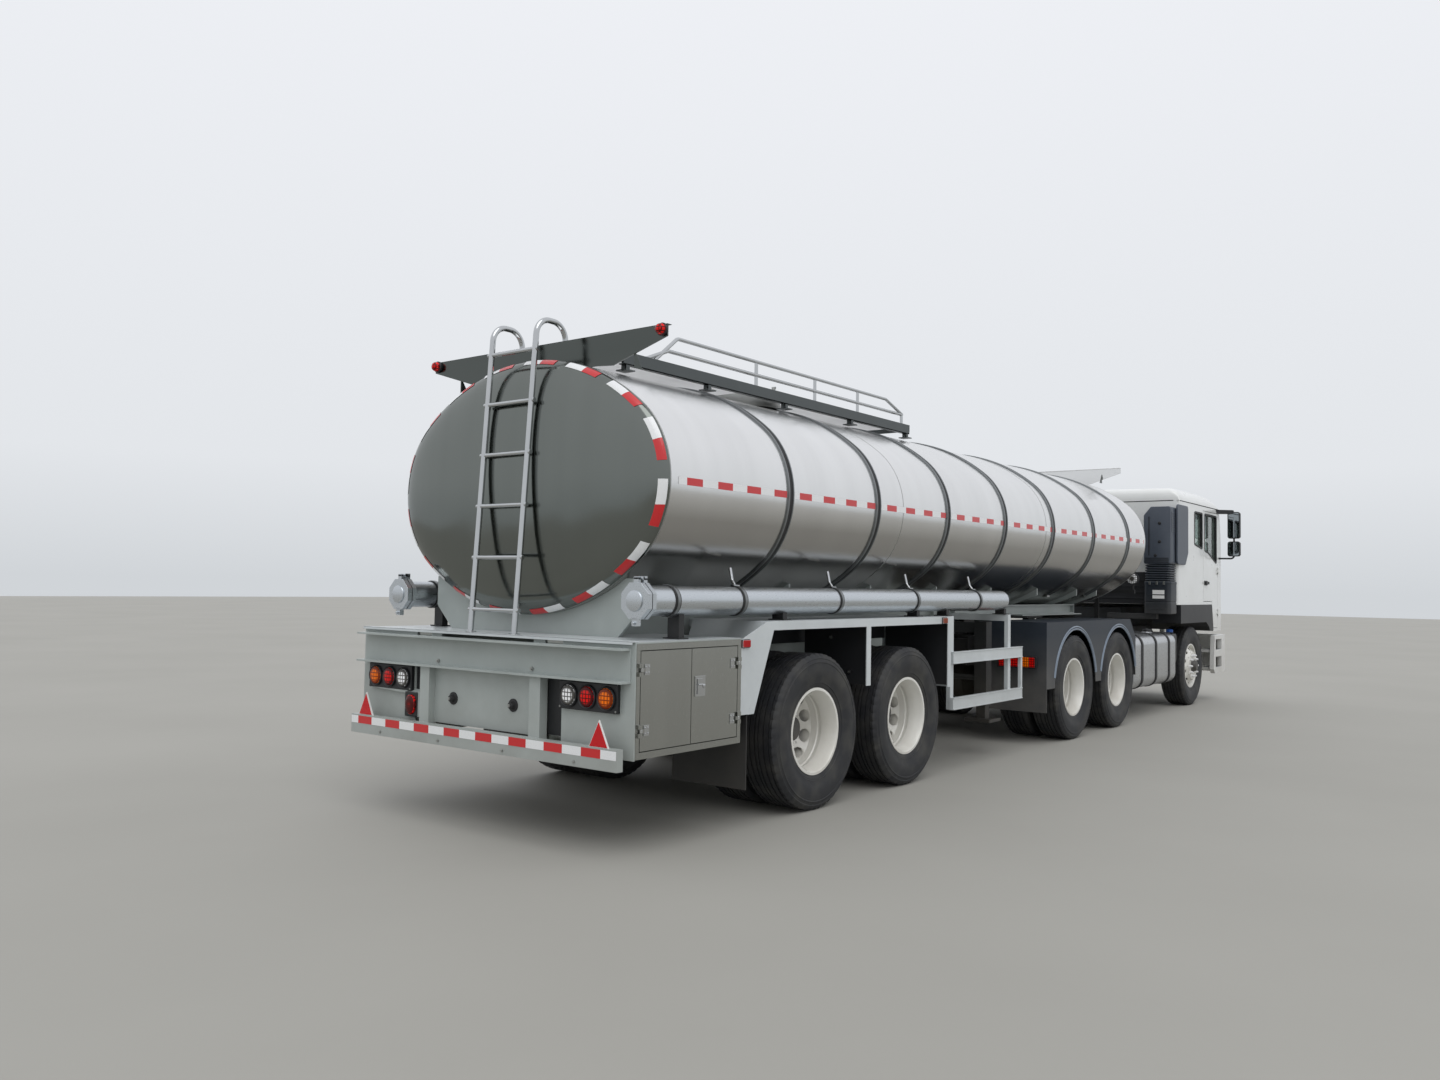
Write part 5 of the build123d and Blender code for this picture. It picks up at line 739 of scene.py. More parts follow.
rail_parts = []
for side in (-1, 1):
    y = side * HANDRAIL_Y
    for z, front in ((HANDRAIL_Z, WALKWAY_X[1] - 0.330), (3.150, WALKWAY_X[1] - 0.030)):
        rear = WALKWAY_X[0] + (0.62 if z == HANDRAIL_Z else 0.52)
        path = ((rear - 0.26, y, 3.045), (rear, y, z), (front, y, z),
            (WALKWAY_X[1] - 0.02, y, z - 0.10 * (z > 3.2)))
        rail_parts.append(tube(rounded_path(path, 0.060), 0.014, 16))
    rail_parts.append(tube(((WALKWAY_X[1] - 0.030, y, 3.150), (WALKWAY_X[1] - 0.030, y, 3.045)), 0.014, 16))
    for x in (-4.130, -3.300, -2.610):
        rail_parts.append(box(around(x, 0.018), around(y, 0.004), (3.045, HANDRAIL_Z)))
dress(piece("walkway_handrails", rail_parts, bright_tube), "trailer", "polished_aluminium")


def open_group(name, defaults):
    """A node group with named sizes: its tree, the keys of the sizes, and the node that gives them."""
    tree = bpy.data.node_groups.new(name, "GeometryNodeTree")
    tree.interface.new_socket("Geometry", in_out="OUTPUT", socket_type="NodeSocketGeometry")
    sizes = {}
    for label, value in defaults:
        kind = "NodeSocketInt" if label == "Count" else "NodeSocketFloat"
        socket = tree.interface.new_socket(label, in_out="INPUT", socket_type=kind)
        socket.default_value = value
        sizes[label] = socket.identifier
    return tree, sizes, add_node(tree, "NodeGroupInput")


def close_group(tree, points, solid, material):
    """Sets a solid down on every point, in one material, and hands the whole out."""
    rows = add_node(tree, "GeometryNodeInstanceOnPoints", links={"Points": points, "Instance": solid})
    real = add_node(tree, "GeometryNodeRealizeInstances", links={0: rows})
    coated = add_node(tree, "GeometryNodeSetMaterial", {"Material": material}, {"Geometry": real})
    add_node(tree, "NodeGroupOutput", links={0: coated})


def grating_tree(material):
    """Bars of a grating, one bar repeated along X: length, bar width, depth and pitch are its sizes."""
    tree, sizes, given = open_group("grating bars", (("Count", 10), ("Pitch", 0.05),
        ("Bar thickness", 0.004), ("Bar length", 0.8), ("Bar depth", 0.025)))
    size = add_node(tree, "ShaderNodeCombineXYZ", links={"X": given.outputs["Bar thickness"],
        "Y": given.outputs["Bar length"], "Z": given.outputs["Bar depth"]})
    bar = add_node(tree, "GeometryNodeMeshCube", links={"Size": size.outputs[0]})
    step = add_node(tree, "ShaderNodeCombineXYZ", links={"X": given.outputs["Pitch"]})
    row = add_node(tree, "GeometryNodeMeshLine",
        links={"Count": given.outputs["Count"], "Offset": step.outputs[0]})
    close_group(tree, row, bar, material)
    return tree, sizes


def grown(name, tree, sizes, values, start, turned=None):
    """The mesh that a geometry node tree gives for these sizes, set down at start."""
    seed = add_object(name + "_seed", bpy.data.meshes.new(name + "_seed"))
    modifier = seed.modifiers.new("repeat", "NODES")
    modifier.node_group = tree
    for label, value in values.items():
        modifier[sizes[label]] = value
    bpy.context.view_layer.update()
    evaluated = seed.evaluated_get(bpy.context.evaluated_depsgraph_get())
    mesh = bpy.data.meshes.new_from_object(evaluated)
    seed.modifiers.clear()
    bpy.data.objects.remove(seed)
    mesh.name = name
    mesh.transform(Matrix.Translation(start) @ (turned or Matrix.Identity(4)))
    return mesh


def bar_row(name, group, count, pitch, bar, start, turned=None):
    """A row of bars from start on along X, each of this (thickness, length, depth)."""
    values = {"Count": count, "Pitch": pitch, "Bar thickness": bar[0], "Bar length": bar[1],
        "Bar depth": bar[2]}
    return grown(name, *group, values, Vector(start), turned)


def placed(name, meshes):
    """One object of several meshes that share their material."""
    mesh = bpy.data.meshes.new(name)
    joined = bmesh.new()
    for part in meshes:
        joined.from_mesh(part)
    joined.to_mesh(mesh)
    joined.free()
    mesh.materials.append(meshes[0].materials[0])
    return add_object(name, mesh)


bars = grating_tree(galvanised)
BAR_PITCH = 0.040
BAR_THICKNESS, BAR_DEPTH = 0.004, 0.025
BAR_MID_Z = 3.035
grating_meshes = []
for rear, front in ((WALKWAY_X[0] + 0.02, MANHOLE_X - 0.36), (MANHOLE_X + 0.36, WALKWAY_X[1] - 0.01)):
    grating_meshes.append(bar_row("grating", bars, int((front - rear) / BAR_PITCH), BAR_PITCH,
        (BAR_THICKNESS, 0.886, BAR_DEPTH), (rear, 0, BAR_MID_Z)))
    for y in (-0.36, -0.24, -0.12, 0.0, 0.12, 0.24, 0.36):
        grating_meshes.append(bar_row("grating_tie", bars, 1, BAR_PITCH, (front - rear, 0.006, 0.006),
            ((rear + front) / 2, y, 3.046)))
for side in (-1, 1):
    grating_meshes.append(bar_row("grating_beside_neck", bars, 18, BAR_PITCH,
        (BAR_THICKNESS, 0.085, BAR_DEPTH), (MANHOLE_X - 0.34, side * 0.402, BAR_MID_Z)))
dress(placed("walkway_grating", grating_meshes), "trailer", "polished_aluminium")

# Hose tubes: a long rolled tube low on each side that holds the delivery hoses, strapped up to the saddles.
# Its rear end has an octagonal flange and a hinged cap of the same shape with a swing bolt.
TUBE_Y, TUBE_Z = 1.100, 1.430
TUBE_X = (-6.210, -1.195)
HOSE_TUBE_R = 0.090
CAP_HALF = 0.105
CLAMP_BACK = 0.45
CAP_PIN_X, CAP_PIN_Z = -6.236, 1.562
# Thin sheet rolled and welded to a tube: light grey, with marks along its length
tube_steel = stainless("spun_hose_tube", "#CDD2D6", 0.30, 5.0, 0.0003, 0.0006, (0.05, 1.0, 1.0))
# Chassis paint, sprayed and dusted by the road: matt black that turns brown towards the ground
matt_black = painted("black_chassis_paint", "#1C1D1F", "#2A2A29", 0.5, 2.5, 0.0004, 0.0, "#5B564C", 1.0, 0.3)


def octagon(y, z, half):
    """Corners of an octagon seen from behind, from its half width across the flats."""
    cut = half * 0.414
    return ((y - half, z - cut), (y - cut, z - half), (y + cut, z - half), (y + half, z - cut),
        (y + half, z + cut), (y + cut, z + half), (y - cut, z + half), (y - half, z + cut))


def plate_with_bore(outline, middle, bore, low, high, steps=32):
    """A plate across X with a round hole in it."""
    count = len(outline)
    rim, hole = [], []
    for i in range(steps):
        turn = 2 * pi * i / steps
        ray = (cos(turn), sin(turn))
        reach = 1e9
        for k in range(count):
            a = (outline[k][0] - middle[0], outline[k][1] - middle[1])
            b = (outline[(k + 1) % count][0] - middle[0], outline[(k + 1) % count][1] - middle[1])
            edge = (b[0] - a[0], b[1] - a[1])
            cross = ray[0] * edge[1] - ray[1] * edge[0]
            if abs(cross) < 1e-12:
                continue
            t = (a[0] * edge[1] - a[1] * edge[0]) / cross
            u = (a[0] * ray[1] - a[1] * ray[0]) / cross
            if t > 0 and -1e-9 <= u <= 1 + 1e-9:
                reach = min(reach, t)
        rim.append((middle[0] + ray[0] * reach, middle[1] + ray[1] * reach))
        hole.append((middle[0] + ray[0] * bore, middle[1] + ray[1] * bore))
    edges = ((rim, low), (rim, high), (hole, high), (hole, low))
    return closed_skin([[(x, *p) for p in line] for line, x in edges])


tube_parts, clamp_parts, clamp_edges, support_parts, hanger_parts = [], [], [], [], []
for side in (-1, 1):
    y = side * TUBE_Y
    tube_parts += [
        lathe(((TUBE_X[0], HOSE_TUBE_R), (TUBE_X[1] - 0.004, HOSE_TUBE_R), (TUBE_X[1], HOSE_TUBE_R - 0.004),
            (TUBE_X[1], 0.001), (TUBE_X[1] - 0.005, 0.001), (TUBE_X[1] - 0.005, HOSE_TUBE_R - 0.005),
            (TUBE_X[0], HOSE_TUBE_R - 0.005)), (0, y, TUBE_Z), (1, 0, 0), 64, True),
        plate_with_bore(octagon(y, TUBE_Z, CAP_HALF), (y, TUBE_Z), HOSE_TUBE_R - 0.005, TUBE_X[0] - 0.022,
            TUBE_X[0] + 0.010),
    ]
    for ear in around(y, 0.027):
        tube_parts += [
            box((TUBE_X[0] - 0.022, TUBE_X[0] + 0.008), around(ear, 0.007), (1.530, 1.560)),
            lathe(((-0.007, 0.011), (0.007, 0.011)), (CAP_PIN_X, ear, CAP_PIN_Z), (0, 1, 0), 20),
            box((CAP_PIN_X, TUBE_X[0] + 0.008), around(ear, 0.007), (1.551, 1.573)),
        ]
    tube_parts.append(lathe(((-0.034, 0.005), (0.034, 0.005)), (CAP_PIN_X, y, CAP_PIN_Z), (0, 1, 0), 16))
    for x, low in ((-5.900, DECK_TOP_Z), (-4.810, 1.300), (-2.900, 1.300), (-2.370, 1.300), (-1.180, 1.300)):
        support_parts += [
            box(around(x, 0.025), around(y, 0.045), (low + 0.0005, 1.352)),
            box(around(x, 0.045), around(y, 0.065), (low + 0.0005, low + 0.008)),
        ]
    for x in [-5.985] + [b - CLAMP_BACK for b in BAND_XS if TUBE_X[0] < b < TUBE_X[1]]:
        clamp_parts.append(lathe(((-0.024, 0.0905), (-0.024, 0.094), (-0.021, 0.0955), (0.021, 0.0955),
                (0.024, 0.094), (0.024, 0.0905)), (x, y, TUBE_Z), (1, 0, 0), 48, True))
        if x > -5.800:
            hook = [(x, side * 1.100, 1.528), (x + 0.01, side * 1.070, 1.560),
                (x + 0.02, side * 1.045, 1.640)]
            hanger_parts += [
                tube(rounded_path(hook, 0.02), 0.011, 14),
                box(around(x, 0.028), across(side, 1.082, 1.120), (1.5245, 1.5320)),
            ]
        clamp_edges.append(strap(0.012, 0.0955, 0.0985, (x, y, TUBE_Z)))
dress(piece("hose_tubes_dressed", tube_parts, tube_steel), "trailer", "stainless", "hose_tubes")
dress(piece("hose_tube_clamps", clamp_parts, matt_black), "trailer", "dark_band")
dress(soften(piece("hose_tube_hangers", hanger_parts, bright_tube), 0.002), "trailer", "stainless")
dress(piece("hose_tube_clamp_edges", clamp_edges, band_edge), "trailer", "dark_band")
dress(soften(piece("hose_tube_supports", support_parts, matt_black), 0.002), "trailer", "chassis")

SIDES = (("left", 1), ("right", -1))
for side_name, side in SIDES:
    y = side * TUBE_Y
    cap_parts = [
        prism(octagon(y, TUBE_Z, CAP_HALF), "x", -6.272, -6.237),
        box((-6.264, -6.248), around(y, 0.018), (1.530, 1.566)),
        box((-6.264, CAP_PIN_X), around(y, 0.018), (1.554, 1.570)),
        lathe(((-0.018, 0.011), (0.018, 0.011)), (CAP_PIN_X, y, CAP_PIN_Z), (0, 1, 0), 20),
        box((-6.272, -6.237), around(y, 0.020), (1.285, 1.330)),
        lathe(((0, 0.062), (-0.008, 0.060), (-0.010, 0.054), (-0.010, 0.0)), (-6.272, y, TUBE_Z), (1, 0, 0),
            40),
        lathe(((0, 0.010), (-0.014, 0.010), (-0.016, 0.008)), (-6.272, y, 1.303), (1, 0, 0), 6),
    ]
    dress(soften(piece(f"hose_tube_cap_{side_name}", cap_parts, tube_steel), 0.002),
        f"tube_cap_{side_name}", "stainless", f"tube_cap_{side_name}")

# Trailer frame and running gear frames: cut, folded and welded plate, sprayed light grey.
# Every cut edge is a little rounded, and road dust gathers on the low parts.
# Two-part enamel over primer, sprayed: light grey, fairly glossy, dusty low down
frame_paint = painted("light_grey_frame_enamel", "#A9B0AD", "#9CA3A0", 0.36, 3.0, 0.0004, 0.15, "#8E8A82",
    1.0, 0.35)


def rounded_copy(node, name, material, width, segments=2, crease=30):
    """A copy of a plain part with its triangles merged into whole faces and its edges rounded."""
    mesh = bpy.data.meshes.new(name)
    body = bmesh.new()
    body.from_mesh(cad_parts[node].data)
    bmesh.ops.remove_doubles(body, verts=body.verts, dist=2e-5)
    bmesh.ops.dissolve_limit(body, angle_limit=radians(0.6), use_dissolve_boundaries=False,
        verts=body.verts, edges=body.edges)
    limit = radians(crease)
    for face in body.faces:
        face.smooth = True
        face.material_index = 0
    for edge in body.edges:
        edge.smooth = len(edge.link_faces) != 2 or edge.calc_face_angle(0) < limit
    body.to_mesh(mesh)
    body.free()
    mesh.materials.clear()
    mesh.materials.append(material)
    made = add_object(name, mesh)
    return soften(made, width, segments, crease) if width else made


def dress_copy(node, finish, material, width, body, slot, segments=2):
    """Dresses a rounded copy of one plain part, which it stands for, in one material."""
    dress(rounded_copy(node, f"{node}_{finish}", material, width, segments), body, slot, node)


dress_copy("trailer_frame", "painted", frame_paint, 0.003, "trailer", "frame_grey")

# Rear deck: folded plate over the tail, an open channel beam, two lamp panels and the striped bumper bar.
# Six round lamps sit in two black boxes, a fog lamp hangs at the left, and red triangles stand on the bar.
TAIL_X = -6.530
# The same enamel a shade paler, on the wheel guards; on the deck's top the paler tone is painted light from
# above
pale_enamel_and_painted_top_light = painted("pale_grey_guard_enamel", "#CDD2D3", "#BFC4C5", 0.34, 3.0, 0.0004, 0.15, "#8E8A82",
    0.7, 0.3)
BRACKET_SHIFT = Vector((0, 0.045, -0.018))
# The deck's top plate is paler as painted light from above, and the fog lamp's bracket is shifted under its
# lamp
deck_copy = rounded_copy("rear_deck", "rear_deck_painted", frame_paint, 0.0025)
deck_copy.data.materials.append(pale_enamel_and_painted_top_light)
for face in deck_copy.data.polygons:
    if face.normal.z > 0.9 and face.center.z > 1.190:
        face.material_index = 1
for vertex in deck_copy.data.vertices:
    if vertex.co.x < -6.425 and 0.570 < vertex.co.y < 0.712 and 0.640 < vertex.co.z < 0.830:
        vertex.co += BRACKET_SHIFT
# The strips along the deck's top rear edge take the same paler enamel: painted light from above
deck_edge = [
    box((-6.4450, -6.3900), (-1.245, 1.245), (1.2036, 1.2076)),
    box((-6.4450, -6.4410), (-1.245, 1.245), (1.190, 1.2076)),
]
dress(soften(piece("rear_deck_edge", deck_edge, pale_enamel_and_painted_top_light), 0.0015, 2), "trailer", "frame_grey")
# A thin black sheet in the gap beside each lamp panel is painted shade
shade_parts = [box((-6.4140, -6.4105), across(side, 0.560, 0.800), (0.635, 1.000)) for side in (-1, 1)]
dress(piece("rear_gap_painted_shade", shade_parts, black_abs), "trailer", "black_plastic")
dress(deck_copy, "trailer", "frame_grey", "rear_deck")

bar_edges = [[(TAIL_X - 0.0012, y, z) for y in (1.222, -1.222)] for z in (0.562, 0.612)]
dress(strip("tape_bumper_bar", [bar_edges], [0.075], tape), "trailer", "white_paint")

box_parts, heart_parts, trim_parts, plate_parts = [], [], [], []
red_parts, amber_parts, clear_parts = [], [], []
LAMP_FACE_X = -6.452
LENS = ((0.0, 0.058), (-0.010, 0.058), (-0.016, 0.054), (-0.021, 0.030), (-0.022, 0.0))
for side in (-1, 1):
    box_parts.append(box((LAMP_FACE_X, -6.424), across(side, 0.690, 1.150), (0.802, 0.966)))
    for lens_list, y in ((clear_parts, 0.772), (red_parts, 0.920), (amber_parts, 1.068)):
        place = (LAMP_FACE_X, side * y, 0.884)
        trim_parts.append(lathe(((0.0, 0.069), (-0.012, 0.069), (-0.016, 0.064), (-0.012, 0.059),
                (0.0, 0.059)), place, (1, 0, 0), 48, True))
        lens_list.append(lathe(LENS, place, (1, 0, 0), 48))
dress(soften(piece("rear_lamp_boxes", box_parts, black_abs), 0.006, 3), "trailer", "black_plastic")
dress(piece("rear_lamp_rims", trim_parts, black_abs), "trailer", "black_plastic")
FOG_Y, FOG_Z = 0.685, 0.717
box_lamp = box((-6.453, -6.4205), around(FOG_Y, 0.071), around(FOG_Z, 0.083))
dress(soften(piece("fog_lamp_box", [box_lamp], black_abs), 0.010, 3), "trailer", "black_plastic")


def oval_lens(middle, half_y, half_z, depth, steps=40):
    """A shallow domed lens facing backwards, oval from behind."""
    rings = []
    for share, out in ((1.0, 0.0), (0.97, 0.5), (0.85, 0.8), (0.55, 0.95), (0.02, 1.0)):
        rings.append([(middle[0] - depth * out, middle[1] + half_y * share * cos(2 * pi * i / steps),
                middle[2] + half_z * share * sin(2 * pi * i / steps)) for i in range(steps)])
    return skin(rings)


red_parts.append(oval_lens((-6.4525, FOG_Y, FOG_Z), 0.052, 0.066, 0.018))
for side in (-1, 1):
    tip = [(side * 1.002, 0.619), (side * 1.154, 0.619), (side * 1.078, 0.772)]
    heart = [(side * 1.011, 0.624), (side * 1.145, 0.624), (side * 1.078, 0.759)]
    plate_parts.append(prism(tip, "x", TAIL_X + 0.0085, TAIL_X + 0.019))
    heart_parts.append(prism(heart, "x", TAIL_X + 0.005, TAIL_X + 0.0095))
    plate_parts.append(box((TAIL_X + 0.018, TAIL_X + 0.045), across(side, 1.070, 1.086), (0.615, 0.680)))
dress(piece("rear_red_lenses", red_parts, red_lens), "trailer", "black_plastic")
dress(piece("reflector_triangle_hearts", heart_parts, red_reflector), "trailer", "black_plastic")
dress(piece("rear_amber_lenses", amber_parts, amber_lens), "trailer", "black_plastic")
dress(piece("rear_clear_lenses", clear_parts, clear_lens), "trailer", "black_plastic")
# Signal white, rolled on: clean and even round the red reflectors
pale_paint = painted("white_signal_paint", "#E9E9E6", "#DCDCD8", 0.35, 3.0, 0.0003, 0.3)
dress(soften(piece("reflector_triangle_frames", plate_parts, pale_paint), 0.0015), "trailer", "white_paint")

BUFFER_YS, BUFFER_Z = (-0.280, 0.280), 0.784
KNOB = ((0, 0.040), (-0.005, 0.040), (-0.008, 0.026), (-0.030, 0.020), (-0.034, 0.013), (-0.034, 0.0))
knob_parts = [lathe(KNOB, (-6.432, y, BUFFER_Z), (1, 0, 0), 32) for y in BUFFER_YS]
dress(piece("rear_buffer_knobs", knob_parts, band_rubber), "trailer", "black_plastic")


def nut_tree(material):
    """Nuts on studs, evenly round a ring in the XY plane, with their count and radii as sizes."""
    tree, sizes, given = open_group("nuts round a ring", (("Count", 10), ("Ring radius", 0.14),
        ("Nut radius", 0.018), ("Nut height", 0.02), ("Stud radius", 0.010), ("Stud height", 0.034)))
    made = []
    for radius, height, sides in (("Nut radius", "Nut height", 6), ("Stud radius", "Stud height", 8)):
        body = add_node(tree, "GeometryNodeMeshCylinder", {"Vertices": sides},
            {"Radius": given.outputs[radius], "Depth": given.outputs[height]})
        lift = add_node(tree, "ShaderNodeMath", {1: 0.5}, {0: given.outputs[height]}, operation="MULTIPLY")
        raised = add_node(tree, "ShaderNodeCombineXYZ", links={"Z": lift})
        made.append(add_node(tree, "GeometryNodeTransform", links={"Geometry": body, "Translation": raised}))
    both = add_node(tree, "GeometryNodeJoinGeometry")
    for part in made:
        tree.links.new(part.outputs[0], both.inputs[0])
    ring = add_node(tree, "GeometryNodeMeshCircle", links={"Vertices": given.outputs["Count"],
        "Radius": given.outputs["Ring radius"]})
    close_group(tree, ring, both, material)
    return tree, sizes


def facing(axis):
    """A turn that lays the Z axis along another one."""
    return Vector((0, 0, 1)).rotation_difference(Vector(axis)).to_matrix().to_4x4()


# Zinc-plated steel: small heads that catch the light
zinc_bolt = stainless("zinc_plated_bolt", "#B4B5B2", 0.34, 1.0, 0.0002, 0.0, (1.0, 1.0, 1.0))
nut_ring = nut_tree(zinc_bolt)


def bolt(middle, axis, radius=0.013, height=0.010):
    """One hexagonal bolt head with its point."""
    profile = ((0, radius), (height, radius), (height, radius * 0.5), (height * 1.7, radius * 0.45),
        (height * 1.7, 0))
    return lathe(profile, middle, axis, 6)


bolt_parts = [bolt((-6.432, y, 1.013), (-1, 0, 0)) for y in (-0.438, 0.438)]
bolt_parts += [bolt((-6.4655, y, BUFFER_Z), (-1, 0, 0), 0.011, 0.006) for y in BUFFER_YS]
for side in (-1, 1):
    bolt_parts += [bolt((-6.4525, side * y, 0.815), (-1, 0, 0), 0.006, 0.004) for y in (0.700, 1.140)]
    bolt_parts += [bolt((-6.5305, side * y, 0.525), (-1, 0, 0), 0.009, 0.006) for y in (0.30, 0.90)]
dress(piece("rear_deck_bolts", bolt_parts, zinc_bolt), "trailer", "stainless")

# Cabinets: satin stainless boxes under the deck, their leaves of the same sheet on cast hinges.
# A recessed paddle latch in a chromed frame holds the front leaf shut over the rear one.
# Brushed stainless sheet, its grain upright: a soft sheen beside the painted frame
leaf_steel = stainless("brushed_cabinet_stainless", "#A8A9A4", 0.24, 2.5, 0.0002, 0.002, (1.0, 1.0, 0.05))
dress_copy("cabinets", "brushed", leaf_steel, 0.0025, "trailer", "stainless")
for leaf in ("rear", "front"):
    for side_name, side in SIDES:
        node = f"cabinet_door_{leaf}_{side_name}"
        dress_copy(node, "brushed", leaf_steel, 0.002, node, "stainless")
        hinge_x, way = (-6.3755, 1) if leaf == "rear" else (-5.4775, -1)
        parts = []
        for z in (0.712, 1.050):
            parts += [
                lathe(((-0.010, 0.0102), (0.010, 0.0102)), (hinge_x, side * 1.261, z), (0, 0, 1), 24),
                box(sorted((hinge_x + way * 0.030, hinge_x + way * 0.075)), across(side, 1.250, 1.254),
                    around(z, 0.030)),
            ]
            for dx, dz in ((0.040, 0.016), (0.065, 0.016), (0.040, -0.016), (0.065, -0.016)):
                parts.append(lathe(((0, 0.005), (0.002, 0.005), (0.003, 0.003)),
                    (hinge_x + way * dx, side * 1.254, z + dz), (0, side, 0), 10))
        if leaf == "front":
            x = -5.850
            parts += [
                box(around(x, 0.048), across(side, 1.249, 1.256), (0.870, 0.990)),
                box((x - 0.030, x + 0.014), across(side, 1.256, 1.262), (0.885, 0.975)),
                lathe(((0, 0.012), (0.006, 0.012), (0.007, 0.010)), (x + 0.030, side * 1.256, 0.930),
                    (0, side, 0), 20),
                tube(((x - 0.026, side * 1.264, 0.940), (x + 0.012, side * 1.264, 0.940)), 0.005, 10),
            ]
        dress(soften(piece(f"{node}_fittings", parts, bright_tube), 0.0012), node, "stainless")

# Side guards: the painted frame round each pair of wheels, its rubber flaps, and two rails ahead of it.
# Folded channel edges stiffen the frame; a marker lamp sits at each end of its upper edge.
# Moulded polypropylene: matt black; as linings over the wheels it is painted shade that keeps that space dark
black_lining_and_painted_shade = painted("black_mudguard_lining", "#1B1D20", "#26272A", 0.6, 3.0, 0.0005, 0.0, "#4A463E", 0.9,
    0.3)
LINED_FLAP_X = (-5.370, -5.350)
MIDDLE_POST_X = (-4.000, -3.960)
POST_CUT = 0.100
# The rear flap is lined in black low down, and the middle post is narrower than in the plain part
guard_copy = rounded_copy("side_guards", "side_guards_painted", pale_enamel_and_painted_top_light, 0.003)
guard_copy.data.materials.append(black_lining_and_painted_shade)
for face in guard_copy.data.polygons:
    if LINED_FLAP_X[0] < face.center.x < LINED_FLAP_X[1] and face.center.z < 0.760:
        face.material_index = 1
for vertex in guard_copy.data.vertices:
    post = MIDDLE_POST_X[0] < vertex.co.x < MIDDLE_POST_X[1] and abs(vertex.co.y) > 1.230
    if post and vertex.co.z < 1.250:
        vertex.co.x += POST_CUT
dress(guard_copy, "trailer", "frame_grey", "side_guards")
marker_base, red_marks, amber_marks = [], [], []
shade_lining_parts, flap_parts, lip_parts, flap_bolts = [], [], [], []
for side in (-1, 1):
    # Black linings under the guard's top, at its front end and inboard: painted shade over the wheels
    shade_lining_parts += [
        box((-5.085, -2.535), across(side, 0.605, 1.225), (1.2865, 1.2915)),
        box((-2.5345, -2.5295), across(side, 0.640, 1.225), (0.735, 1.286)),
        box((-5.090, -2.540), across(side, 0.6300, 0.6350), (1.100, 1.286)),
    ]
    flap_parts.append(box((-3.8300, -3.8240), across(side, 0.660, 1.2360), (0.812, 1.285)))
    for y, z in ((0.900, 1.150), (1.060, 0.900)):
        flap_bolts.append(bolt((-3.8305, side * y, z), (-1, 0, 0), 0.014, 0.010))
    for low in (0.515, 0.900):
        for z in (low + 0.004, low + 0.096):
            lip_parts.append(box((-2.408, -0.952), across(side, 1.2195, 1.2260), around(z, 0.004)))
    lip_parts.append(box((-0.985, -0.951), across(side, 1.190, 1.2195), (0.516, 0.999)))
    for x, z, lenses in ((-5.393, 1.165, red_marks), (-2.640, 1.268, amber_marks)):
        marker_base.append(box(around(x, 0.043), across(side, 1.2455, 1.252), around(z, 0.027)))
        lenses.append(box(around(x, 0.0385), across(side, 1.251, 1.262), around(z, 0.0225)))
dress(piece("mudguard_painted_shade_linings", shade_lining_parts, black_lining_and_painted_shade), "trailer", "black_plastic")
dress(soften(piece("mudguard_middle_flaps", flap_parts, black_lining_and_painted_shade), 0.002), "trailer", "black_plastic")
dress(piece("mudguard_flap_bolts", flap_bolts, zinc_bolt), "trailer", "stainless")
dress(soften(piece("side_guard_lips", lip_parts, pale_enamel_and_painted_top_light), 0.001), "trailer", "frame_grey")
dress(soften(piece("side_marker_bases", marker_base, black_abs), 0.003), "trailer", "black_plastic")
dress(soften(piece("side_markers_red", red_marks, red_reflector), 0.005, 3), "trailer", "black_plastic")
dress(soften(piece("side_markers_amber", amber_marks, amber_lens), 0.005, 3), "trailer", "black_plastic")

# Landing gear and trailer axles: square steel legs with their gear, and forged axles on leaf springs.
# Both are painted nearly black, and the axles carry thick primer under road dust.
dress_copy("landing_gear", "painted", matt_black, 0.004, "trailer", "chassis")
# Primer brushed on thick: matt and nearly black, under brown dust
axle_paint = painted("axle_primer", "#232425", "#3A3833", 0.6, 6.0, 0.001, 0.0, "#6B6457", 0.9, 0.35)
dress_copy("trailer_axles", "painted", axle_paint, 0.004, "trailer", "chassis")

# Tyres: radial truck tyres, moulded black rubber with four grooves, shoulder lugs and ribbed sidewalls.
# Two sit side by side on every rim but the front ones; lettering is left off.
TYRE_R = 0.535
TYRE_HALF = ((0.108, 0.288), (0.118, 0.300), (0.126, 0.316), (0.128, 0.330), (0.133, 0.333), (0.134, 0.345),
    (0.143, 0.372), (0.149, 0.405), (0.1497, 0.440), (0.1480, 0.468), (0.1505, 0.472), (0.1500, 0.478),
    (0.1462, 0.481), (0.1425, 0.496), (0.1440, 0.500), (0.1425, 0.505), (0.1330, 0.518), (0.122, 0.5330),
    (0.104, 0.5345))
TREAD_R = TYRE_R - 0.0004
GROOVES = (0.098, 0.056, 0.014)
GROOVE_MOUTH, GROOVE_FOOT, GROOVE_DEPTH = 0.0062, 0.0042, 0.013
LUG_CUT, SIPE_CUT = 0.006, 0.003
RUBBER_STEPS = 216
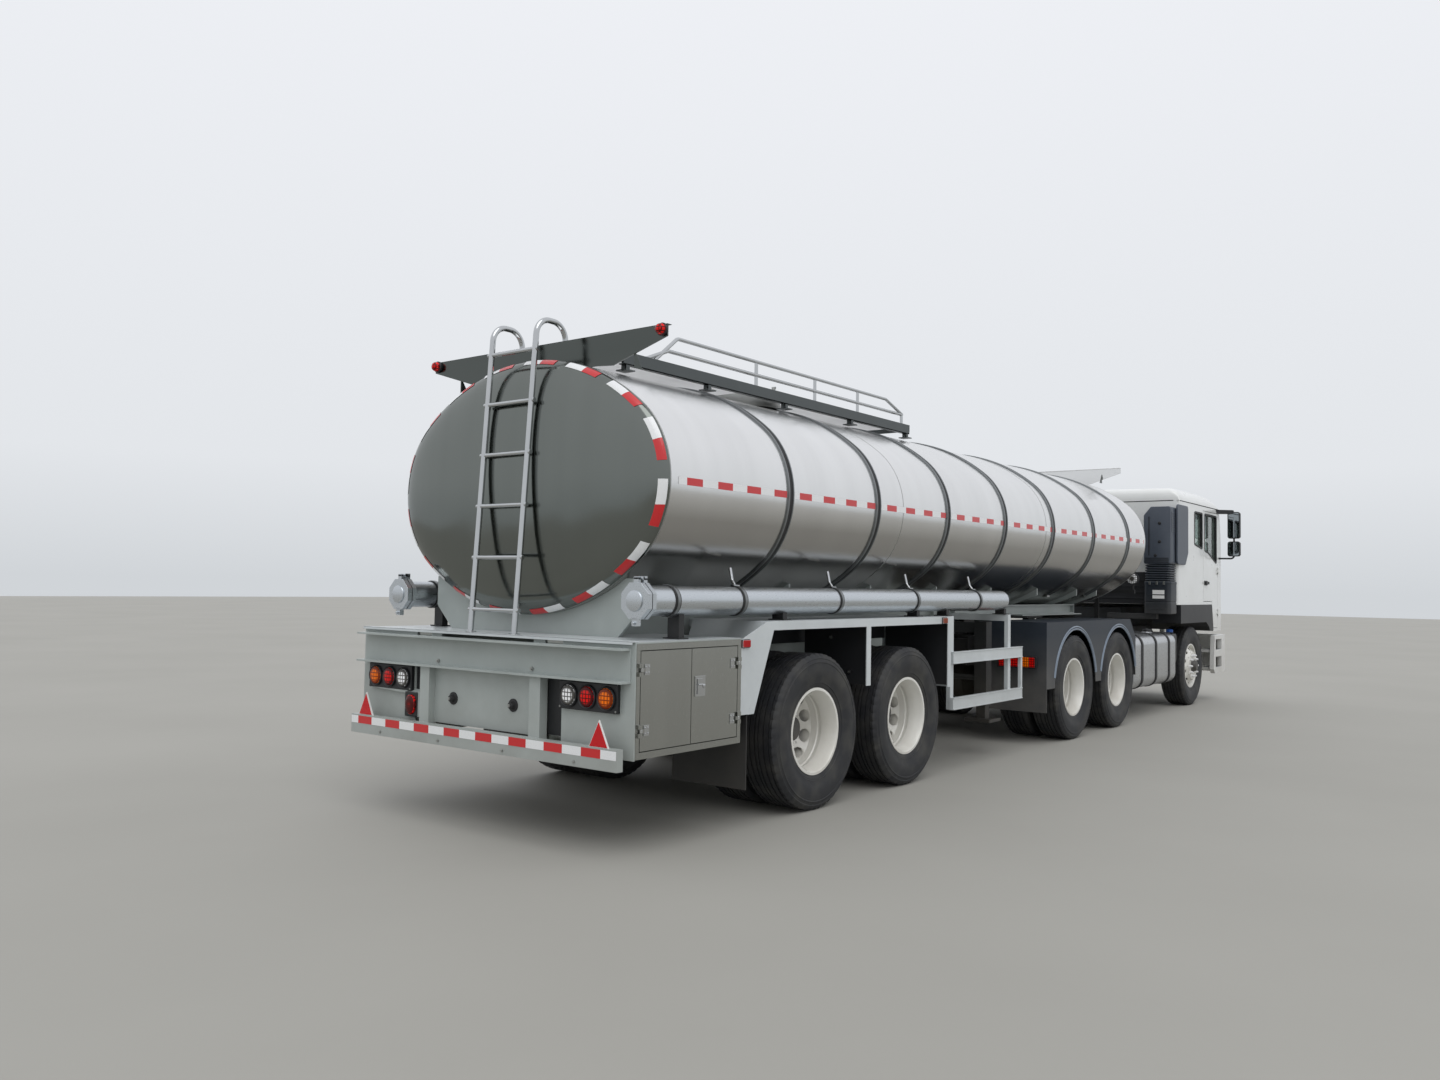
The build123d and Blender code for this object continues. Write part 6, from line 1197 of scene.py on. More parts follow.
# Vulcanised rubber with carbon black in it: matt and gritty, greyed by dust in patches
rubber, tree = new_material("vulcanised_tyre_rubber")
place = add_node(tree, "ShaderNodeTexCoord").outputs["Object"]
grit = add_node(tree, "ShaderNodeTexNoise", {"Scale": 260.0, "Detail": 3.0}, {"Vector": place})
dust = add_node(tree, "ShaderNodeTexNoise", {"Scale": 7.0, "Detail": 6.0}, {"Vector": place})
spread = add_node(tree, "ShaderNodeMapRange", {"From Min": 0.42, "From Max": 0.72}, {"Value": dust})
tone = add_node(tree, "ShaderNodeMix", {"A": srgb("#222326"), "B": srgb("#3B3A37")}, {"Factor": spread},
    data_type="RGBA")
relief = add_node(tree, "ShaderNodeBump", {"Strength": 0.35, "Distance": 0.0006}, {"Height": grit})
shader = add_node(tree, "ShaderNodeBsdfPrincipled", {"Roughness": 0.62},
    {"Base Color": tone, "Normal": relief})
add_node(tree, "ShaderNodeOutputMaterial", links={"Surface": shader})


def tyre(x, y):
    """One tyre: a closed ring whose tread columns dip at the grooves and between the shoulder lugs."""
    columns = [(-t, r) for t, r in TYRE_HALF]
    for middle in (-GROOVES[0], -GROOVES[1], -GROOVES[2], GROOVES[2], GROOVES[1], GROOVES[0]):
        columns += [(middle - GROOVE_MOUTH, TREAD_R), (middle - GROOVE_FOOT, TYRE_R - GROOVE_DEPTH),
            (middle + GROOVE_FOOT, TYRE_R - GROOVE_DEPTH), (middle + GROOVE_MOUTH, TREAD_R)]
    columns += reversed(TYRE_HALF)
    rings = []
    for t, r in columns:
        ring = []
        for i in range(RUBBER_STEPS):
            turn = 2 * pi * i / RUBBER_STEPS
            dip = 0.0
            if abs(t) > 0.100 and r > 0.515 and i % 4 == 0:
                dip = LUG_CUT
            elif 0.018 < abs(t) < 0.092 and r > 0.53 and i % 4 == 2:
                dip = SIPE_CUT
            ring.append((x + (r - dip) * cos(turn), y + t, TYRE_R + (r - dip) * sin(turn)))
        rings.append(ring)
    return closed_skin(rings)


# Rims: pressed steel discs in rolled rims, sprayed silver white, with a deep dish on the twin wheels.
# Each disc has ten oval hand holes, and ten studs with nuts round the hub.
# Rim enamel, sprayed: silver white and glossy, with a little brown dust low down
rim_paint = painted("silver_white_rim_enamel", "#E9E8E2", "#DCDAD2", 0.30, 2.0, 0.0003, 0.5, "#A8A092",
    0.80, 0.1)
# Cast hubs under thin dark enamel: a rough, dull skin in the middle of the bright rims
hub_paint = painted("hub_casting_enamel", "#454646", "#37373A", 0.5, 4.0, 0.0006, 0.0, "#6B6457", 0.9, 0.3)
# Bare cast-iron drums, coloured near black as painted shade, so that the hand holes read black
drum_painted_shade = painted("drum_iron_painted_shade", "#1F1E1D", "#2A2622", 0.75, 5.0, 0.001)
HAND_HOLES = 10


def turned_part(profile, x, y, side, steps=80, closed=True):
    """A turned part on a wheel's axle, from (outboard distance, radius) points."""
    return lathe(profile, (x, y, TYRE_R), (0, side, 0), steps, closed)


def holed_disc(x, y, side, foot, mouth, thick, hole, steps=24):
    """The disc's cone between two (distance out, radius) circles, with oval hand holes through it."""
    parts = []
    for k in range(HAND_HOLES):
        middle = 2 * pi * (k + 0.5) / HAND_HOLES
        span = pi / HAND_HOLES
        levels = []
        for scale, deep in ((None, 0.0), (1.12, 0.0), (1.0, 0.003), (1.0, thick), (None, thick)):
            ring = []
            for i in range(steps):
                a = 2 * pi * (i + 0.5) / steps
                cx, cy = cos(a), sin(a)
                if scale is None:
                    stretch = 1 / max(abs(cx), abs(cy))
                    u, v = cx * stretch, cy * stretch
                else:
                    u, v = cx * hole[0] * scale, cy * hole[1] * scale
                share = 0.5 + 0.5 * v
                turn = middle + u * span
                out = foot[0] + (mouth[0] - foot[0]) * share - deep
                radius = foot[1] + (mouth[1] - foot[1]) * share
                ring.append((x + radius * cos(turn), y + side * out, TYRE_R + radius * sin(turn)))
            levels.append(ring)
        parts.append(skin(levels, ends=False))
    return parts


def hub_nuts(name, x, y, side, ring_radius, body):
    """The ten wheel nuts on their studs."""
    values = {"Count": 10, "Ring radius": ring_radius, "Nut radius": 0.0185, "Nut height": 0.024,
        "Stud radius": 0.011, "Stud height": 0.040}
    dress(placed(name, [grown(name, *nut_ring, values, Vector((x, y, TYRE_R)), facing((0, side, 0)))]),
        body, "silver_rim")


TWIN_HALF = 0.175
RIM_BARREL = ((0.290, 0.2855), (0.293, 0.294), (0.2945, 0.2995), (0.297, 0.2985), (0.297, 0.281),
    (0.290, 0.276), (0.262, 0.273), (0.240, 0.262), (0.176, 0.259), (0.168, 0.264), (0.150, 0.264),
    (0.142, 0.258), (0.112, 0.258), (0.098, 0.252), (0.020, 0.254), (-0.050, 0.262), (-0.110, 0.266),
    (-0.290, 0.276), (-0.297, 0.281), (-0.297, 0.2985), (-0.2945, 0.2995), (-0.290, 0.2855),
    (-0.055, 0.2855), (-0.045, 0.272), (0.045, 0.272), (0.055, 0.2855))
TWIN_DISC = ((0.024, 0.1995), (0.014, 0.190), (0.014, 0.108), (0.002, 0.108), (0.002, 0.196), (0.012, 0.204))
TWIN_HUB = ((0.014, 0.109), (0.030, 0.104), (0.036, 0.084), (0.098, 0.076), (0.104, 0.082), (0.114, 0.082),
    (0.118, 0.076), (0.122, 0.050), (0.130, 0.040), (0.132, 0.0))
DRUM = ((-0.012, 0.0), (-0.012, 0.190), (-0.030, 0.212), (-0.270, 0.212), (-0.270, 0.0))
STATIONS = (("drive_front", 1.750, 0.925), ("drive_rear", 0.400, 0.925), ("trailer_front", -3.200, 0.910),
    ("trailer_rear", -4.510, 0.910))
TWIN_CONE = ((0.022, 0.198), (0.104, 0.2585), 0.010, (0.66, 0.74))


def dress_wheel(kind, word, body, middle, side, tyre_ys, sections, cone, nuts):
    """A wheel: tyres, rim with its holed disc, hub, drum, and nuts at a (distance out, radius)."""
    x, y = middle
    barrel_section, disc_section, hub_section, drum_section = sections
    tyre_name, rim_name = f"tyre{kind}_{word}", f"rim{kind}_{word}"
    dress(piece(f"{tyre_name}_moulded", [tyre(x, tyre_y) for tyre_y in tyre_ys], rubber, crease=24), body,
        "tyre", tyre_name)
    disc = [
        turned_part(barrel_section, x, y, side),
        turned_part(disc_section, x, y, side),
        *holed_disc(x, y, side, *cone),
    ]
    dress(piece(f"{rim_name}_pressed", disc, rim_paint), body, "silver_rim", rim_name)
    for name, section, finish in (("hub", hub_section, hub_paint), ("drum", drum_section, drum_painted_shade)):
        dress(piece(f"{name}_{word}", [turned_part(section, x, y, side, 48, False)], finish), body,
            "silver_rim")
    hub_nuts(f"wheel_nuts_{word}", x, y + side * nuts[0], side, nuts[1], body)


for station, x, twin_y in STATIONS:
    for side_name, side in SIDES:
        y = side * twin_y
        dress_wheel("s", f"{station}_{side_name}", f"wheels_{station}_{side_name}", (x, y), side,
            (y - TWIN_HALF, y + TWIN_HALF), (RIM_BARREL, TWIN_DISC, TWIN_HUB, DRUM), TWIN_CONE,
            (0.014, 0.150))

FRONT_AXLE_X, FRONT_Y = 5.050, 1.030
FRONT_BARREL = ((0.115, 0.2855), (0.118, 0.294), (0.1195, 0.2995), (0.122, 0.2985), (0.122, 0.281),
    (0.115, 0.276), (0.080, 0.270), (0.068, 0.2655), (0.054, 0.2655), (-0.060, 0.266), (-0.115, 0.276),
    (-0.122, 0.281), (-0.122, 0.2985), (-0.1195, 0.2995), (-0.115, 0.2855))
FRONT_DISC = ((0.142, 0.1935), (0.150, 0.186), (0.150, 0.094), (0.138, 0.094), (0.138, 0.184), (0.132, 0.190))
FRONT_HUB = ((0.138, 0.095), (0.160, 0.088), (0.166, 0.075), (0.196, 0.068), (0.205, 0.060), (0.205, 0.0))
FRONT_DRUM = ((0.106, 0.0), (0.106, 0.170), (0.096, 0.198), (-0.105, 0.202), (-0.105, 0.0))
FRONT_CONE = ((0.141, 0.192), (0.066, 0.264), 0.010, (0.44, 0.50))
for side_name, side in SIDES:
    y = side * FRONT_Y
    dress_wheel("", f"front_{side_name}", f"wheel_front_{side_name}", (FRONT_AXLE_X, y), side, (y,),
        (FRONT_BARREL, FRONT_DISC, FRONT_HUB, FRONT_DRUM), FRONT_CONE, (0.150, 0.145))
    dress_copy(f"knuckle_{side_name}", "cast", axle_paint, 0.003, f"steer_knuckle_{side_name}", "cast")

# Tractor frame: pressed channel rails with cross members, sprayed black, under all that is behind the cab.
# A round work lamp and the air couplings stand on a post behind the cab; the lamp bar closes the tail.
dress_copy("tractor_frame", "painted", matt_black, 0.003, "tractor", "chassis")
lamp_place = (3.455, -0.860, 1.700)
LAMP_SHELL = ((0.076, 0.0), (0.076, 0.045), (0.055, 0.068), (0.004, 0.0725), (-0.002, 0.0725),
    (-0.002, 0.066), (0.004, 0.063), (0.004, 0.0))
dress(piece("work_lamp_shell", [lathe(LAMP_SHELL, lamp_place, (1, 0, 0), 48, True)], black_abs), "tractor",
    "black_plastic")
dress(piece("work_lamp_lens", [lathe(((0.005, 0.0655), (0.000, 0.0655), (-0.005, 0.050), (-0.009, 0.025),
        (-0.010, 0.0)), lamp_place, (1, 0, 0), 48)], clear_lens), "tractor", "glass")
bar_red, bar_amber, bar_case, coupling_parts = [], [], [], []
for side in (-1, 1):
    for lenses, low, high in ((bar_red, 0.775, 0.985), (bar_amber, 0.990, 1.085), (bar_red, 1.090, 1.145)):
        lenses.append(box((-0.4795, -0.4700), across(side, low, high), (0.772, 0.868)))
    bar_case.append(box((-0.4730, -0.4395), across(side, 0.757, 1.163), (0.762, 0.878)))
dress(soften(piece("tractor_lamp_cases", bar_case, black_abs), 0.004, 3), "tractor", "black_plastic")
dress(soften(piece("tractor_lamps_red", bar_red, red_lens), 0.004, 3), "tractor", "black_plastic")
dress(soften(piece("tractor_lamps_amber", bar_amber, amber_lens), 0.004, 3), "tractor", "black_plastic")
# Die-cast coupling caps, enamelled: two small spots of clear colour
red_enamel = painted("red_coupling_enamel", "#B5261E", "#8F241C", 0.4, 2.0, 0.0003)
yellow_enamel = painted("yellow_coupling_enamel", "#D9A514", "#B38A18", 0.4, 2.0, 0.0003)
COUPLING = ((0.0, 0.030), (-0.020, 0.030), (-0.024, 0.022), (-0.060, 0.022), (-0.062, 0.0))
COUPLING_CAP = ((-0.052, 0.031), (-0.066, 0.031), (-0.070, 0.026), (-0.070, 0.0))
COUPLING_PLUG = ((-0.052, 0.034), (-0.066, 0.034), (-0.069, 0.028), (-0.069, 0.0))
coupling_caps = {"red": [], "yellow": []}
for y, colour in ((-0.42, "red"), (-0.27, "yellow"), (-0.12, None), (0.03, None)):
    place = (3.4755, y, 1.535)
    coupling_parts += [
        lathe(COUPLING, place, (1, 0, 0), 28),
        box((3.470, 3.476), around(y, 0.038), (1.512, 1.558)),
    ]
    if colour:
        coupling_caps[colour].append(lathe(COUPLING_CAP, place, (1, 0, 0), 28))
    else:
        coupling_parts.append(lathe(COUPLING_PLUG, place, (1, 0, 0), 28))
dress(piece("air_couplings", coupling_parts, black_abs), "tractor", "black_plastic")
for colour, paint in (("red", red_enamel), ("yellow", yellow_enamel)):
    dress(piece(f"coupling_cap_{colour}", coupling_caps[colour], paint), "tractor", "black_plastic")

# Fifth wheel: a cast horseshoe plate, greased black where the trailer slides on it, on two bolted feet.
# Its slot opens to the rear; the grease shines beside the dry paint round it.
greased_cast = painted("greased_cast_steel", "#1B1917", "#3A332A", 0.32, 8.0, 0.0010, 0.2)
COUPLING_X = 1.250
BORE_GROWTH = 1.06
PLATE_DROP = 0.0006
# The copy's bore is a little wider and its top lower, so that the trailer swings clear of it
wheel_copy = rounded_copy("fifth_wheel", "fifth_wheel_greased", greased_cast, 0.004)
for vertex in wheel_copy.data.vertices:
    if hypot(vertex.co.x - COUPLING_X, vertex.co.y) < 0.030:
        vertex.co.x = COUPLING_X + (vertex.co.x - COUPLING_X) * BORE_GROWTH
        vertex.co.y *= BORE_GROWTH
    if vertex.co.z > 1.2490:
        vertex.co.z -= PLATE_DROP
dress(wheel_copy, "tractor", "greased_steel", "fifth_wheel")

# Axles, springs and shafts: forged and rolled steel in dark primer, dusted by the road.
# Tractor and trailer share the primer, so that their running gear reads as one.
dress_copy("tractor_axles", "painted", axle_paint, 0.004, "tractor", "chassis")

# Engine and gearbox: cast iron and aluminium under the cab, sprayed one dull grey.
# Wide rounded edges give them the look of castings, where they show between the rails.
engine_grey = painted("sprayed_engine_castings", "#4C5054", "#3A3B3B", 0.5, 6.0, 0.0012, 0.0, "#4A443A",
    1.2, 0.4)
dress_copy("engine_block", "sprayed", engine_grey, 0.012, "tractor", "cast", 3)

# Left side: battery box with a ribbed plastic lid, two air reservoirs in their straps, and the silencer.
# The lid's ribs, the straps and the shield with its raised bars are pieces of their own.
dress_copy("battery_box", "painted", matt_black, 0.008, "tractor", "chassis", 3)
lid_ribs, strap_parts, silencer_parts = [], [], []
lid_ribs.append(box((2.360, 3.080), (0.475, 1.206), (0.985, 1.010)))
for i in range(8):
    x = 2.42 + 0.086 * i
    lid_ribs.append(box(around(x, 0.016), (0.520, 1.165), (1.009, 1.018)))
for x in (2.52, 2.92):
    lid_ribs.append(box(around(x, 0.020), (1.200, 1.212), (0.840, 1.000)))
dress(soften(piece("battery_lid", lid_ribs, black_abs), 0.004, 2), "tractor", "black_plastic")
for z in (0.560, 0.840):
    for x in (3.280, 3.880):
        strap_parts.append(strap(0.018, 0.1245, 0.128, (x, 0.700, z)))
dress(piece("reservoir_straps", strap_parts, galvanised), "tractor", "stainless")
# Folded stainless shield, brushed upright and dulled by heat: a flat grey sheen
perforated = stainless("silencer_shield_steel", "#8C8B88", 0.30, 3.0, 0.0003, 0.001, (1.0, 1.0, 0.05))
silencer_parts.append(box((3.150, 4.020), (1.1990, 1.2060), (0.450, 0.870)))
for i in range(9):
    x = 3.230 + 0.0885 * i
    silencer_parts.append(box(around(x, 0.020), (1.2050, 1.2110), (0.500, 0.820)))
dress(soften(piece("silencer_shield", silencer_parts, perforated), 0.003, 2), "tractor", "stainless")

# Fuel tank: a rounded box of brushed aluminium sheet with pressed, welded ends, on two brackets.
# Three black straps hold it, and a small plastic tank with a blue cap hangs ahead of it.
FUEL_X = (2.390, 4.090)
FUEL_Y = (-1.220, -0.560)
FUEL_Z = (0.366, 1.015)
FILLER = (3.590, -1.000, FUEL_Z[1])
UREA_MOUTH_X, UREA_MOUTH_Y = 4.345, -1.070
# Aluminium sheet brushed from end to end: light, with fine long marks
brushed_aluminium = stainless("brushed_tank_aluminium", "#C2C4C6", 0.30, 3.0, 0.0003, 0.002, (0.04, 1.0, 1.0))


def rounded_outline(corners, radius, steps=6):
    """A closed outline of two-number points with every corner rounded."""
    corners = [Vector((*c, 0)) for c in corners]
    start = (corners[0] + corners[-1]) / 2
    return [(p.x, p.y) for p in rounded_path([start, *corners, start], radius, steps)[:-1]]


def rectangle(u, v):
    """The four corners of a rectangle from its two limits each way."""
    return [(u[0], v[0]), (u[1], v[0]), (u[1], v[1]), (u[0], v[1])]


def drawn_in(outline, distance):
    """An outline moved inwards by a distance, point by point."""
    count = len(outline)
    area = sum(a[0] * b[1] - b[0] * a[1] for a, b in zip(outline, outline[1:] + outline[:1]))
    way = distance if area > 0 else -distance
    moved = []
    for i, (u, v) in enumerate(outline):
        before, after = outline[i - 1], outline[(i + 1) % count]
        du, dv = after[0] - before[0], after[1] - before[1]
        length = hypot(du, dv)
        moved.append((u - dv / length * way, v + du / length * way))
    return moved


def stepped(outline, axis, levels):
    """A plate whose outline is drawn in at levels: (value of the third axis, distance drawn in)."""
    return skin([laid(drawn_in(outline, inward), axis, value) for value, inward in levels])


def frame_plate(outline, widths, axis, low, high):
    """A flat frame between two distances drawn in from an outline, and two values of the third axis."""
    outer, inner = drawn_in(outline, widths[0]), drawn_in(outline, widths[1])
    edges = ((outer, low), (outer, high), (inner, high), (inner, low))
    return closed_skin([laid(edge, axis, value) for edge, value in edges])


fuel_outline = rounded_outline(rectangle(FUEL_Y, FUEL_Z), 0.130, 14)
fuel_levels = [(FUEL_X[0] + 0.010, 0.090), (FUEL_X[0] + 0.010, 0.062), (FUEL_X[0], 0.048),
    (FUEL_X[0], 0.014), (FUEL_X[0] + 0.006, 0.003), (FUEL_X[0] + 0.018, 0.0), (FUEL_X[0] + 0.060, 0.0)]
fuel_levels += [(FUEL_X[0] + FUEL_X[1] - value, inward) for value, inward in reversed(fuel_levels)]
fuel_parts = [
    stepped(fuel_outline, "x", fuel_levels),
    lathe(((-0.020, 0.064), (0.006, 0.064), (0.010, 0.060)), FILLER, (0, 0, 1), 40),
]
dress(piece("fuel_tank_brushed", fuel_parts, brushed_aluminium), "tractor", "polished_aluminium", "fuel_tank")
strap_parts, bracket_parts, cap_parts = [], [], []
for x in (2.690, 3.240, 3.790):
    strap_parts.append(frame_plate(fuel_outline, (-0.0080, 0.001), "x", x - 0.030, x + 0.030))
    bracket_parts.append(prism(((-0.4303, 1.000), (-0.4303, 0.480), (-0.565, 0.430), (-0.565, 0.950)), "x",
        x - 0.025, x + 0.025))
dress(soften(piece("fuel_tank_straps", strap_parts, band_rubber), 0.002, 2), "tractor", "chassis")
dress(soften(piece("fuel_tank_brackets", bracket_parts, matt_black), 0.003, 2), "tractor", "chassis")
cap_parts += [
    lathe(((0.010, 0.050), (0.012, 0.055), (0.038, 0.055), (0.044, 0.050), (0.045, 0.0)), FILLER, (0, 0, 1),
        40),
    box((3.545, 3.635), (-1.006, -0.994), (1.058, 1.068)),
]
dress(soften(piece("fuel_cap", cap_parts, black_abs), 0.003, 2), "tractor", "black_plastic")
# Moulded polypropylene in signal blue: one small spot of colour
blue_cap_plastic = painted("moulded_blue_cap", "#1F55A5", "#1A4A90", 0.35, 2.0, 0.0003)
small_tank = [
    stepped(rounded_outline(rectangle((4.150, 4.405), (0.610, 0.990)), 0.050, 6), "y",
        [(-1.150, 0.020), (-1.143, 0.004), (-1.130, 0.0), (-0.770, 0.0), (-0.757, 0.004), (-0.750, 0.020)]),
    lathe(((-0.010, 0.050), (0.012, 0.050), (0.016, 0.044)), (UREA_MOUTH_X, UREA_MOUTH_Y, 0.990), (0, 0, 1),
        32),
    box((4.200, 4.360), (-0.760, -0.4305), (0.660, 0.700)),
    box((4.200, 4.360), (-0.760, -0.4305), (0.880, 0.920)),
]
dress(piece("urea_tank_moulded", small_tank, black_abs), "tractor", "black_plastic")
dress(piece("urea_cap", [lathe(((0.0, 0.040), (0.004, 0.044), (0.034, 0.044), (0.040, 0.038), (0.040, 0.0)),
        (UREA_MOUTH_X, UREA_MOUTH_Y, 1.003), (0, 0, 1), 32)], blue_cap_plastic), "tractor", "black_plastic")

# Air filter: a moulded box beside the frame with a ribbed rubber sleeve on top, under the cab's intake.
# Three clips hold its lid, and a blank white label sits on its rear face.
AIR_X = (3.890, 4.205)
AIR_Y = (-1.210, -0.870)
RAIL_TOP_Z = 1.0503
# Moulded polypropylene housing: blue-black, dusty towards the ground
filter_black = painted("moulded_filter_housing", "#1A2129", "#242C35", 0.45, 2.0, 0.0004, 0.0, "#6B655A",
    1.6, 1.0)
filter_outline = rounded_outline(rectangle(AIR_X, AIR_Y), 0.050, 6)
filter_levels = [(1.250, 0.012), (1.256, 0.002), (1.270, 0.0), (1.395, 0.0), (1.398, 0.006), (1.412, 0.006),
    (1.415, 0.0), (1.640, 0.0), (1.644, -0.004), (1.664, -0.004), (1.668, 0.0), (1.674, 0.004),
    (1.678, 0.030)]
filter_parts = [stepped(filter_outline, "z", filter_levels)]
for z in (1.32, 1.50, 1.62):
    filter_parts.append(box((AIR_X[0] - 0.004, AIR_X[0] + 0.002), (AIR_Y[0] + 0.06, AIR_Y[1] - 0.06),
        around(z, 0.006)))
filter_parts += [
    box((4.000, 4.100), (-1.000, -0.360), (1.180, 1.2505)),
    box((4.000, 4.100), (-0.430, -0.360), (RAIL_TOP_Z, 1.190)),
]
dress(soften(piece("air_filter_housing", filter_parts, filter_black), 0.002, 2), "tractor", "black_plastic",
    "air_filter")
sleeve_levels = []
for i in range(7):
    z = 1.677 + i * 0.0310
    sleeve_levels += [(z, 0.034), (z + 0.008, 0.012), (z + 0.013, 0.008), (z + 0.018, 0.008),
        (z + 0.023, 0.012)]
sleeve_levels.append((1.8950, 0.034))
# Moulded rubber bellows: dark grey, with a sheen that shows its ribs
sleeve_rubber = painted("ribbed_intake_rubber", "#2B3037", "#3A4048", 0.35, 3.0, 0.0003)
dress(piece("air_filter_sleeve", [stepped(filter_outline, "z", sleeve_levels)], sleeve_rubber, crease=40),
    "tractor", "black_plastic")
clip_parts = []
for y in (-1.13, -1.04, -0.95):
    clip_parts.append(box((AIR_X[0] - 0.009, AIR_X[0] - 0.003), around(y, 0.012), (1.630, 1.675)))
dress(soften(piece("air_filter_clips", clip_parts, zinc_bolt), 0.002, 2), "tractor", "stainless")
label = box((AIR_X[0] - 0.0012, AIR_X[0]), (-1.135, -0.985), (1.450, 1.560))
dress(soften(piece("air_filter_label", [label], pale_paint), 0.0004, 1), "tractor", "white_paint")

# Intake snorkel: a tall moulded duct on the cab's rear corner, with louvres high on its outer face.
# A flat fairing leads it forward along the cab's side; screws and ribs break up its rear face.
snorkel_outline = rounded_outline([(AIR_Y[0], 1.900), (AIR_Y[1], 1.900), (AIR_Y[1], 2.540), (-0.960, 2.650),
    (AIR_Y[0], 2.650)], 0.030, 5)
snorkel_parts = [stepped(snorkel_outline, "x", [(AIR_X[0], 0.014), (AIR_X[0] + 0.004, 0.004),
        (AIR_X[0] + 0.014, 0.0), (AIR_X[1] - 0.014, 0.0), (AIR_X[1] - 0.004, 0.004), (AIR_X[1], 0.014)])]
snorkel_marks = [box((AIR_X[0] - 0.003, AIR_X[0] + 0.004), (-0.946, -0.934), (2.010, 2.520))]
for z in (1.925, 1.950, 1.975):
    snorkel_marks.append(box((AIR_X[0] - 0.006, AIR_X[0] + 0.004), (AIR_Y[0] + 0.020, AIR_Y[1] - 0.020),
        around(z, 0.005)))
for i in range(9):
    z = 2.330 + 0.030 * i
    snorkel_parts.append(box((3.930, 4.165), (-1.2165, -1.2085), (z - 0.009, z + 0.004)))
for z in (2.030, 2.530):
    snorkel_parts.append(box((4.203, 4.2397), (-1.120, -0.960), around(z, 0.030)))
# Moulded polypropylene bleached by the sun: slate grey beside the white cab
duct_slate = painted("moulded_slate_duct", "#434A55", "#4D545E", 0.4, 2.0, 0.0004)
dress(soften(piece("snorkel_duct", snorkel_parts, duct_slate), 0.002, 2), "cab", "black_plastic", "snorkel")
fairing = rounded_outline(((4.100, 1.900), (4.470, 1.900), (4.600, 2.060), (4.600, 2.690), (4.100, 2.690)),
    0.050, 6)
dress(soften(piece("snorkel_side_fairing", [prism(fairing, "y", -1.2440, -1.2205)], duct_slate), 0.006, 3),
    "cab", "black_plastic")
SCREW = ((0, 0.020), (-0.005, 0.020), (-0.008, 0.014), (-0.008, 0.0))
for y, z in ((-1.074, 2.430), (-1.074, 2.190), (-1.021, 2.010)):
    snorkel_marks.append(lathe(SCREW, (AIR_X[0], y, z), (1, 0, 0), 20))
dress(piece("snorkel_screws_and_ribs", snorkel_marks, black_abs), "cab", "black_plastic")

# Mudguards over the driven wheels: slate plastic shells with rolled lips round the arches and spray flaps.
# Road dust lies on the shells, thickest near the ground; the lips are smooth, and paler as a painted
# highlight.
slate_plastic = painted("moulded_slate_mudguard", "#1F2731", "#28303A", 0.50, 3.0, 0.0005, 0.0, "#7A746A",
    1.1, 0.5)
# The lips' skin is worn smooth by spray and shinier than the shells; their paler colour is a painted
# highlight
lip_painted_highlight = painted("rolled_mudguard_lip", "#8692A0", "#6A7583", 0.30, 3.0, 0.0003)
dress_copy("drive_mudguards", "moulded", slate_plastic, 0.005, "tractor", "black_plastic")
lip_parts = []
for side in (-1, 1):
    for x in (1.750, 0.400):
        for radius in (0.600, 0.624):
            arc = []
            for i in range(41):
                a = radians(12 + 156 * i / 40)
                z = TYRE_R + radius * sin(a)
                arc.append((x + radius * cos(a), side * 1.2430, min(z, 1.200)))
            lip_parts.append(tube(arc, 0.0095, 10))
dress(piece("drive_mudguard_lips", lip_parts, lip_painted_highlight), "tractor", "black_plastic")

# Bumper: pressed steel sprayed with the cab, a step cut in each end, and twin lamps behind clear lenses.
# Each pair of lamps stands in a moulded bezel, and galvanised treads lie on the steps.
# Cab enamel over pressed steel: white and glossy, greyed by road film low down
cab_white = painted("white_cab_enamel", "#E6E7E5", "#DFE0DD", 0.28, 2.5, 0.0002, 0.6, "#A39C90", 1.25, 0.5)
dress_copy("front_bumper", "painted", cab_white, 0.006, "tractor", "cab_white", 3)
bezel_parts, headlamp_parts, step_parts, grille_parts = [], [], [], []
for side in (-1, 1):
    bezel_parts += [
        box((6.5003, 6.5040), across(side, 0.8205, 1.1295), (0.6505, 0.7995)),
        frame_plate(rounded_outline(rectangle(across(side, 0.815, 1.135), (0.645, 0.805)), 0.012, 3),
            (0.0, 0.008), "x", 6.5000, 6.5325),
    ]
    for y in (0.8975, 1.0525):
        bezel_parts.append(lathe(((0.0, 0.0625), (0.0, 0.070), (0.022, 0.070), (0.024, 0.067),
                (0.022, 0.0625)), (6.502, side * y, 0.725), (1, 0, 0), 48, True))
        headlamp_parts.append(lathe(((0.0, 0.0623), (0.006, 0.058), (0.0095, 0.040), (0.011, 0.0)),
            (6.5222, side * y, 0.725), (1, 0, 0), 48))
    for z in (0.470, 0.720):
        for x in [5.995 + 0.034 * i for i in range(11)]:
            step_parts.append(box(around(x, 0.005), across(side, 1.090, 1.232), (z - 0.001, z + 0.005)))
dress(soften(piece("headlamp_bezels", bezel_parts, black_abs), 0.002, 2), "tractor", "black_plastic")
dress(piece("headlamp_lenses", headlamp_parts, clear_lens), "tractor", "glass")
dress(piece("step_treads", step_parts, galvanised), "tractor", "stainless")

# Cab: a welded steel shell sprayed white, lined with grey moulded trim and open where the windows are.
# Black fins fill the seven grille openings, and a blank panel stands between the headlamps.
SCREEN_ORIGIN = Vector((6.5, 0, 1.95))
SCREEN_OUT = Vector((0.970, 0, 0.2425)).normalized()
SCREEN_UP = Vector((-0.2425, 0, 0.970)).normalized()
CAB_SKIN_Y = 1.162
LINED_Z = (1.0, 2.93)
LINED_FRONT_X = 6.46
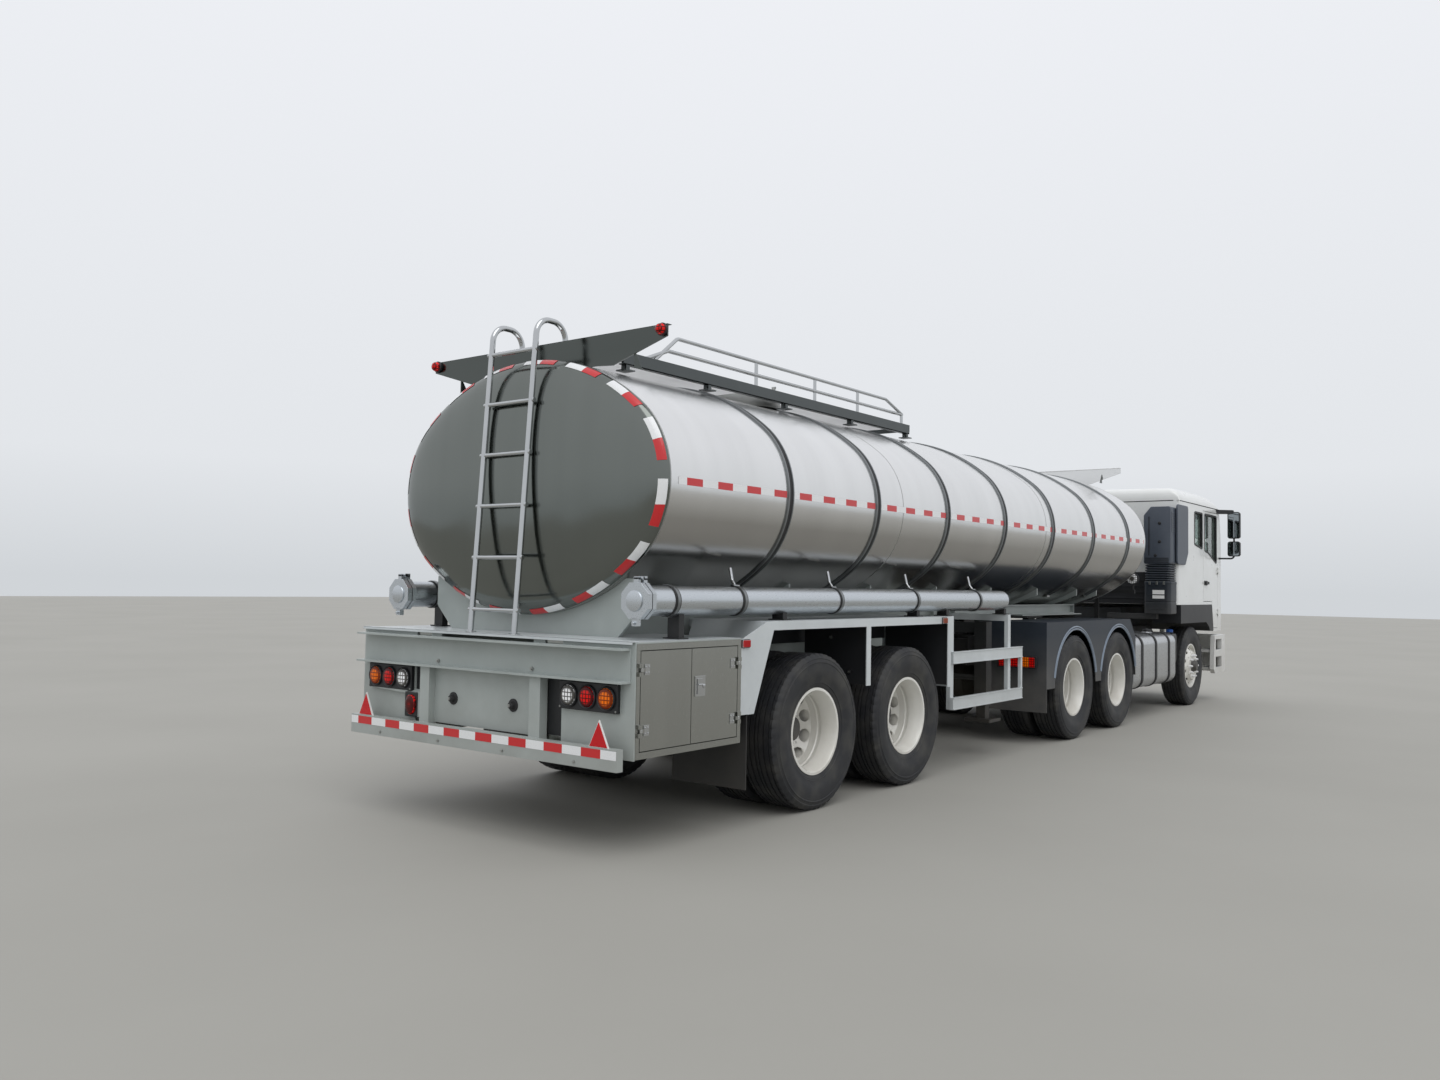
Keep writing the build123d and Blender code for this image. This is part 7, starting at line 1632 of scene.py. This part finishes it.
# Moulded cab lining with a fine grain: an even mid grey inside the white shell
trim_grey = painted("moulded_grey_cab_lining", "#6E6D6A", "#636260", 0.6, 1.5, 0.0005)


def line_inside(made, middle, lining):
    """Gives the faces inside a room that look towards its middle a lining of their own."""
    made.data.materials.append(lining)
    for face in made.data.polygons:
        place = face.center
        inward = face.normal.dot(Vector(middle) - place) > 0
        room = abs(place.y) < CAB_SKIN_Y and LINED_Z[0] < place.z < LINED_Z[1] and place.x < LINED_FRONT_X
        if inward and room:
            face.material_index = 1
    return made


cab_copy = rounded_copy("cab_shell", "cab_shell_painted", cab_white, 0.005, 3)
dress(line_inside(cab_copy, (5.3, 0, 2.1), trim_grey), "cab", "cab_white", "cab_shell")
ROOF_CREST = ((4.2405, 2.790), (4.246, 2.850), (4.268, 2.895), (4.310, 2.925), (4.380, 2.940),
    (4.800, 2.947), (5.550, 2.950), (5.800, 2.942), (5.980, 2.922), (6.100, 2.890), (6.200, 2.840),
    (6.260, 2.795), (6.299, 2.7515))
ROOF_BASE_Z, ROOF_SIDE_Y = 2.7505, 1.2195
ROOF_ROUND = 0.190
ROOF_CROWN = 0.012
roof_rings = []
for x, top in ROOF_CREST:
    rise = top - ROOF_BASE_Z
    part_rise = min(1, rise / ROOF_ROUND)
    round_y, crown = ROOF_ROUND * part_rise, ROOF_CROWN * part_rise
    ring = [(x, ROOF_SIDE_Y, ROOF_BASE_Z)]
    for i in range(1, 13):
        a = pi / 2 * i / 12
        ring.append((x, ROOF_SIDE_Y - round_y * (1 - cos(a)), ROOF_BASE_Z + (rise - crown) * sin(a)))
    for i in range(1, 9):
        share = i / 8
        ring.append((x, (ROOF_SIDE_Y - round_y) * (1 - share), top - crown * (1 - share) ** 2))
    ring += [(px, -py, pz) for px, py, pz in reversed(ring[:-1])]
    roof_rings.append(ring)
dress(piece("cab_roof_pressed", [skin(roof_rings)], cab_white, crease=40), "cab", "cab_white", "cab_roof")
# A black ribbed panel on the cab's back stands in for the trailer's shadow there and the dark hoses: mostly
# painted shade
shade_panel_parts = [box((4.2260, 4.2397), (-0.860, 0.900), (1.376, 1.800))]
for z in (1.450, 1.530, 1.610, 1.690):
    shade_panel_parts.append(box((4.2200, 4.2262), (-0.840, 0.880), around(z, 0.012)))
dress(soften(piece("cab_rear_shade_panel", shade_panel_parts, black_lining_and_painted_shade), 0.004, 2), "cab", "black_plastic")
fins = grating_tree(black_abs)
upright = Matrix(((0, 0, 1, 0), (1, 0, 0, 0), (0, 1, 0, 0), (0, 0, 0, 1)))
slat_meshes = []
for row in range(7):
    z = 1.150 + 0.074 * row + 0.025
    grille_parts.append(box((6.4652, 6.4690), (-0.6995, 0.6995), around(z, 0.0248)))
    slat_meshes.append(bar_row("grille_fins", fins, 36, 0.0388, (0.005, 0.0496, 0.024), (6.481, -0.679, z),
        upright))
dress(piece("grille_liners", grille_parts, black_abs), "cab", "black_plastic")
dress(placed("grille_fins", slat_meshes), "cab", "black_plastic")
seam_parts = []
for side in (-1, 1):
    seam_parts.append(box((4.290, 6.330), across(side, 1.2185, 1.2225), (2.744, 2.756)))
seam_parts.append(box((4.2385, 4.2425), (-1.150, 1.150), (2.744, 2.756)))
dress(soften(piece("roof_gutter", seam_parts, band_rubber), 0.0015, 2), "cab", "black_plastic")
marker_parts = []
for side in (-1, 1):
    marker_parts.append(box((5.905, 5.965), across(side, 0.930, 1.020), (2.924, 2.944)))
dress(soften(piece("roof_markers", marker_parts, amber_lens), 0.008, 3), "cab", "black_plastic")

# Cab glass: thin tempered panes, lightly green, in black extruded rubber.
# The rubber has a lip on either face of the pane; two wipers rest on the windscreen.
cab_glass, tree = new_material("tempered_green_glass")
shader = add_node(tree, "ShaderNodeBsdfPrincipled", {"Base Color": srgb("#C9D6CF"), "Roughness": 0.02,
    "IOR": 1.5, "Transmission Weight": 0.92})
add_node(tree, "ShaderNodeOutputMaterial", links={"Surface": shader})
for node in ("windscreen", "door_glass_left", "door_glass_right"):
    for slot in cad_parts[node].material_slots:
        slot.material = cab_glass
# Extruded window rubber: a matt black line round every pane
rubber_seal = painted("extruded_window_rubber", "#1A1B1C", "#232424", 0.5, 1.5, 0.0003)
DOOR_WINDOW = rounded_outline([(5.510, 2.130), (5.700, 2.105), (6.150, 1.960), (6.150, 2.640),
    (5.510, 2.640)], 0.030, 5)
SIDE_WINDOW = rounded_outline([(4.990, 2.200), (5.385, 2.150), (5.385, 2.640), (4.990, 2.640)], 0.030, 5)


def side_seal(window, side):
    """The outer and the inner lip of the rubber round a window in the cab's side."""
    return [frame_plate(window, (-0.014, 0.010), "y", *across(side, 1.2195, 1.2240)),
        frame_plate(window, (0.0005, 0.010), "y", *across(side, 1.1920, 1.2200))]


def screen_point(u, v, out):
    """A point over the windscreen's plane: across, up the slope, and out of it."""
    return SCREEN_ORIGIN + Vector((0, u, 0)) + SCREEN_UP * v + SCREEN_OUT * out


screen_outline = rounded_outline(rectangle((-1.030, 1.030), (0.090, 0.710)), 0.080, 8)
rings = []
for inward, out in ((-0.016, 0.0005), (-0.012, 0.0055), (0.006, 0.0055), (0.014, -0.0010), (0.014, -0.019),
        (0.0005, -0.019), (0.0005, 0.0005)):
    rings.append([screen_point(u, v, out) for u, v in drawn_in(screen_outline, inward)])
seal_parts = [*side_seal(SIDE_WINDOW, -1), *side_seal(SIDE_WINDOW, 1), closed_skin(rings)]
dress(piece("cab_window_seals", seal_parts, rubber_seal), "cab", "black_plastic")
wiper_parts = []
for pivot, reach in ((-0.700, -0.060), (0.080, 0.720)):
    wiper_parts += [
        lathe(((0.0, 0.018), (0.012, 0.018), (0.016, 0.012), (0.016, 0.0)), screen_point(pivot, 0.045, 0.0),
            SCREEN_OUT, 24),
        tube((screen_point(pivot, 0.045, 0.012), screen_point(pivot + 0.02, 0.10, 0.014),
            screen_point((pivot + reach) / 2, 0.150, 0.002)), 0.006, 10),
        tube((screen_point(pivot + 0.03, 0.125, -0.006), screen_point(reach, 0.150, -0.006)), 0.007, 8),
    ]
dress(piece("wipers", wiper_parts, black_abs), "cab", "black_plastic")

# Doors: pressed steel skins over a lined frame; a rubber seal round the glass and a black pull handle.
# Inside, a grab handle and an armrest stand off the grey lining.
for side_name, side in SIDES:
    body = f"door_{side_name}"
    door_copy = rounded_copy(body, f"{body}_painted", cab_white, 0.005, 3)
    door_copy.data.materials.append(trim_grey)
    for face in door_copy.data.polygons:
        if abs(face.center.y) < CAB_SKIN_Y:
            face.material_index = 1
    dress(door_copy, body, "cab_white", body)
    dress(piece(f"{body}_seal", side_seal(DOOR_WINDOW, side), rubber_seal), body, "black_plastic")
    handle_parts = [
        box((5.490, 5.660), across(side, 1.2195, 1.2235), (1.640, 1.705)),
        box((5.498, 5.652), across(side, 1.2230, 1.2500), (1.6535, 1.6915)),
        lathe(((0, 0.014), (0.005, 0.014), (0.007, 0.011), (0.007, 0.0)), (5.690, side * 1.2200, 1.672),
            (0, side, 0), 24),
    ]
    dress(soften(piece(f"{body}_handle", handle_parts, black_abs), 0.006, 3), body, "black_plastic")
    pull_parts = [
        tube(rounded_path(((5.560, side * 1.160, 1.780), (5.560, side * 1.125, 1.780),
                (5.800, side * 1.125, 1.720), (5.800, side * 1.160, 1.720)), 0.03), 0.012, 12),
        box((5.520, 6.100), across(side, 1.1605, 1.125), (1.480, 1.560)),
    ]
    dress(soften(piece(f"{body}_lining", pull_parts, black_abs), 0.006, 2), body, "grey_plastic")

# Wheel arches: black moulded trim on the cab's lower edge, with a grain, and liners over the wheels.
# Its rounded edges catch a thin line of light.
dress_copy("wheel_arches", "moulded", black_abs, 0.006, "cab", "black_plastic", 3)

# Mirrors: two moulded heads a side, with flat panes that face back, on bent steel tubes.
# The tubes are carried by a foot below and a folded bracket above.
pane_mirror, tree = new_material("silvered_mirror_glass")
shader = add_node(tree, "ShaderNodeBsdfPrincipled", {"Base Color": srgb("#9AA1A6"), "Metallic": 1.0,
    "Roughness": 0.03})
add_node(tree, "ShaderNodeOutputMaterial", links={"Surface": shader})
head_parts, arm_parts, pane_parts = [], [], []
for side in (-1, 1):
    for low, high in ((2.330, 2.720), (2.070, 2.290)):
        outline = rounded_outline(rectangle(across(side, 1.330, 1.500), (low, high)), 0.035, 6)
        head_parts.append(stepped(outline, "x", [(6.326, 0.014), (6.320, 0.010), (6.320, 0.003),
                (6.330, 0.0), (6.390, 0.002), (6.418, 0.014), (6.430, 0.040)]))
        pane_parts.append(stepped(outline, "x", [(6.3190, 0.014), (6.3262, 0.013)]))
    for x, z in ((6.310, 2.040), (6.170, 2.735)):
        head_parts.append(box(around(x, 0.035), across(side, 1.2203, 1.234), around(z, 0.013)))
    arm_parts.append(tube(rounded_path(((6.310, side * 1.228, 2.040), (6.350, side * 1.415, 2.040),
            (6.350, side * 1.415, 2.735), (6.170, side * 1.228, 2.735)), 0.045, 8), 0.0125, 16))
    bracket = [(6.150, side * 1.2215), (6.290, side * 1.2215), (6.380, side * 1.405), (6.300, side * 1.405)]
    arm_parts.append(prism(bracket[::side], "z", 2.690, 2.745))
dress(piece("mirror_heads", head_parts, black_abs, crease=40), "cab", "black_plastic", "mirrors")
dress(piece("mirror_arms", arm_parts, black_abs), "cab", "black_plastic")
dress(piece("mirror_panes", pane_parts, pane_mirror), "cab", "glass")

# Dashboard: moulded grey plastic with a hood over blank instruments, and the wheel on its column.
# Dials and switch panels are plain discs and plates, without marks.
dash_plastic = painted("moulded_dashboard", "#3B3C3E", "#333436", 0.55, 1.5, 0.0006)
dress_copy("dashboard", "moulded", dash_plastic, 0.008, "cab", "grey_plastic", 3)
dial_parts = [box((6.092, 6.112), (0.380, 0.820), (1.770, 1.880))]
for y in (0.50, 0.70):
    dial_parts.append(lathe(((0.0, 0.052), (-0.006, 0.052), (-0.008, 0.046), (-0.004, 0.044),
            (-0.004, 0.0)), (6.092, y, 1.825), (1, 0, 0), 40))
for y in (-0.35, -0.10, 0.15):
    dial_parts.append(box((6.104, 6.122), around(y, 0.09), (1.740, 1.840)))
dress(soften(piece("instrument_panel", dial_parts, black_abs), 0.004, 2), "cab", "black_plastic")

# Seats and bunk: foam pads under woven cloth, on steel pedestals and a boxed base.
# The covers are blown up by cloth pressure, as the foam fills them.
SEAT_THREAD_MM = 3.0
# Woven polyester: threads 3 mm apart in two directions, worn paler in patches
seat_cloth, tree = new_material("woven_seat_cloth")
place = add_node(tree, "ShaderNodeTexCoord").outputs["Object"]
warp, weft = (add_node(tree, "ShaderNodeTexWave", {"Scale": 1000 / SEAT_THREAD_MM / 20, "Distortion": 0.4},
    {"Vector": place}, bands_direction=way).outputs["Fac"] for way in ("Y", "DIAGONAL"))
weave = add_node(tree, "ShaderNodeMath", links={0: warp, 1: weft}, operation="MULTIPLY")
wear = add_node(tree, "ShaderNodeTexNoise", {"Scale": 9.0, "Detail": 4.0}, {"Vector": place})
cloth_tone = add_node(tree, "ShaderNodeMix", {"A": srgb("#3C4148"), "B": srgb("#565B60")}, {"Factor": wear},
    data_type="RGBA")
shade = add_node(tree, "ShaderNodeMix", {"B": srgb("#2B2E33")}, {"Factor": weave, "A": cloth_tone},
    data_type="RGBA")
relief = add_node(tree, "ShaderNodeBump", {"Strength": 0.5, "Distance": 0.0008}, {"Height": weave})
shader = add_node(tree, "ShaderNodeBsdfPrincipled", {"Roughness": 0.85, "Sheen Weight": 0.3,
    "Sheen Roughness": 0.5}, {"Base Color": shade, "Normal": relief})
add_node(tree, "ShaderNodeOutputMaterial", links={"Surface": shader})
PAD_VOXEL = 0.014
BUNK_VOXEL = 1.6 * PAD_VOXEL
PAD_SWELL = 0.014
PAD_PRESSURE = 4
FILLING_FRAMES = 20
pads = []


def pad_shape(outline, axis, low, high, inset=0.030):
    """A pad's cover before it is filled: a plate with drawn-in ends."""
    middle = (low + high) / 2
    return stepped(outline, axis, [(low, inset), (low + inset * 0.4, inset * 0.3), (low + inset, 0.004),
        (middle, 0.0), (high - inset, 0.004), (high - inset * 0.4, inset * 0.3), (high, inset)])


for side_name, y in (("left", 0.600), ("right", -0.600)):
    cushion = rounded_outline([(5.275, 1.745), (5.715, 1.745), (5.715, 1.822), (5.275, 1.828)], 0.025, 4)
    pads.append((f"seat_cushion_{side_name}", pad_shape(cushion, "y", y - 0.245, y + 0.245)))
    back = rounded_outline([(5.385, 1.842), (5.278, 2.505), (5.205, 2.500), (5.268, 1.836)], 0.025, 4)
    pads.append((f"seat_back_{side_name}", pad_shape(back, "y", y - 0.235, y + 0.235)))
mattress = rounded_outline(rectangle((4.320, 4.935), (-1.110, 1.110)), 0.060, 6)
pads.append(("bunk_mattress", pad_shape(mattress, "z", 1.790, 1.885, 0.022)))
covers = []
for name, shape in pads:
    cover = piece(name + "_cover", [shape], seat_cloth)
    even = cover.modifiers.new("even mesh", "REMESH")
    even.mode = "VOXEL"
    even.voxel_size = BUNK_VOXEL if name == "bunk_mattress" else PAD_VOXEL
    bpy.context.view_layer.update()
    mesh = bpy.data.meshes.new_from_object(cover.evaluated_get(bpy.context.evaluated_depsgraph_get()))
    mesh.name = name
    bpy.data.objects.remove(cover)
    pad = add_object(name, mesh)
    if not mesh.materials:
        mesh.materials.append(seat_cloth)
    foam = pad.modifiers.new("foam", "CLOTH")
    foam.settings.use_pressure = True
    foam.settings.uniform_pressure_force = PAD_PRESSURE
    foam.settings.effector_weights.gravity = 0
    foam.collision_settings.use_collision = False
    covers.append(pad)
for step in range(1, FILLING_FRAMES + 1):
    bpy.context.scene.frame_set(step)
filled = bpy.context.evaluated_depsgraph_get()
for pad in covers:
    blown = [vertex.co.copy() for vertex in pad.evaluated_get(filled).data.vertices]
    pad.modifiers.clear()
    for vertex, goal in zip(pad.data.vertices, blown):
        move = goal - vertex.co
        vertex.co += move * min(1.0, PAD_SWELL / max(move.length, 1e-9))
bpy.context.scene.frame_set(1)
for pad in covers:
    for polygon in pad.data.polygons:
        polygon.use_smooth = True
    smooth = pad.modifiers.new("soft surface", "SUBSURF")
    smooth.levels = smooth.render_levels = 1
    dress(pad, "cab", "seat_fabric")
base_parts = []
for y in (-0.600, 0.600):
    base_parts += [
        box((5.330, 5.660), around(y, 0.180), (1.4305, 1.7400)),
        box((5.300, 5.690), around(y, 0.225), (1.7200, 1.7420)),
    ]
    for z in (1.48, 1.53, 1.58, 1.63, 1.68):
        base_parts.append(frame_plate(rounded_outline(rectangle((5.330, 5.660), around(y, 0.180)), 0.02, 3),
            (-0.010, 0.002), "z", z - 0.012, z + 0.012))
    base_parts.append(prism([(5.2055, 2.505), (5.200, 2.495), (5.2450, 1.740), (5.2680, 1.740)], "y",
        y - 0.200, y + 0.200))
dress(soften(piece("seat_pedestals", base_parts, dash_plastic), 0.006, 2), "cab", "grey_plastic", "seats")
bunk_parts = [box((4.300, 4.950), (-1.130, 1.130), (1.4305, 1.7950))]
for y in (-0.56, 0.0, 0.56):
    bunk_parts.append(box((4.949, 4.956), around(y, 0.250), (1.500, 1.740)))
dress(soften(piece("bunk_base", bunk_parts, trim_grey), 0.008, 2), "cab", "grey_plastic")
